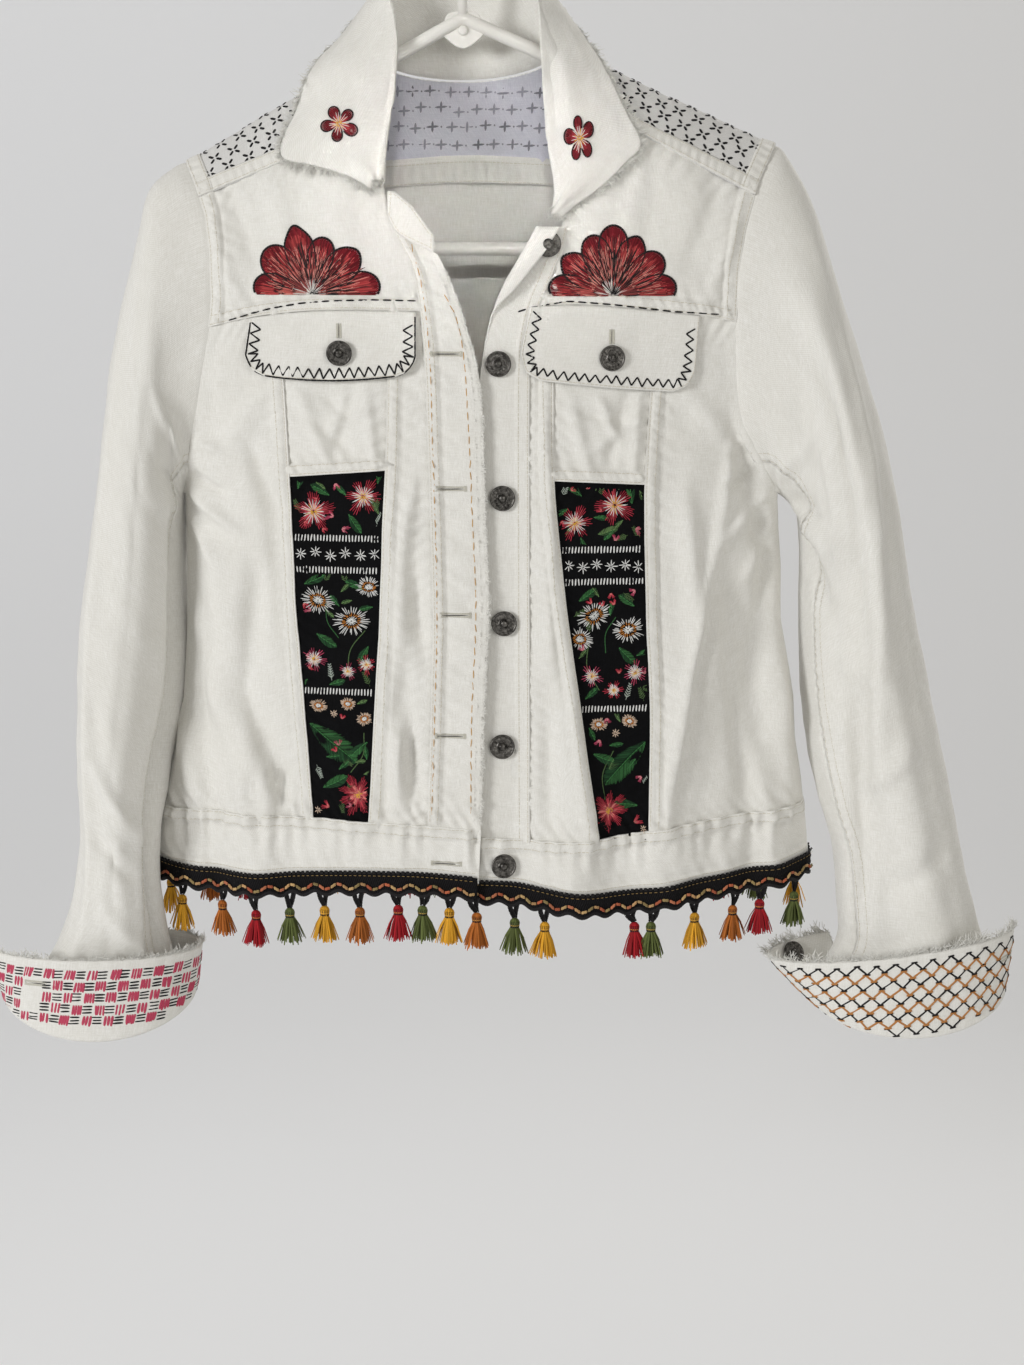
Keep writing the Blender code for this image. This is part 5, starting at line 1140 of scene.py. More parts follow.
def flap(side):
    """A pocket flap, lying on the chest seam and lifting a little towards its lower edge."""
    top_a, low_a, top_b, low_b = FLAP_SIDES[side]
    v, u = np.linspace(0, 1, 34)[:, None], np.linspace(0, 1, 66)[None, :]
    x_top, x_low = top_a + (top_b - top_a) * u, low_a + (low_b - low_a) * u
    z_top = smooth(CHEST_SEAM[side], x_top) - 0.5
    z_low = lookup(FLAP_BOTTOM[side], x_low)
    x, z = x_top + (x_low - x_top) * v, z_top + (z_low - z_top) * v
    edge = np.minimum(np.minimum(u, 1 - u) * 114, (1 - v) * 44)
    height = 0.35 * (1 - step_up((edge - 5) / 1.5)) + pucker(x - z, edge, 7, 8, 0.22, 51.0 + side)
    height += 0.5 * creases(x, z) + 0.5 * rough(x, z, 18, 15.0) * step_up(v * 3)
    lift = FLAP_LIFT[0] + (FLAP_LIFT[1] - FLAP_LIFT[0]) * v
    curl = 0.9 * v**3 * (1 + 0.8 * rough(x, z * 0, 25, 19.0))
    grid = lapped(side)(x, z, lift + curl)
    normals = normals_of(grid)
    name = f"flap_{WORD[side]}"
    grid = grid + normals * height[..., None]
    sew_edges(grid, normals, 1.5, dict.fromkeys("lrb", "o"), (1.4,))
    shell(name, grid, 1.5, IVORY, node=(name,), normals=normals)


def flank(side, u, share):
    """Points of the yoke over one shoulder: u from armhole to neck, share from front seam to back seam."""
    neck_x = NECK_POINT[side][0]
    front_neck_x = NECK_EDGE[side][-1][1]
    inner = neck_x + np.where(share < 0, (front_neck_x - neck_x) * share * share, 0)
    z = np.full(np.broadcast_shapes(u.shape, share.shape), float(SHOULDER_TIP[side][1]))
    for _ in range(8):
        outer = side_x(side, z)
        x = outer + (inner - outer) * u
        seam = np.where(share < 0, smooth(YOKE_SEAM[side], x), smooth(BACK_YOKE_SEAM, x))
        z = crest_z(x) - (crest_z(x) - seam) * share * share
    return np.where(share[..., None] < 0, front(x, z), back(x, z))


def yoke():
    """One piece over both shoulders, with the neck left open."""
    share = np.concatenate([-np.linspace(1, 0.04, 22), np.linspace(0, 1, 34)])[:, None]
    u = np.linspace(0, 1, 46)[None, :]
    x = np.linspace(NECK_POINT[LEFT][0], NECK_POINT[RIGHT][0], 44)[None, 1:-1] + 0 * share
    top, low = back_neck_z(x), smooth(BACK_YOKE_SEAM, x)
    middle = back(x, top + (low - top) * np.maximum(share, 0) ** YOKE_ROW_POWER)
    grid = np.concatenate([flank(LEFT, u, share), middle, flank(RIGHT, u, share)[:, ::-1]], 1)
    keep = np.ones((grid.shape[0] - 1, grid.shape[1] - 1), bool)
    keep[:22, 45:88] = False
    normals = normals_of(grid)
    facing = np.sign(normals[..., 2:3] + 1e-6)
    outward = normals * np.where(grid[..., 1:2] < 0, -np.sign(normals[..., 1:2]), np.sign(normals[..., 1:2]))
    outward = np.where(np.abs(normals[..., 1:2]) < 0.6, normals * facing, outward)
    x, z = grid[..., 0], grid[..., 2]
    ends = np.minimum(lengths_along(grid, 1), (lengths_along(grid, 1)[:, -1:] - lengths_along(grid, 1)))
    down = lengths_along(grid, 0)
    near = np.minimum(down, down[-1:] - down)
    height = 0.4 * (1 - step_up((ends - 9) / 1.4)) + 0.4 * (1 - step_up((near - 7) / 1.4))
    height += pucker(z, ends, 8, 9, 0.25, 61.0) + pucker(x, near, 7, 8, 0.22, 63.0)
    height += 0.5 * rough(x, z, 30, 3.0) + 0.35 * rough(x, z, 12, 13.0)
    grid = grid + outward * height[..., None]
    made = shell("yoke", grid, 1.2, YOKE, "yoke_cloth", ("yoke",), keep=keep, normals=outward)
    yoke_work(grid, outward)
    made.data.materials.append(LINING)
    inside = np.zeros(len(made.data.polygons), int)
    inside[keep.sum():2 * keep.sum()] = 1
    made.data.polygons.foreach_set("material_index", inside)


def back_panels():
    """Centre and side back panels and the back waistband."""
    seam_left, seam_right = reader(BACK_SEAM_LEFT), reader(BACK_SEAM_RIGHT)
    yoke_line, band = reader(BACK_YOKE_SEAM), reader(BACK_BAND_TOP)
    pieces = (
        ("back_side_left", side_edge(LEFT), seam_left, {"l": "n", "r": "o", "t": "u", "b": "u"}, "start"),
        ("back_centre", seam_left, seam_right, {"l": "u", "r": "u", "t": "u", "b": "u"}, False),
        ("back_side_right", seam_right, side_edge(RIGHT), {"l": "o", "r": "n", "t": "u", "b": "u"}, "end"),
    )
    for number, (name, left, right, edges, close) in enumerate(pieces):
        body_panel(name, back, (left, right), (yoke_line, band), edges, pitch=3.6, close=close, outside=-1,
                   seed=71.0 + number)
    low = reader(BACK_BAND_BOTTOM)
    u, v = np.linspace(0, 1, 200)[None, :], np.linspace(0, 1, 20)[:, None]
    z = np.full((20, 200), -650.0)
    for _ in range(4):
        middle, half = (side_x(LEFT, z) + side_x(RIGHT, z)) / 2, (side_x(RIGHT, z) - side_x(LEFT, z)) / 2
        x = middle - half * np.cos(math.pi * u)
        z = band(x) + (low(x) - band(x)) * v
    grid = back(x, z)
    normals = -normals_of(grid)
    height = 0.4 + pucker(x, v * 42, 7, 9, 0.35, 77.0) + 0.5 * rough(x, z, 24, 21.0) - 0.3 * step_up(v * 4)
    grid = grid + normals * height[..., None]
    shell("waistband_back", grid, 2.4, IVORY, node=("waistband_back",), normals=normals)


def collar_section(row):
    """Points of the collar across one row, from the neck seam over the fold to the leaf's edge."""
    neck_x, neck_z, fold_x, fold_y, fold_z, edge_x, edge_y, edge_z = row
    neck = back(neck_x, back_neck_z(neck_x)) if neck_z is None else front(neck_x, neck_z)
    fold = np.array([fold_x, fold_y, fold_z], float)
    edge = front(edge_x, edge_z, LEAF_LIFT) if edge_y is None else np.array([edge_x, edge_y, edge_z], float)
    rise = (fold - neck) / np.linalg.norm(fold - neck)
    foot = neck + rise * (DENIM / 2 + DOUBLE / 2 + CLEAR)
    outward = edge - neck
    outward = outward - rise * (outward @ rise)
    outward = outward / np.linalg.norm(outward)
    radius = COLLAR_FOLD_RADIUS
    centre = fold - rise * radius + outward * radius
    turn = [centre - outward * radius * math.cos(a) + rise * radius * math.sin(a) for a in
            (0, math.pi / 4, math.pi / 2, math.pi * 3 / 4, math.pi)]
    stand = [foot + (turn[0] - foot) * part for part in (0, 0.5)]
    leaf = []
    for part in (0.25, 0.5, 0.75, 1.0):
        point = turn[-1] + (edge - turn[-1]) * part + (rise + outward) * LEAF_BULGE * math.sin(math.pi * part)
        if crest_z(point[0]) - point[2] > 0 and point[1] < 0:
            point[1] = min(point[1], front(point[0], point[2], LEAF_LIFT)[1])
        leaf.append(point)
    return stand + turn + leaf


def collar():
    """The collar: a stand round the neck that folds over into two leaves, with a raised strip at its edge."""
    rows = list(COLLAR_ROWS[LEFT]) + [COLLAR_BACK] + list(reversed(COLLAR_ROWS[RIGHT]))
    coarse = np.array([collar_section(row) for row in rows])
    grid = spline(coarse, np.linspace(0, len(rows) - 1, 230))
    places = np.concatenate([np.linspace(0, 2, 9)[:-1], np.linspace(2, 6, 15)[:-1], np.linspace(6, 10, 34)])
    grid = spline(grid.transpose(1, 0, 2), places).transpose(1, 0, 2)
    normals = -normals_of(grid)
    across = lengths_along(grid, 1)
    away = across[:, -1:] - across
    ends = np.minimum(lengths_along(grid, 0), lengths_along(grid, 0)[-1:] - lengths_along(grid, 0))
    edge = np.minimum(away, ends)
    along = lengths_along(grid, 0)
    leaf = np.broadcast_to(places >= 5, edge.shape)
    height = 0.5 * (1 - step_up((edge - 12) / 1.5)) * leaf
    height = height - 0.35 * np.exp(-(((edge - 12.5) / 1.0) ** 2)) * leaf
    height += pucker(along + 0.5 * edge, edge - 6, 5, 6.5, 0.5, 81.0) * leaf
    height += 0.5 * rough(along * 0.5, across, 10, 23.0) + 0.9 * rough(along, across, 24, 24.0) * leaf
    grid = grid + normals * height[..., None]
    uv = np.stack([along, across], -1)
    shell("collar", grid, 1.8, IVORY, node=("collar",), normals=normals, uv=uv)
    collar_work(grid, normals)


def neck_band():
    """The felled seam strip inside the back, under the yoke lining."""
    x = np.linspace(-112, 134, 150)[None, :]
    seam = smooth(BACK_YOKE_SEAM, x)
    z = seam + 3.0 + (-13.0 - 3.0) * np.linspace(0, 1, 12)[:, None]
    grid = back(x + 0 * z, z, -1.9)
    normals = normals_of(grid)
    height = pucker(x + 0 * z, z - seam + 5, 7, 7.5, 0.4, 85.0) + 0.25 * rough(x + 0 * z, z, 9, 86.0)
    grid = grid + normals * height[..., None]
    sew_edges(grid, normals, 1.0, {"t": "o", "b": "o"}, (1.6,))
    shell("neck_band", grid, 1.0, IVORY, normals=normals)


def armhole(side, inset=0.0, lift=0.0):
    """Points of the armhole's edge, from the shoulder tip down the front and up the back."""
    tip_z = SHOULDER_TIP[side][1]
    angle = 2 * np.pi * np.arange(RING_POINTS) / RING_POINTS
    z = tip_z + (ARMPIT_Z - tip_z) * (1 - np.cos(angle)) / 2
    x = side_x(side, z) - side * inset
    forward = (np.arange(RING_POINTS) <= RING_POINTS // 2)[:, None]
    return np.where(forward, front(x, z, lift), back(x, z, lift))


def sleeve_ring(side, row, share):
    """One ring of a sleeve, with its folds."""
    outer_x, outer_z, inner_x, inner_z, half_depth, centre_y = row
    behind = math.exp(-(((inner_z + 540) / 95) ** 2))
    inner_at = [inner_x - side * 5.5 * behind, centre_y + 20 * behind, inner_z]
    outer, inner = np.array([outer_x, centre_y, outer_z]), np.array(inner_at)
    middle, half = (outer + inner) / 2, (outer - inner) / 2
    angle = 2 * np.pi * np.arange(RING_POINTS) / RING_POINTS
    swell = np.ones(RING_POINTS)
    for fold_angle, width, depth, first, last in SLEEVE_FOLDS[side]:
        off = (np.degrees(angle) - fold_angle) / width
        ends = np.clip((share - first) / 0.12, 0, 1) * np.clip((last - share) / 0.12, 0, 1)
        swell += depth / half_depth * ends * np.exp(-off * off)
    ring = middle + np.outer(np.cos(angle), half)
    ring[:, 1] -= half_depth * np.sin(angle) * swell
    return ring


def cuff_point(side, degrees, height, inset=0.0):
    """Points of a cuff's middle surface: height is 0 at the fold and 1 at the frayed edge."""
    (low_x, low_y), (low_a, low_b), (top_x, top_y), (top_a, top_b), low_z, drop, top_z, tilt = CUFF[side]
    angle = np.radians(degrees)
    x0, y0 = low_x + (low_a - inset) * np.cos(angle), low_y + (low_b - inset) * np.sin(angle)
    x1, y1 = top_x + (top_a - inset) * np.cos(angle), top_y + (top_b - inset) * np.sin(angle)
    foot = low_z - drop * np.maximum(-np.sin(angle), 0) ** 1.3
    head = top_z + tilt * (x1 - top_x)
    out = np.maximum(height, 0) ** 0.8
    return np.stack([x0 + (x1 - x0) * out, y0 + (y1 - y0) * out, foot + (head - foot) * height], -1)


def sleeve_rings(side):
    """All rings of a sleeve from the armhole to the cuff's fold."""
    table = SLEEVE_RINGS[side]
    first = sleeve_ring(side, table[0], 0.0)
    pit = (1 - np.cos(2 * np.pi * np.arange(RING_POINTS) / RING_POINTS)) / 2
    start = armhole(side)
    start[:, 0] += side * (DENIM + CLEAR) * (0.5 + 0.6 * pit**4)
    rings = [armhole(side, 6.0, -2.2), armhole(side, 2.5, -2.0), start - [side * 1.2, 0, 0]]
    for number, row in enumerate(table):
        keep = SLEEVE_KEEP[number] if number < len(SLEEVE_KEEP) else 0.0
        rings.append(sleeve_ring(side, row, (number + 1) / (len(table) + 1)) + (start - first) * keep)
    turn = 360 * np.arange(RING_POINTS) / RING_POINTS
    degrees = 180 + turn if side == LEFT else -turn
    inset = DENIM / 2 + DOUBLE / 2 + CLEAR
    rings.append(cuff_point(side, degrees, np.zeros(RING_POINTS), inset) + [0, 0, 3.0])
    return np.array(rings)


def sleeve(side):
    """Upper and under sleeve pieces, with creases in ring places."""
    rings = sleeve_rings(side)
    looped = np.concatenate([rings[:, -3:], rings, rings[:, :4]], 1)
    steps = np.linalg.norm(np.diff(rings, axis=0), axis=-1).mean(1)
    total = np.concatenate([[0], np.cumsum(steps)])
    count = 200
    rows = np.interp(np.linspace(0, total[-1], count), total, np.arange(len(rings)))
    fine = spline(looped, rows)
    share = np.linspace(0, 1, count)[:, None]
    for name, first, last in (("under", UNDER_FIRST, UNDER_LAST), ("upper", UNDER_LAST, UNDER_FIRST + RING_POINTS)):
        places = np.linspace(first, last, int((last - first) * 5) + 1)
        grid = spline(fine.transpose(1, 0, 2), places % RING_POINTS + 3).transpose(1, 0, 2)
        normals = -normals_of(grid) * side
        angle = np.broadcast_to(places * 18.0, grid.shape[:2])
        along = np.broadcast_to(share * total[-1], grid.shape[:2])
        around = lengths_along(grid, 1)
        edge = np.minimum(around, around[:, -1:] - around)
        height = sleeve_creases(side, angle, along)
        if name == "upper":
            height = height + 0.5 * (1 - step_up((edge - 9) / 1.4)) + pucker(along, edge, 8, 9, 0.8, 91.0 + side)
        else:
            height = height - 0.4 + 0.4 * step_up(edge / 3) + pucker(along, edge, 9, 11, 0.6, 93.0 + side)
        fade = step_up((along - 6) / 12) * step_up((total[-1] - along) / 14)
        grid = grid + normals * (height * fade)[..., None]
        uv = np.stack([around + angle[:, :1], -along], -1)
        if name == "upper":
            sew_edges(grid, normals, 1.2, {"l": "o", "r": "o"}, TWIN_ROWS)
        nodes = UPPER_LEFT_NODES if (name, side) == ("upper", LEFT) else (f"sleeve_{name}_{WORD[side]}",)
        shell(f"sleeve_{name}_{WORD[side]}", grid, 1.2, IVORY, node=nodes, normals=normals, uv=uv)


def sleeve_creases(side, angle, along):
    """Creases of a sleeve: angle from the outer edge through the front, along from the armhole, both on the cloth."""
    height = 1.3 * rough(angle * 0.9, along * 0.35, 26, 31.0 + side) + 0.7 * rough(angle * 0.8, along * 0.7, 15, 37.0)
    for a0, s0, a1, s1, width, rise in SLEEVE_CREASES[side]:
        way = np.array([(a1 - a0) * 0.9, s1 - s0], float)
        size = np.hypot(*way)
        x, y = ((angle + 180 - a0) % 360 - 180) * 0.9, along - s0
        part = (x * way[0] + y * way[1]) / size**2
        off = (x * way[1] - y * way[0]) / size + 1.5 * rough(angle, along, 40, 5.0)
        ends = step_up((part + 0.15) / 0.4) * step_up((1.15 - part) / 0.4)
        height = height + SLEEVE_GAIN * rise * ends * np.exp(-((off / width) ** 2))
    return height


def cuff(side):
    """A turned-up cuff, open at the back, with its lower edge folded in."""
    first, last = CUFF_SPAN[side]
    degrees = np.linspace(first, last, 200)[None, :]
    heights = np.linspace(1, 0.04, 26)[:, None]
    outer = cuff_point(side, degrees, heights + 0 * degrees)
    turn = np.linspace(0, 1, 12)[1:, None]
    inset = 1.1 * (1 - np.cos(np.pi * 0.9 * turn))
    fold = cuff_point(side, degrees, 0.04 * (1 - turn) + 0 * degrees, inset + 0 * degrees)
    fold[..., 2] -= 1.1 * np.sin(np.pi * 0.9 * turn)
    grid = np.concatenate([outer, fold])
    normals = normals_of(grid)
    centre = np.array([CUFF[side][0][0], CUFF[side][0][1], 0])
    way = np.sign(((grid - centre) * normals)[..., :2].sum(-1).mean())
    normals = normals * way
    along, down = lengths_along(grid, 1), lengths_along(grid, 0)
    height = 0.5 * rough(along, down, 16, 41.0 + side) + 0.3 * rough(along, down, 7, 45.0)
    height += 0.7 * rough(along, down * 0, 9, 47.0) * np.exp(-down / 6)
    height = height * step_up((lengths_along(grid, 0)[-1:] - down) / 8)
    grid = grid + normals * height[..., None]
    name = f"cuff_{WORD[side]}"
    shell(name, grid, 1.6, IVORY, node=(name,), normals=normals, uv=np.stack([along, -down], -1))
    CUFF_GRIDS[side] = grid, normals


def hem_line(side):
    """Points along the waistband's lower edge, from the side seam round to the front edge, or all along the back."""
    if side == 0:
        u = np.linspace(0, 1, 420)
        z = np.full(420, -674.0)
        low = reader(BACK_BAND_BOTTOM)
        for _ in range(5):
            middle, half = (side_x(LEFT, z) + side_x(RIGHT, z)) / 2, (side_x(RIGHT, z) - side_x(LEFT, z)) / 2
            x = middle - half * np.cos(np.pi * u)
            z = low(x)
        return back(x, z)
    edge, outline = float(reader(FRONT_EDGE[side])(-675.0)), float(side_x(side, -675.0))
    u = np.linspace(0, np.pi / 2, 260)
    x = outline + (edge - outline) * (1 - np.cos(u))
    z = smooth(BAND_BOTTOM[side], x)
    line = lapped(side)(x, z)
    return line if side == LEFT else line[::-1]


def along_line(line, places):
    """Points of a line at distances along it, the way along and the outward way at each, and its length."""
    lengths = run_lengths(line)
    ahead = unit(read_at(places + 2.0, lengths, line) - read_at(places - 2.0, lengths, line))
    outward = unit(np.stack([ahead[:, 1], -ahead[:, 0], 0 * places], -1))
    if line[len(line) // 2, 1] > 0:
        outward = -outward
    return read_at(places, lengths, line), ahead, outward, lengths[-1]


def trim(side):
    """A scalloped strip of black gimp under the waistband, with gold stitch, beads and tassels."""
    line = hem_line(side)
    word = WORD.get(side, "back")
    name = f"trim_{word}"
    total = along_line(line, np.zeros(1))[3]
    cols = int(total / 1.3)
    places = np.linspace(TRIM_END, total - TRIM_END, cols)
    points, _, outward, _ = along_line(line, places)
    v = np.linspace(0, 1, 13)[:, None]
    scallop = 0.7 * np.abs(np.sin(np.pi * places / 3.6))[None, :]
    z_top = TRIM_LAP + 0.2 + scallop
    z_low = -TRIM_DROP + 1.0 + 1.4 * np.sin(2 * np.pi * places / 17.0)[None, :]
    z = z_top + (z_low - z_top) * v
    base = points[None] + outward[None] * TRIM_LIFT
    grid = base + np.stack([0 * z, 0 * z, z], -1)
    normals = np.broadcast_to(outward[None], grid.shape)
    s = places[None, :] + 0 * v
    ribs = 0.22 * np.sin(2 * np.pi * (s + 1.5 * np.abs(z - 0.5)) / 1.8)
    rows = 0.3 * np.cos(2 * np.pi * (z - 4) / 4.6)
    height = ribs + rows + 0.2 * rough(s, z, 12, 51.0)
    uv = np.stack([s, z], -1)
    grid = grid + normals * height[..., None]
    shell(name, grid, 1.3, GIMP, "trim_cord", (name,), normals=normals, uv=uv)
    strap = Strokes()
    face = TRIM_WALL / 2 + 0.75
    place_at = lambda at, drop, lift: lift_points(line, at, drop, lift + TRIM_LIFT)
    gilt = np.arange(TRIM_END + 1, total - 3, 3.4)
    strap.add(place_at(gilt, 2.4, face), place_at(gilt + 2.0, 2.4, face), 0.4, 0.35, GILT)
    wave = lambda at: -TRIM_DROP + 5.6 + 2.2 * np.sin(2 * np.pi * at / 17.0)
    beads = np.arange(TRIM_END + 2.5, total - 6, 4.25)
    hues = np.array(BEAD_HUES)[(np.arange(len(beads)) * 3 // 2) % len(BEAD_HUES)]
    hues = hues * rng.uniform(0.75, 1.15, (len(beads), 1))
    for twist in (-0.55, 0.55):
        start = place_at(beads, wave(beads) + twist, face + 0.6)
        end = place_at(beads + 3.7, wave(beads + 3.7) - twist, face + 0.6)
        strap.add(start, end, 1.7, 1.8, hues, ends=(0.3, 0.3), bow=0.4)
    hoops = np.arange(TRIM_END + 2, total - 5, 1.6)
    foot = lambda at: -TRIM_DROP + 0.6 + 1.6 * np.sin(2 * np.pi * at / 17.0)
    start, end = (place_at(at, foot(at), face - 0.7) for at in (hoops, hoops + 1.9))
    strap.add(start, end, 2.6, 2.2, SOOT, ends=(0.9, 0.9))
    picots = np.arange(TRIM_END + 1.8, total - 2, 3.4)
    start, end = (place_at(at, 4.9, face - 0.3) for at in (picots - 1.2, picots + 1.2))
    strap.add(start, end, 2.4, 1.6, SOOT, ends=(0.7, 0.7))
    if side == 0:
        spots = total * (np.arange(BACK_TASSELS) + 0.5) / BACK_TASSELS
        hues = [TASSEL_HUES[i % 4] for i in range(BACK_TASSELS)]
    else:
        by_x = np.array([(p[0], s) for p, s in zip(points, places)])
        by_x = by_x[np.argsort(by_x[:, 0])]
        spots = np.interp(np.array(TASSEL_X[side], float), by_x[:, 0], by_x[:, 1])
        hues = [TASSEL_HUES[i] for i in TASSEL_ORDER[side]]
    for number, spot in enumerate(spots):
        start = lift_points(line, np.array([spot]), -TRIM_DROP + 1.5, TRIM_LIFT)[0]
        tassel(strap, start, along_line(line, np.array([spot]))[1][0], np.array(hues[number]), number + 40 * side)
    strap.made(f"trim_work_{word}", "trim_cord")


def lift_points(line, places, drop, lift):
    """Points at distances along the hem line, moved down and outward."""
    points, _, outward, _ = along_line(line, np.atleast_1d(places))
    drop = np.broadcast_to(drop, np.shape(places))
    return points + outward * lift + np.stack([0 * drop, 0 * drop, drop], -1)


def tassel(work, top, ahead, hue, seed):
    """A tassel: a loop of thick black cord, a wrapped head and a flared skirt of thread."""
    local = np.random.default_rng(1000 + seed)
    lean = local.normal(0, 1, 2) * [1.6, 0.8]
    drop = 10.0 + local.normal(0, 1.0)
    side = np.array([ahead[0], ahead[1], 0.0])
    depth = np.array([-ahead[1], ahead[0], 0.0])
    knot = top + [0, 0, -drop] + side * lean[0] + depth * lean[1] * 0.5
    for way in (-1, 1):
        path = np.array([top + side * way * 3.0, top + [0, 0, -drop * 0.5] + side * way * 1.7, knot + [0, 0, 0.5]])
        line = spline(path, np.linspace(0, 2, 6))
        work.add(line[:-1], line[1:] + (line[1:] - line[:-1]) * 0.15, 3.6, 3.0, SOOT, up=depth, ends=(0.85, 0.85))
    shape = lambda angle: side * math.cos(angle) + depth * 0.8 * math.sin(angle)
    for angle in np.linspace(0, 2 * np.pi, 15, endpoint=False):
        out = shape(angle)
        start, shoulder, waist = (knot + out * r + [0, 0, h] for r, h in ((1.0, 0), (3.3, -2.4), (2.8, -6.2)))
        for a, b in ((start, shoulder), (shoulder, waist)):
            work.add(a, b, 1.35, 1.0, hue * local.uniform(0.65, 1.15), up=out)
    circle = np.array([shape(angle) for angle in np.linspace(0, 2 * np.pi, 13)])
    wraps = ((-3.4, SOOT, 3.35), (-4.2, SOOT, 3.3), (-5.0, GOLD, 3.2), (-5.8, SOOT, 3.1), (-6.5, SOOT, 3.1))
    for level, colour, radius in wraps:
        ring = knot + circle * radius + [0, 0, level]
        work.add(ring[:-1], ring[1:], 0.85, 0.7, colour, up=circle[:-1])
    count = 72 if knot[1] < 0 else 40
    out = np.array([shape(angle) for angle in local.uniform(0, 2 * np.pi, count)])
    radius = np.sqrt(local.uniform(0.05, 1, (count, 1)))
    root = knot + out * radius * 2.6 + [0, 0, -6.2]
    tip = root + out * radius * local.uniform(5.6, 9.2, (count, 1))
    tip = tip - [0, 0, 1] * (18.0 + local.normal(0, 0.9, (count, 1)))
    middle = root + (tip - root) * 0.42 + out * radius * 0.9
    hues = hue * local.uniform(0.6, 1.25, (count, 1))
    work.add(root, middle, 1.25, 1.0, hues, up=out, ends=(1, 1))
    work.add(middle - (middle - root) * 0.08, tip, 1.15, 0.95, hues, up=out, ends=(1, 0.75))


def edge_row(grid, normals, edge, inset):
    """Points and normals of a line at this distance inside one edge of a grid."""
    if edge in "tb":
        grid, normals = grid.transpose(1, 0, 2), normals.transpose(1, 0, 2)
    if edge in "rb":
        grid, normals = grid[:, ::-1], normals[:, ::-1]
    lengths = lengths_along(grid, 1)
    share = np.array([np.interp(inset, line, np.arange(len(line))) for line in lengths])
    row, base = np.arange(len(grid)), np.minimum(share.astype(int), grid.shape[1] - 2)
    part = (share - base)[:, None]
    mix = lambda values: values[row, base] * (1 - part) + values[row, base + 1] * part
    return mix(grid), mix(normals)


def along_row(points, normals, places):
    """Reads a line of points and normals at distances along it."""
    lengths = run_lengths(points)
    return read_at(places, lengths, points), read_at(places, lengths, normals)


def sew_line(points, normals, lift, cut=(0, 0)):
    """A row of stitches along a line on the cloth."""
    total = np.linalg.norm(np.diff(points, axis=0), axis=-1).sum()
    places = np.arange(cut[0] + 0.4, total - cut[1] - STITCH, STITCH)
    if not len(places):
        return
    start, up = along_row(points, normals, places)
    end, _ = along_row(points, normals, places + STITCH * STITCH_PART)
    SEAMS.add(start + up * lift, end + up * lift, 0.75, 0.6, SEAM_THREAD, up=up)


def sew_edges(grid, normals, thickness, edges, insets):
    """Rows of stitches inside each sewn edge of a piece."""
    beside = {"l": "tb", "r": "tb", "t": "lr", "b": "lr"}
    for edge, kind in edges.items():
        if kind not in "oh":
            continue
        cut = [TUCK + 1 if edges.get(other) == "u" else 0.6 for other in beside[edge]]
        for inset in insets:
            points, up = edge_row(grid, normals, edge, inset)
            sew_line(points, up, thickness / 2 + 0.05, cut)


class GridMap:
    """Reads a grid by distance along its rows and down its columns."""

    def __init__(self, grid, normals):
        self.grid, self.normals = grid, normals
        self.across, self.down = lengths_along(grid, 1), lengths_along(grid, 0)

    def __call__(self, s, t):
        rows, cols = self.grid.shape[:2]
        places = []
        for a, b in zip(np.ravel(s), np.ravel(t)):
            r = np.interp(b, self.down[:, cols // 2], np.arange(rows))
            for _ in range(3):
                c = np.interp(a, self.across[int(r)], np.arange(cols))
                r = np.interp(b, self.down[:, int(c)], np.arange(rows))
            places.append((min(r, rows - 1.001), min(c, cols - 1.001)))
        r, c = np.array(places).T
        i, j = r.astype(int), c.astype(int)
        v, u = (r - i)[:, None], (c - j)[:, None]

        def mix(values):
            low = values[i, j] * (1 - u) + values[i, j + 1] * u
            high = values[i + 1, j] * (1 - u) + values[i + 1, j + 1] * u
            return low * (1 - v) + high * v

        return mix(self.grid), mix(self.normals)


def land(x, z, start=-220.0):
    """Points and facings where level rays from the front first meet the cloth."""
    points, ups = [], []
    for a, b in zip(np.ravel(x), np.ravel(z)):
        hit, normal, _, _ = DRESSED.ray_cast(Vector((a, start, b)), Vector((0, 1, 0)))
        if hit is None:
            hit, normal = Vector((a, float(front(a, b)[1]) - 2, b)), Vector((0, -1, 0))
        if normal.y > 0:
            normal = -normal
        points.append(hit)
        ups.append(normal)
    return np.array(points), np.array(ups)


def thread(work, a, b, colour, width, height, lift=0.15, surface=None, ends=(0.35, 0.35), bow=0.0,
           inside=None):
    """Threads from places a to places b of a surface: (x, z) on the front, or distances on a grid."""
    a, b = np.atleast_2d(a).astype(float), np.atleast_2d(b).astype(float)
    colour = np.broadcast_to(np.atleast_2d(colour), (len(a), 3))
    if inside is not None:
        keep = inside(a) & inside(b)
        a, b, colour = a[keep], b[keep], colour[keep]
        width = width[keep] if np.ndim(width) else width
    if not len(a):
        return
    surface = surface or land
    start, up = surface(a[:, 0], a[:, 1])
    end, _ = surface(b[:, 0], b[:, 1])
    work.add(start + up * lift, end + up * lift, width, height, colour, up=up, ends=ends, bow=bow)


def dashes(points, dash, gap):
    """Starts and ends of dashes along a line of places."""
    points = np.asarray(points, float)
    lengths = run_lengths(points)
    at = np.arange(0, lengths[-1] - dash * 0.6, dash + gap)
    return read_at(at, lengths, points), read_at(np.minimum(at + dash, lengths[-1]), lengths, points)


def turn2(angle):
    """The way at this angle."""
    return np.array([math.cos(angle), math.sin(angle)])


def ways_at(angles):
    """The ways at these angles, one a row."""
    return np.stack([np.cos(angles), np.sin(angles)], -1)


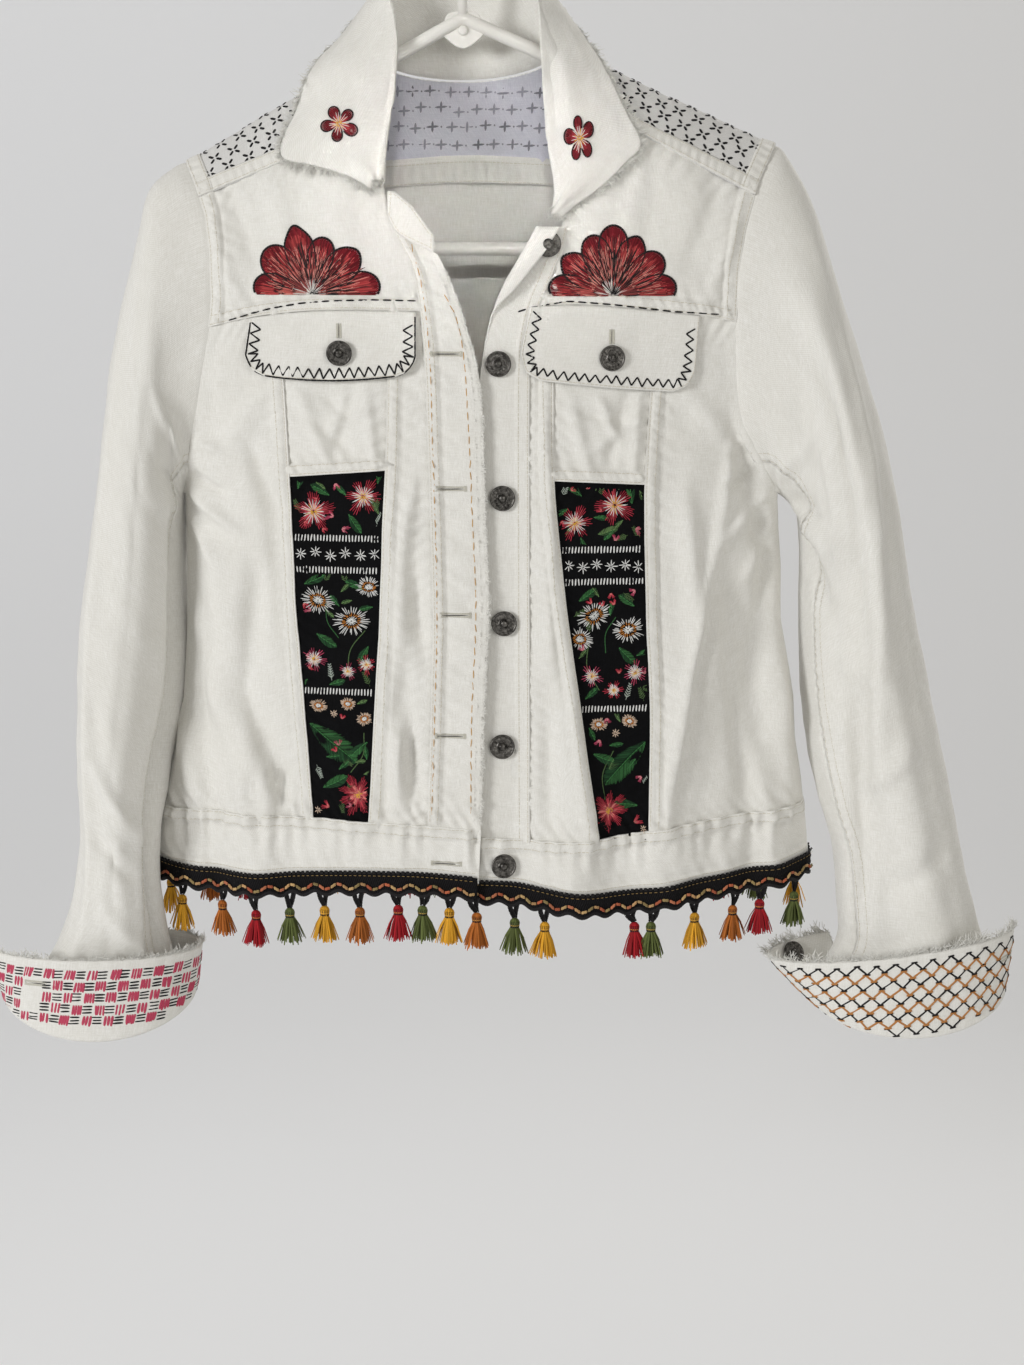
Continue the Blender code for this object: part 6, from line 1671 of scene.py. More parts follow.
def petal(work, base, angle, length, half, hues, seed, outline=None, size=0.62, spacing=0.5, point=0.0,
          **where):
    """A lobed petal of long and short stitches that fan out from its base, shaded in bands.

    half is half its angle.
    """
    local = np.random.default_rng(seed)
    count = max(int(length * half * 1.5 / spacing), 5)
    t = np.linspace(-0.96, 0.96, count)
    tip = length * np.cos(t * math.pi / 2) ** 0.3 * (1 + point * np.exp(-((t / 0.25) ** 2)))
    if outline is None:
        tip = tip * local.uniform(0.84, 1.04, count)
    ways = ways_at(angle + t * half)
    parts = max(len(hues), int(length / 7) + 1)
    steps = np.linspace(0, 1, len(hues))
    hues = [[np.interp(k / (parts - 1), steps, np.array(hues)[:, i]) for i in range(3)] for k in range(parts)]
    bands = np.linspace(0.1, 1, len(hues) + 1)
    for number, hue in enumerate(hues):
        low = bands[number] - local.uniform(0, 0.16, count) * (number > 0)
        high = bands[number + 1] + local.uniform(-0.02, 0.12, count) * (number < len(hues) - 1)
        a = base + ways * (tip * low)[:, None]
        b = base + ways * (tip * np.minimum(high, 0.985))[:, None]
        shades = np.array(hue)[None] * local.uniform(0.55, 1.5, (count, 1))
        thread(work, a, b, shades, size, 0.5, 0.3 + 0.04 * number, ends=(0.7, 0.7), **where)
    if outline is not None:
        a, b = dashes(base + ways * tip[:, None], 1.9, 0.0)
        thread(work, a, b, outline, 1.6 if length > 20 else 0.9, 1.0, 0.55, ends=(0.9, 0.9), **where)


def rays(work, centre, count, low, high, colour, seed, span=(0, 2 * math.pi), width=0.35, **where):
    """Single threads out of a flower's heart."""
    local = np.random.default_rng(seed)
    way = ways_at(np.linspace(*span, count) + local.normal(0, 0.05, count))
    a = centre + way * low * local.uniform(0.7, 1.1, count)[:, None]
    b = centre + way * high * local.uniform(0.75, 1.05, count)[:, None]
    thread(work, a, b, colour, width, 0.5, 0.62, **where)


def knots(work, centre, radius, count, colour, seed, size=0.9, **where):
    """A cluster of small knots."""
    local = np.random.default_rng(seed)
    angle, way = local.uniform(0, 2 * math.pi, (2, count))
    far = np.sqrt(local.uniform(0, 1, count)) * radius
    a = centre + ways_at(angle) * far[:, None]
    b = a + ways_at(way) * size
    thread(work, a, b, colour, size, size, 0.45, ends=(0.6, 0.6), **where)


def bloom(work, centre, radius, count, hues, heart, seed, outline, turned_by, pale=None, spacing=0.8, **where):
    """A flower of equal lobed petals with a knotted heart and pale rays."""
    for number in range(count):
        angle = turned_by + 2 * math.pi * number / count
        long = radius * (1 + 0.08 * math.sin(number * 2.4 + seed))
        petal(work, centre, angle, long, math.pi / count * 0.88, hues, seed + number, outline, 0.55, spacing, **where)
    if pale is not None:
        rays(work, centre, count * 4, radius * 0.12, radius * 0.62, pale, seed, width=0.45, **where)
        rays(work, centre, count * 2, radius * 0.1, radius * 0.4, heart, seed + 1, width=0.5, **where)
    knots(work, centre, radius * 0.16, max(int(radius * 1.2), 5), heart, seed, **where)


def daisy(work, centre, radius, colour, heart, seed, inside):
    """A daisy seen a little from the side: fine rays, a ring of brown stitches and a pale heart."""
    local = np.random.default_rng(seed)
    lean = local.uniform(-0.6, 0.6)
    axes = np.array([turn2(lean), turn2(lean + math.pi / 2) * 0.78])
    for count, low, high, hue in ((34, 0.52, 1.0, colour), (22, 0.34, 0.58, heart), (14, 0.04, 0.34, WHITE_THREAD)):
        angle = np.arange(count) * 2 * math.pi / count + local.normal(0, 0.05, count)
        way = ways_at(angle) @ axes * radius
        a = centre + way * low * local.uniform(0.85, 1.1, count)[:, None]
        b = centre + way * high * local.uniform(0.8, 1.12, count)[:, None]
        thread(work, a, b, np.array(hue) * local.uniform(0.75, 1.05, (count, 1)), 0.62, 0.55, 0.2, inside=inside)


def leaf(work, base, angle, length, width, hues, seed, inside, bend):
    """A leaf of slanted satin stitches on both sides of a midrib."""
    local = np.random.default_rng(seed)
    count = int(length / (0.62 if length < 30 else 0.85))
    s = np.linspace(0.03, 0.97, count)
    spine = base + np.outer(s * length, turn2(angle)) + np.outer(bend * length * s * s, turn2(angle + math.pi / 2))
    half = width / 2 * np.sin(np.pi * s**0.8) ** 0.9
    for side, hue in ((1, hues[0]), (-1, hues[1])):
        way = turn2(angle + side * 0.75 + bend * 1.2)
        b = spine + np.outer(half * 1.35 * local.uniform(0.9, 1.08, count), way)
        shades = np.array(hue)[None] * local.uniform(0.35, 1.7, (count, 1))
        thread(work, spine, b, shades, 0.52, 0.5, 0.15, inside=inside)
    a, b = dashes(spine, 2.2, 0.4)
    thread(work, a, b, np.array(hues[0]) * 2.6, 0.4, 0.55, 0.35, ends=(0.8, 0.8), inside=inside)


def stem(work, points, colour, inside):
    """A line of back stitches along a curve through the given places."""
    curve = spline(np.array(points, float), np.linspace(0, len(points) - 1, len(points) * 8))
    a, b = dashes(curve, 2.2, 0.05)
    thread(work, a, b, colour, 0.7, 0.5, 0.15, ends=(0.8, 0.8), inside=inside)


def sprig(work, base, angle, length, colour, inside):
    """A small spray: a short stem with pairs of single stitches."""
    steps = np.arange(0.2, 1.01, 0.16)
    spine = base + np.outer(steps * length, turn2(angle))
    a, b = [np.atleast_2d(base)], [np.atleast_2d(base + turn2(angle) * length)]
    for side in (-0.8, 0.8):
        a.append(spine)
        b.append(spine + np.outer(np.linspace(3.0, 1.6, len(steps)), turn2(angle + side)))
    thread(work, np.concatenate(a), np.concatenate(b), colour, 0.6, 0.5, inside=inside)


def inside_insert(side, top, low):
    """Test for places on a black insert, between two heights."""
    def test(places):
        x, z = places[:, 0], places[:, 1]
        edges = np.sort(np.stack([smooth(INSERT_OUTER[side], z), smooth(INSERT_INNER[side], z)]), 0)
        return (x > edges[0] + 1.2) & (x < edges[1] - 1.2) & (z < top) & (z > low)
    return test


def insert_place(side, share, z):
    """Place across a black insert: share 0 is its left edge and 1 its right one."""
    edges = sorted((float(smooth(INSERT_OUTER[side], z)), float(smooth(INSERT_INNER[side], z))))
    return np.array([edges[0] + (edges[1] - edges[0]) * share, z])


def fillers(side):
    """Small dark leaves, buds and sprays for the ground between an insert's motifs."""
    local = np.random.default_rng(90 + side)
    taken = [(insert_place(side, share, z), size) for _, share, z, size, _, _ in INSERT_MOTIFS[side]]
    found = []
    kinds = (
        ("leaf", 10.0, "green"), ("sprig", 8.0, "moss"), ("bud", 5.0, "pink"), ("leaf", 8.0, "moss"),
        ("bud", 4.2, "coral"),
    )
    for _ in range(FILLER_TRIES):
        share, z, angle = local.uniform(0.05, 0.95), local.uniform(-622, -392), local.uniform(-math.pi, math.pi)
        place = insert_place(side, share, z)
        kind, size, hue = kinds[len(found) % len(kinds)]
        free = all(np.hypot(*(place - other)) > 0.46 * (reach + size) for other, reach in taken)
        free = free and all(abs(z - line) > size * 0.5 + 3 for line in TICK_LINES[side])
        if free and not TICK_LINES[side][1] < z < TICK_LINES[side][0]:
            found.append((kind, share, z, size, angle, hue))
            taken.append((place, size))
    return tuple(found)


def insert_work(side):
    """Flowers, leaves, daisies, sprigs and rows of white ticks on one black insert."""
    work = Strokes()
    seed = 300 if side == LEFT else 700
    lines = TICK_LINES[side]
    for z in lines:
        wide = abs(insert_place(side, 1, z) - insert_place(side, 0, z))[0]
        places = np.array([insert_place(side, share, z) for share in np.arange(0.03, 0.97, 2.2 / wide)])
        lean = rng.normal(0, 0.15, (len(places), 2)) + [0.15, 2.2]
        thread(work, places - lean, places + lean, WHITE_THREAD, 0.95, 0.7, ends=(0.6, 0.6))
    for number, (kind, share, z, size, angle, hue) in enumerate(fillers(side) + INSERT_MOTIFS[side], seed):
        low = max([line for line in lines if line < z], default=-900) + 3.0
        place, tone = insert_place(side, share, z), MOTIF_HUES[hue]
        high = min([line for line in lines if line > z], default=float(smooth(INSERT_TOP[side], place[0])))
        inside = inside_insert(side, high - 3.0, low)
        size = size * (1.2 if kind in ("bloom", "daisy", "frill") else 1.0)
        if kind == "bloom":
            bloom(work, place, size, 5 + number % 2, tone, HEART_YELLOW, number, None, angle, WHITE_THREAD, 1.15,
                  inside=inside)
        if kind == "daisy":
            daisy(work, place, size, tone[0], HEART_ORANGE, number, inside)
        if kind in ("leaf", "broad"):
            leaf(work, place, angle, size, size * 0.42, tone, number, inside, 0.12 if kind == "leaf" else 0.05)
        if kind == "sprig":
            sprig(work, place, angle, size, tone[0], inside)
        if kind == "star":
            rays(work, place, 9, 0.5, size, tone[0], number, width=0.62, inside=inside)
        if kind == "bud":
            for turn in (-0.5, 0.5):
                petal(work, place, angle + turn, size, 0.42, tone, number, inside=inside, spacing=0.8)
        if kind == "stem":
            way = turn2(angle)
            elbow = place + way * size * 0.5 + turn2(angle + 1.57) * size * 0.14
            stem(work, [place, elbow, place + way * size], tone[0], inside)
        if kind == "frill":
            for ring, part in ((1.0, 1.0), (0.62, 0.75)):
                hues = [np.array(h) * part for h in tone]
                bloom(work, place, size * ring, 8, hues, HEART_YELLOW, number, None, angle + ring, spacing=0.85,
                      inside=inside)
    work.made(f"insert_work_{WORD[side]}", "trim_cord")


def half_flower(side):
    """A half flower that rises over the flap: broad shaded petals with black outlines and dark rays."""
    work = Strokes()
    centre, petals = HALF_FLOWER[side]
    where = {"inside": lambda places: places[:, 1] > CHEST_LINE[side] + 0.8}
    for number, (degrees, length, half, point) in enumerate(petals):
        angle = math.radians(degrees)
        petal(work, centre, angle, length, half, PETAL_REDS, 40 + number + side, SOOT, 0.75, 0.5, point, **where)
        span = (angle - half * 0.72, angle + half * 0.72)
        for low, high, count in ((0.26, 0.46, 17), (0.48, 0.66, 19), (0.68, 0.84, 17)):
            low, high = length * low, length * high
            rays(work, centre, count + 7, low, high, SOOT, 50 + number, span, 0.55, **where)
            low = low + length * 0.06
            rays(work, centre, count - 5, low, high, CORAL_RAY, 90 + number, span, 0.6, **where)
    rays(work, centre, 30, 2.0, 13.0, PALE_RAY, 60 + side, (0.1, math.pi - 0.1), 0.55, **where)
    rays(work, centre, 22, 1.0, 10.0, SOOT, 61 + side, (0.15, math.pi - 0.15), 0.45, **where)
    work.made(f"half_flower_{WORD[side]}", "trim_cord")


def flap_work(side):
    """Black zigzag round a flap, with a plain line outside it on the left one, and a buttonhole whose slit is a dark
    thread of painted shade.
    """
    work = Strokes()
    top_a, _, top_b, _ = FLAP_SIDES[side]
    bottom = np.array(FLAP_BOTTOM[side], float)
    curve = spline(bottom, np.linspace(0, len(bottom) - 1, 60))
    top_z = [float(smooth(CHEST_SEAM[side], x)) - 1.5 for x in (top_a, top_b)]
    path = np.concatenate([[(top_a, top_z[0])], curve, [(top_b, top_z[1])]])
    lengths = run_lengths(path)
    middle = np.array([(top_a + top_b) / 2, -298.0])

    def inset_at(at, inset):
        """Places at distances along the flap's edge and inward of it."""
        ahead = read_at(at + 2.5, lengths, path) - read_at(at - 2.5, lengths, path)
        inward = unit(np.stack([-ahead[:, 1], ahead[:, 0]], -1))
        point = read_at(at, lengths, path)
        inward *= np.sign(((middle - point) * inward).sum(-1, keepdims=True))
        return point + inward * np.reshape(inset, (-1, 1))

    pitch, near, far = ZIGZAG[side]
    count = int((lengths[-1] - 3) / pitch)
    at = 1.5 + np.arange(count * 2 + 1) * pitch / 2
    at = np.minimum(at, lengths[-1] - 0.5)
    at = at + rng.normal(0, 0.25, len(at))
    zig = inset_at(at, np.where(np.arange(len(at)) % 2 == 0, near, far) + rng.normal(0, 0.25, len(at)))
    thread(work, zig[:-1], zig[1:], SOOT, 1.15, 0.9, 0.25, ends=(0.8, 0.8))
    if side == LEFT:
        at = np.arange(1.5, lengths[-1] - 5, 4.4)
        start, end = (inset_at(places, at * 0 + 0.9) for places in (at, at + 4.5))
        thread(work, start, end, SOOT, 1.2, 0.9, 0.2, ends=(0.8, 0.8))
    x, z = FLAP_BUTTONS[side]
    upright = np.arange(z + 9.5, z + 19.0, 0.75)
    for way in (-1, 1):
        a = np.stack([x + 0 * upright + way * 0.25, upright], -1)
        thread(work, a, a + [way * 1.7, 0.1], IVORY_THREAD, 0.8, 0.7)
    # The buttonhole's slit is a dark thread: painted shade in the cut.
    thread(work, [(x, z + 9)], [(x, z + 19.4)], (0.16, 0.145, 0.12), 0.5, 0.4, 0.1)
    work.made(f"flap_work_{WORD[side]}", "trim_cord")


def running_stitch():
    """Black running stitch above the flaps and golden rows on the buttonhole placket."""
    work = Strokes()
    for side in (LEFT, RIGHT):
        a, b = dashes(RUNNING[side], 5.6, 2.6)
        thread(work, a, b, SOOT, 1.15, 0.9, 0.15, ends=(0.6, 0.6), bow=0.25)
    for line in GOLD_ROWS:
        curve = spline(np.array(line, float), np.linspace(0, len(line) - 1, 120))
        a, b = dashes(curve, 5.4, 2.6)
        jitter = rng.normal(0, 0.22, (len(a), 1)) * [1, 0]
        thread(work, a + jitter, b - jitter, STRAW, 0.62, 0.55, 0.1, ends=(0.6, 0.6), bow=0.15)
    work.made("running_stitch", "trim_cord")


def buttonholes():
    """Worked level buttonholes on the left placket and waistband, each slit a dark thread of painted shade."""
    work = Strokes()
    for x, z in BUTTONHOLES:
        reach = np.arange(-9.4, 9.5, 0.72)
        for way in (-1, 1):
            a = np.stack([x + reach, z + 0 * reach + way * 0.35], -1)
            thread(work, a, a + [0.1, way * 1.3], IVORY_THREAD, 0.7, 0.5)
        # The slit is a near-black thread: painted shade in the cut.
        thread(work, [(x - 9.2, z)], [(x + 9.2, z)], (0.05, 0.045, 0.04), 0.6, 0.35, 0.12)
        for end in (-10.2, 9.8):
            a = np.array([(x + end + k * 0.6, z - 2.0) for k in range(3)])
            thread(work, a, a + [0, 4.0], IVORY_THREAD, 0.7, 0.7)
    work.made("buttonholes", "denim")


def yoke_work(grid, normals):
    """Black crosses, four short dashes each, in staggered rows over the yoke, and rows of seam stitches."""
    work = Strokes()
    left, right, back_part = np.s_[:, :46], np.s_[:, :-47:-1], np.s_[22:, 45:89]
    for part, edge, foot in ((left, 13.0, 14.0), (right, 13.0, 14.0), (back_part, 9.0, 9.0)):
        surface = GridMap(grid[part], normals[part])
        for row, t in enumerate(np.arange(foot, surface.down[-1].max() - foot, 10.2)):
            s = np.arange(edge + (row % 2) * 7.0, surface.across.max() - 7, 14.0)
            s = s[t < np.interp(s, surface.across[-1], surface.down[-1]) - 8.0]
            if not len(s):
                continue
            centre = np.stack([s, 0 * s + t], -1) + rng.normal(0, 0.35, (len(s), 2))
            for angle in (0.72, 2.42, 3.86, 5.56):
                way = turn2(angle)
                thread(work, centre + way * 1.2, centre + way * 5.0, SOOT, 1.85, 1.0, 0.75, surface, ends=(0.6, 0.4))
        if part is back_part:
            continue
        for name, line in (("front", "t"), ("armhole", "l")):
            insets = np.linspace(0.3, YOKE_STRIP, 12)
            lines = [edge_row(grid[part], normals[part], line, inset) for inset in insets]
            strip = np.array([points for points, _ in lines])
            up = np.array([up for _, up in lines])
            fine = np.linspace(0, strip.shape[1] - 1, 120)
            strip, up = (spline(values.transpose(1, 0, 2), fine).transpose(1, 0, 2) for values in (strip, up))
            along, across = lengths_along(strip, 1), lengths_along(strip, 0)
            height = 1.0 + pucker(along, across - 4, 5, 6.5, 0.5, 64.0)
            height = height - 0.3 * np.exp(-((across - YOKE_STRIP + 0.5) ** 2))
            strip = strip + up * height[..., None]
            sew_edges(strip, up, 0.8, {"t": "o"}, (1.5, YOKE_STRIP - 2.0))
            word = "left" if strip[..., 0].mean() < 0 else "right"
            uv = np.stack([along, across], -1)
            shell(f"yoke_{name}_strip_{word}", strip, 0.8, IVORY, normals=up, uv=uv)
    work.made("yoke_work", "trim_cord")


def lining_marks():
    """Faded plus marks on the inner face of the back yoke, seen through the neck."""
    work = Strokes()
    inner = lambda a, b: land(a, b, 6.0)
    for row, z in enumerate((-131, -142, -154, -166)):
        x = np.arange(-60 + (row % 2) * 6, 70, 12.5)
        centre = np.stack([x, 0 * x + z], -1) + rng.normal(0, 0.8, (len(x), 2))
        tone = np.array(FADED) * rng.uniform(0.7, 1.5, (len(x), 1))
        for reach in ((4.2, 0.3), (0.2, 3.6)):
            thread(work, centre - reach, centre + reach, tone, 1.6, 0.15, 0.04, inner)
        dots = centre + [6.2, 0]
        thread(work, dots - [0.6, 0], dots + [0.6, 0], tone, 1.3, 0.15, 0.04, inner)
    work.made("lining_marks", "yoke_cloth", FLUFF)


def cuff_work(side, grid, normals):
    """Stitched pattern on a cuff: groups of short strokes on the left one, crossing zigzags on the right one."""
    work = Strokes()
    surface = GridMap(grid, normals)
    total = surface.across[2].max()
    first, last = (total * share for share in CUFF_WORK_SPAN[side])
    depth = lambda s: np.interp(s, surface.across[2], surface.down[-1])
    on_cuff = lambda places: places[:, 1] < depth(places[:, 0]) - 4.0
    if side == LEFT:
        for row in range(5):
            t = 6.5 + row * 8.9
            for number, s in enumerate(np.arange(first, last, 7.8)):
                if abs(s / total - CUFF_HOLES[side]) < 0.04 and 0 < row < 4:
                    continue
                jitter = rng.normal(0, 0.35, 2)
                pink = (number + row) % 2
                count = 3 + int(rng.integers(2)) * pink
                slot = (np.arange(count)[:, None] + 0.4) * (7.2 / count)
                fixed = 0.4 + 0 * slot
                a = np.concatenate([slot, fixed] if pink else [fixed, slot + 0.6], 1) + [s, t] + jitter
                reach = [0.3, 7.6] if pink else [6.9, 0.2]
                b = a + reach + rng.normal(0, 0.3, (count, 2))
                thread(work, a, b, PINK_THREAD if pink else SOOT, 2.1 if pink else 1.6, 1.0, 0.85, surface,
                       ends=(0.6, 0.6), inside=on_cuff)
    else:
        for row in range(9):
            s = np.arange(first, last, 6.8)
            phase = np.where((np.arange(len(s)) + row) % 2 == 0, -1, 1)
            places = np.stack([s, 8.0 + row * 6.4 + phase * 2.9], -1) + rng.normal(0, 0.3, (len(s), 2))
            colour = SOOT if row % 2 == 0 else TAN_THREAD
            lift = 0.85 + 0.2 * (row % 2)
            thread(work, places[:-1], places[1:], colour, 1.6, 1.1, lift, surface, ends=(0.8, 0.8), inside=on_cuff)
            thread(work, places - [2.3, 0], places + [2.3, 0.1], colour, 1.7, 1.4, lift + 0.1, surface,
                   ends=(0.7, 0.7), inside=on_cuff)
    hole = total * CUFF_HOLES[side]
    reach = np.arange(-8.5, 8.6, 0.75)
    for way in (-1, 1):
        a = np.stack([hole + reach, 19 + 0 * reach + way * 0.35], -1)
        thread(work, a, a + [0.1, way * 1.9], IVORY_THREAD, 0.85, 0.7, 0.85, surface)
    # The buttonhole's slit is a near-black thread: painted shade in the cut.
    thread(work, [(hole - 8.3, 19)], [(hole + 8.3, 19)], (0.03, 0.028, 0.025), 0.9, 0.4, 0.9, surface)
    work.made(f"cuff_work_{WORD[side]}", "trim_cord")


def fray(work, points, outward, normals, per_mm, low, high, seed):
    """Loose yarn ends along an edge: they leave it outward and curl."""
    local = np.random.default_rng(int(seed * 10))
    total = np.linalg.norm(np.diff(points, axis=0), axis=-1).sum()
    count = int(total * per_mm)
    at = np.sort(local.uniform(0, total, count))
    start, out = along_row(points, outward, at)
    _, up = along_row(points, normals, at)
    ahead = np.cross(out, up)
    marks = np.arange(0, total + 6, 3.0)
    clump = np.interp(at, marks, local.normal(0, 1, len(marks)))
    length = local.uniform(low, high, count) * (1 + 0.35 * clump.clip(-1, 1.6))
    lean = (0.5 * clump + local.normal(0, 0.6, count))[:, None]
    lift = local.normal(0.1, 0.35, count)[:, None]
    way = unit(out + ahead * lean + up * lift)
    bend = unit(way + ahead * local.normal(0, 0.8, (count, 1)) + up * local.normal(0, 0.4, (count, 1)))
    start = start - out * 0.8 + up * local.uniform(-0.5, 0.5, (count, 1))
    middle = start + way * length[:, None] * 0.6
    tip = middle + bend * length[:, None] * 0.5
    shades = np.array(FRAY) * local.uniform(0.9, 1.06, (count, 1))
    width = local.uniform(0.35, 0.7, count)
    work.add(start, middle, width, width, shades, up=up)
    work.add(middle, tip, width * 0.9, width * 0.9, shades, up=up)


def collar_work(grid, normals):
    """Overcast rows on the collar's edge strip, a row inside it, and frayed edges."""
    lengths = lengths_along(grid, 1)
    for inset in (2.6, 5.8, 9.0, 14.0, 21.0):
        points, up = edge_row(grid, normals, "r", inset)
        if inset < 13:
            total = np.linalg.norm(np.diff(points, axis=0), axis=-1).sum()
            at = np.arange(1.5, total - 3, 2.3)
            a, n = along_row(points, up, at)
            other, other_up = edge_row(grid, normals, "r", inset + 1.9)
            other_total = np.linalg.norm(np.diff(other, axis=0), axis=-1).sum()
            b, _ = along_row(other, other_up, (at + 1.6) * other_total / total)
            SEAMS.add(a + n * 0.95, b + n * 0.95, 0.85, 0.8, IVORY_THREAD, up=n)
        else:
            sew_line(points, up, 0.95)
    fuzz = Strokes(thin=True)
    outer = grid[:, -1]
    out = unit(outer - grid[:, -2])
    fray(fuzz, outer, out, normals[:, -1], 7.0, 2.4, 6.5, 5)
    for row, beside, seed in ((0, 1, 6), (len(grid) - 1, len(grid) - 2, 7)):
        first = int(np.searchsorted(lengths[row], lengths[row][-1] * 0.36))
        out = unit(grid[row] - grid[beside])
        fray(fuzz, grid[row, first:], out[first:], normals[row, first:], 7.0, 2.4, 6.5, seed)
    fuzz.made("collar_fray", "denim", FLUFF)


def collar_flowers():
    """A small dark red flower on each collar leaf, the right one seen from its side."""
    flowers = Strokes()
    for x, z, radius, squeeze, seed in COLLAR_FLOWERS:
        surface = lambda a, b, x=x, squeeze=squeeze: land(x + (a - x) * squeeze, b)
        centre = np.array([x, z])
        bloom(flowers, centre, radius, 5, DARK_REDS, HEART_YELLOW, seed, SOOT, 0.3 + seed, PALE_RAY, 0.5,
              surface=surface)
    flowers.made("collar_flowers", "trim_cord")


def edge_fray():
    """Fray along the cuffs' tops and ends, along the left front edge and inside it, and along the right placket's
    seam.
    """
    fuzz = Strokes(thin=True)
    for side in (LEFT, RIGHT):
        grid, normals = CUFF_GRIDS[side]
        out = unit(grid[0] - grid[1])
        fray(fuzz, grid[0], out, normals[0], 4.6, 1.8, 6.0 if side == LEFT else 8.0, 11 + side)
        out = unit(grid[:26, -1] - grid[:26, -2])
        fray(fuzz, grid[:26, -1], out, normals[:26, -1], 3.0, 0.8, 2.6, 15 + side)
    z = np.linspace(-250, -628, 160)
    x = smooth(FRONT_EDGE[LEFT], z)
    points, ups = land(x - 1.2, z)
    points[:, 0] += 1.2
    out = np.tile([1.0, 0, 0], (len(z), 1))
    fray(fuzz, points, out, ups, 3.5, 0.5, 2.2, 21)
    for inset in (2.0, 5.5):
        fray(fuzz, points - [inset, 0, 0], out * 0.3 + ups, ups, 2.2, 0.5, 1.6, 22 + inset)
    seam_x = smooth(INNER_EDGE[RIGHT], z)
    points, ups = land(seam_x + 0.5, z)
    fray(fuzz, points, -out, ups, 1.4, 0.5, 2.2, 23)
    fuzz.made("edge_fray", "denim", FLUFF)


def lathe(name, outline, sides, foot, facing, material, relief=None, node=()):
    """A turned body on its foot that faces the given way. relief adds height by radius and angle."""
    outline = np.array(outline, float)
    angle = np.linspace(0, 2 * np.pi, sides, endpoint=False)
    r, h = outline[:, :1], outline[:, 1:2]
    height = h + (relief(r, angle[None, :]) if relief else 0 * angle[None, :])
    turn = Vector(facing).to_track_quat("Z", "Y")
    local = np.stack([r * np.cos(angle), r * np.sin(angle), height], -1).reshape(-1, 3)
    rotation = np.array(turn.to_matrix())
    verts = local @ rotation.T + np.array(foot)
    number = np.arange(len(local)).reshape(len(outline), sides)
    after = np.roll(number, -1, 1)
    faces = np.stack([number[:-1], after[:-1], after[1:], number[1:]], -1).reshape(-1, 4).tolist()
    faces += [list(number[0, ::-1]), list(number[-1])]
    made = build(name, verts, faces, material, uv=local[:, :2], node=node)
    return made


def button(name, foot, facing):
    """A pewter jeans button: rolled rim, ring of small leaves, and a domed pin in the middle."""
    outline = (
        (3.0, 0.0), (3.0, 1.2), (6.0, 1.25), (8.0, 1.35), (8.5, 1.6), (8.68, 2.1), (8.6, 2.7), (8.3, 3.1),
        (7.9, 3.25), (7.5, 3.1), (7.25, 2.75), (7.0, 2.6), (6.4, 2.65), (5.8, 2.72), (5.2, 2.74), (4.6, 2.66), (4.1, 2.6),
        (3.9, 2.75), (3.6, 3.05), (3.3, 3.1), (3.05, 2.85), (2.9, 2.6), (2.6, 2.7), (2.4, 3.4), (2.0, 4.0),
        (1.4, 4.3), (0.7, 4.42), (0.15, 4.45),
    )

    def relief(r, angle):
        band = np.exp(-(((r - 5.6) / 0.75) ** 2))
        leaves = 0.42 * band * np.maximum(np.sin(angle * 16 + 1.5 * (r - 5.6)), -0.2)
        beads = 0.12 * np.exp(-(((r - 7.9) / 0.35) ** 2)) * np.sin(angle * 20)
        return leaves + beads

    lathe(name, outline, 80, foot, facing, PEWTER, relief, (name,))


def seated(surface, x, z, lift, wall):
    """Foot point and facing of a button on an outer face."""
    across = surface(x + 3.0, z, lift) - surface(x - 3.0, z, lift)
    down = surface(x, z - 3.0, lift) - surface(x, z + 3.0, lift)
    facing = np.cross(down, across)
    facing = facing / np.linalg.norm(facing)
    facing = facing if facing[1] < 0 else -facing
    return surface(x, z, lift) + facing * (wall / 2 + CLEAR), facing


def buttons():
    """Placket, flap, neck and cuff buttons."""
    for number, (x, z) in enumerate(PLACKET_BUTTONS, 1):
        wall = BAND if z < -640 else DENIM
        button(f"button_{number}", *seated(lapped(RIGHT), x, z, 0.0, wall))
    for side in (LEFT, RIGHT):
        x, z = FLAP_BUTTONS[side]
        button(f"button_flap_{WORD[side]}", *seated(lapped(side), x, z, FLAP_BUTTON_LIFT, DENIM))
    x, z = NECK_BUTTON
    seam, fold = float(smooth(INNER_EDGE[RIGHT], z)), float(smooth(FRONT_EDGE[RIGHT], z))
    radius = float(lookup(TURN_RADIUS, z))
    along = seam - fold - radius + math.pi * radius + x - fold - radius
    cloth = turned(lapped(RIGHT), np.array(z), np.array(along))
    button("button_neck", cloth + [0, DENIM / 2 + CLEAR, 0], (0, 1, 0))
    rivet = ((3.2, -0.2), (3.5, 0.3), (3.3, 0.75), (2.6, 0.95), (1.9, 0.8), (1.4, 0.85), (0.8, 1.15), (0.1, 1.2))
    lathe("button_neck_rivet", rivet, 48, cloth - [0, DENIM / 2 + CLEAR, 0], (0, -1, 0), PEWTER,
          node=("button_neck_rivet",))
    for side in (LEFT, RIGHT):
        degrees = {LEFT: 58.0, RIGHT: -212.0}[side]
        place = cuff_point(side, degrees, 0.72)
        ahead = cuff_point(side, degrees + 4, 0.72) - cuff_point(side, degrees - 4, 0.72)
        upward = cuff_point(side, degrees, 0.82) - cuff_point(side, degrees, 0.62)
        facing = np.cross(ahead, upward)
        facing = facing / np.linalg.norm(facing)
        middle = np.array([CUFF[side][0][0], CUFF[side][0][1], place[2]])
        facing = facing if facing @ (middle - place) > 0 else -facing
        button(f"button_cuff_{WORD[side]}", place + facing * (DOUBLE / 2 + 2 * CLEAR), facing)


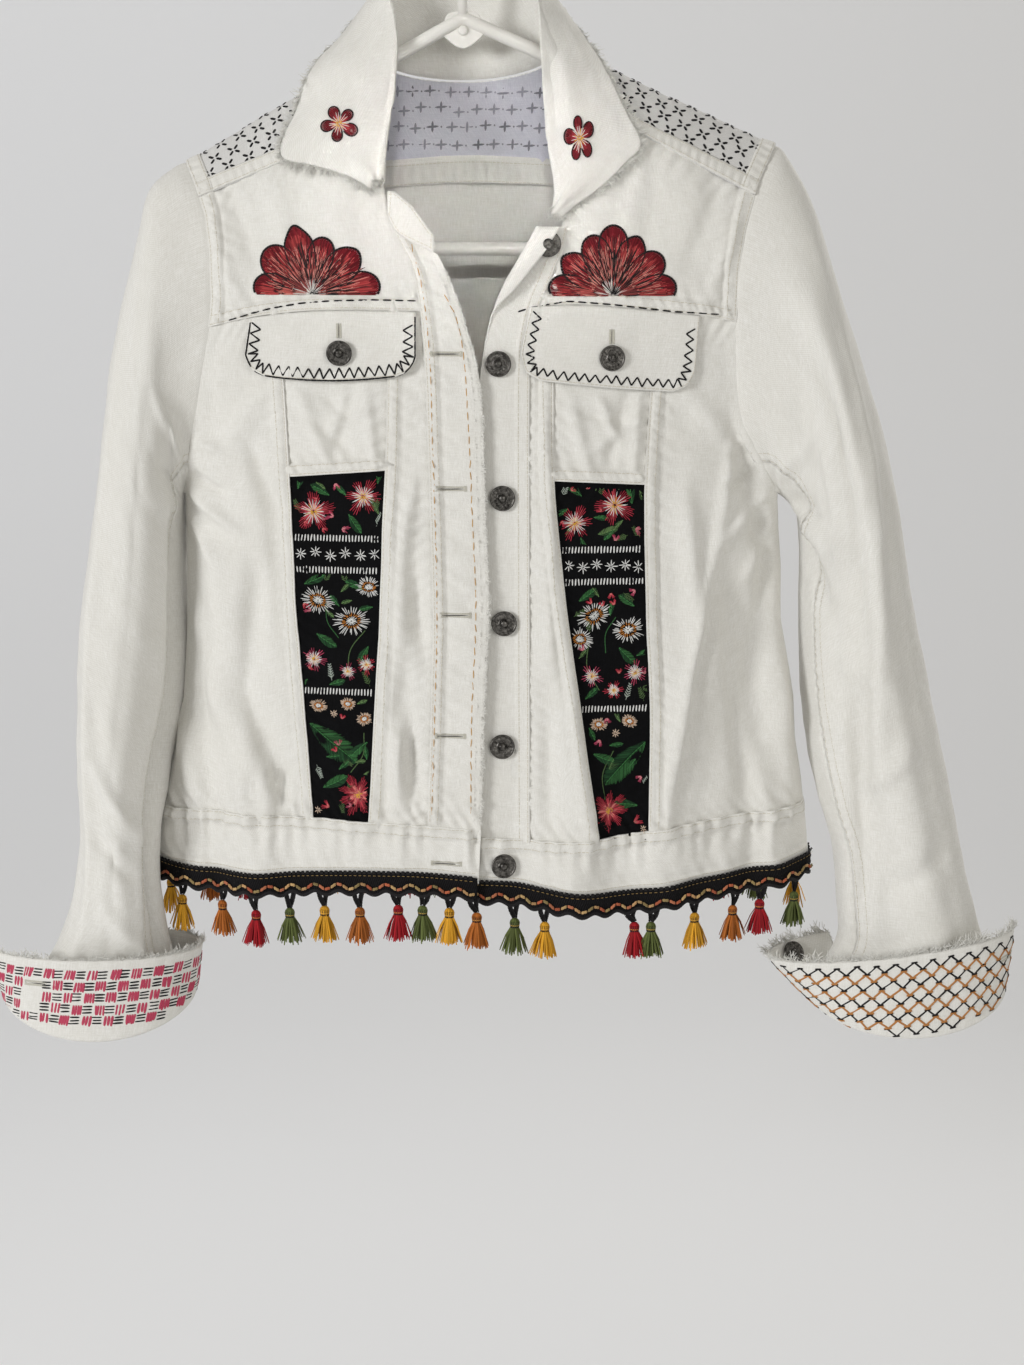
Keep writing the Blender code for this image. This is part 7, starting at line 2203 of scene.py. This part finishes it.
def tube(name, points, radius, closed, node=()):
    """A tube in the hanger's plane along a line of points."""
    points = np.array(points, float)
    ahead = np.roll(points, -1, 0) - np.roll(points, 1, 0)
    if not closed:
        ahead[0], ahead[-1] = points[1] - points[0], points[-1] - points[-2]
    ahead = ahead / np.linalg.norm(ahead, axis=-1, keepdims=True)
    across = np.cross([0, 1, 0], ahead)
    sides = 28
    angle = np.linspace(0, 2 * np.pi, sides, endpoint=False)
    grid = points[:, None] + radius * (np.cos(angle)[None, :, None] * np.array([0, 1, 0]) +
                                       np.sin(angle)[None, :, None] * across[:, None])
    number = np.arange(len(points) * sides).reshape(len(points), sides)
    ahead_row = np.roll(number, -1, 0) if closed else number[1:]
    here = number if closed else number[:-1]
    faces = np.stack([here, np.roll(here, -1, 1), np.roll(ahead_row, -1, 1), ahead_row], -1).reshape(-1, 4).tolist()
    if not closed:
        faces += [list(number[0]), list(number[-1, ::-1])]
    made = build(name, grid.reshape(-1, 3), faces, PLASTIC, node=node)
    return made


def filleted(corners):
    """A closed line in the hanger's plane with rounded corners."""
    points, steps = [], 22
    for index, (x, z, radius) in enumerate(corners):
        here = Vector((x, 0, z))
        before, after = corners[index - 1], corners[(index + 1) % len(corners)]
        to_before = (Vector((before[0], 0, before[1])) - here).normalized()
        to_after = (Vector((after[0], 0, after[1])) - here).normalized()
        half = to_before.angle(to_after) / 2
        centre = here + (to_before + to_after).normalized() * radius / math.sin(half)
        reach = radius / math.tan(half)
        start, end = here + to_before * reach - centre, here + to_after * reach - centre
        points += [
            centre + (start + (end - start) * i / steps).normalized() * radius for i in range(steps + 1)
        ]
    return points


def hanger():
    """Frame, hook, and shield plate with its pin."""
    tube("hanger_frame", filleted(HANGER_CORNERS), TUBE_RADIUS, True, node=("hanger",))
    radius = HOOK_INNER_RADIUS + HOOK_TUBE_RADIUS
    arc = np.radians(np.linspace(-90, 200, 90))
    line = [(0, 0, -87), (0, 0, -60)] + [
        (radius * math.cos(a), 0, -HOOK_INNER_RADIUS + radius * math.sin(a)) for a in arc
    ]
    tube("hanger_hook", line, HOOK_TUBE_RADIUS, False)
    outline = np.array([(-13, -92), (-12, -98), (0, -105), (12, -98), (13, -92), (9, -82), (-9, -82)], float)
    looped = np.concatenate([outline[-1:], outline, outline[:2]])
    edge = spline(looped, np.linspace(1, len(outline) + 1, 71))[:-1]
    middle = edge.mean(0)
    levels = ((-1.5, 0.9), (-1.8, 0.96), (-1.5, 1.0), (1.5, 1.0), (1.8, 0.96), (1.5, 0.9))
    rings = []
    for y, k in levels:
        ring = middle + (edge - middle) * k
        rings.append(np.stack([ring[:, 0], 0 * edge[:, 0] + y, ring[:, 1]], -1))
    number = np.arange(len(levels) * len(edge)).reshape(len(levels), len(edge))
    faces = np.stack([number[:-1], np.roll(number[:-1], -1, 1), np.roll(number[1:], -1, 1), number[1:]], -1)
    faces = faces.reshape(-1, 4).tolist() + [list(number[0, ::-1]), list(number[-1])]
    plate = build("hanger_plate", np.concatenate(rings), faces, PLASTIC)
    pin = ((3.2, 0.0), (3.2, 1.2), (2.9, 1.7), (2.2, 2.0), (1.0, 2.15), (0.1, 2.2))
    lathe("hanger_pin", pin, 40, (0, -1.5, -93.5), (0, -1, 0), PLASTIC)


def stage():
    """A pale sweep behind and below that glows with painted light and is painted lighter at the left, a dim sky and
    soft studio lights from the upper left.
    """
    scene = bpy.context.scene
    profile = [(FLOOR_FRONT_Y, FLOOR_Z), (SWEEP_START_Y, FLOOR_Z)]
    for a in np.linspace(0.05, math.pi / 2, 30):
        y = SWEEP_START_Y + SWEEP_RADIUS * math.sin(a)
        profile.append((y, FLOOR_Z + SWEEP_RADIUS - SWEEP_RADIUS * math.cos(a)))
    profile.append((SWEEP_START_Y + SWEEP_RADIUS, WALL_TOP_Z))
    verts = [(x, y, z) for x in (-ROOM_HALF, ROOM_HALF) for y, z in profile]
    count = len(profile)
    faces = [(i, i + 1, count + i + 1, count + i) for i in range(count - 1)]
    data = bpy.data.meshes.new("backdrop")
    data.from_pydata(verts, [], faces)
    data.shade_smooth()
    material = bpy.data.materials.new("backdrop")
    tree, shader = nodes_of(material)
    where = add_node(tree, "ShaderNodeTexCoord")
    cloud = add_node(tree, "ShaderNodeTexNoise", Vector=(where, 3), Scale=2.0, Detail=2.0)
    parts = add_node(tree, "ShaderNodeSeparateXYZ", Vector=(where, 3))
    # Lighter towards the left by x: painted light from the left; the cloud noise is random tone.
    level = math_node(tree, "MULTIPLY_ADD", (parts, 0), 0.32, 0.35)
    level = math_node(tree, "MULTIPLY_ADD", (cloud, 0), 0.3, (level, 0))
    tone = ramp(tree, (level, 0), ((0.2, BACKDROP_LEFT), (0.8, BACKDROP_RIGHT)))
    tree.links.new(tone.outputs[0], shader.inputs["Base Color"])
    # The sweep glows with its own colour: painted light, which also lights the jacket from behind.
    tree.links.new(tone.outputs[0], shader.inputs["Emission Color"])
    shader.inputs["Emission Strength"].default_value = BACKDROP_PAINTED_LIGHT
    shader.inputs["Roughness"].default_value = 0.95
    shader.inputs["Specular IOR Level"].default_value = 0.1
    data.materials.append(material)
    backdrop = bpy.data.objects.new("backdrop", data)
    scene.collection.objects.link(backdrop)
    world = bpy.data.worlds.new("studio")
    world.use_nodes = True
    world.node_tree.nodes["Background"].inputs[0].default_value = (*WORLD_COLOUR, 1)
    world.node_tree.nodes["Background"].inputs[1].default_value = WORLD_LIGHT
    scene.world = world
    for name, place, target, size, watts, spread, colour in LIGHTS:
        lamp = bpy.data.lights.new(name, "AREA")
        lamp.shape = "RECTANGLE"
        lamp.size, lamp.size_y = size
        lamp.energy = watts
        lamp.spread = math.radians(spread)
        lamp.color = colour
        made = bpy.data.objects.new(name, lamp)
        made.location = place
        made.rotation_euler = (Vector(target) - Vector(place)).to_track_quat("-Z", "Y").to_euler()
        scene.collection.objects.link(made)
    data = bpy.data.cameras.new("camera")
    camera = bpy.data.objects.new("camera", data)
    scene.collection.objects.link(camera)
    camera.location = CAMERA_PLACE
    camera.rotation_euler = (math.radians(CAMERA_TILT), 0, 0)
    data.sensor_fit = "VERTICAL"
    data.sensor_height = 36
    data.lens = CAMERA_LENS
    data.clip_start = 0.01
    scene.camera = camera
    scene.view_settings.view_transform = "Standard"


for side in (LEFT, RIGHT):
    front_panels(side)
    flap(side)
    sleeve(side)
    cuff(side)
    trim(side)
left_placket()
right_placket()
tab()
yoke()
back_panels()
trim(0)
collar()
neck_band()
buttons()
hanger()
starts = np.cumsum([0] + [len(verts) for verts, _ in DRESS_PARTS])
DRESSED = BVHTree.FromPolygons(
    np.concatenate([verts for verts, _ in DRESS_PARTS]).tolist(),
    np.concatenate([faces + start for (_, faces), start in zip(DRESS_PARTS, starts)]).tolist(),
)
for side in (LEFT, RIGHT):
    insert_work(side)
    half_flower(side)
    flap_work(side)
    cuff_work(side, *CUFF_GRIDS[side])
running_stitch()
buttonholes()
collar_flowers()
lining_marks()
edge_fray()
SEAMS.made("seams", "denim")
stage()
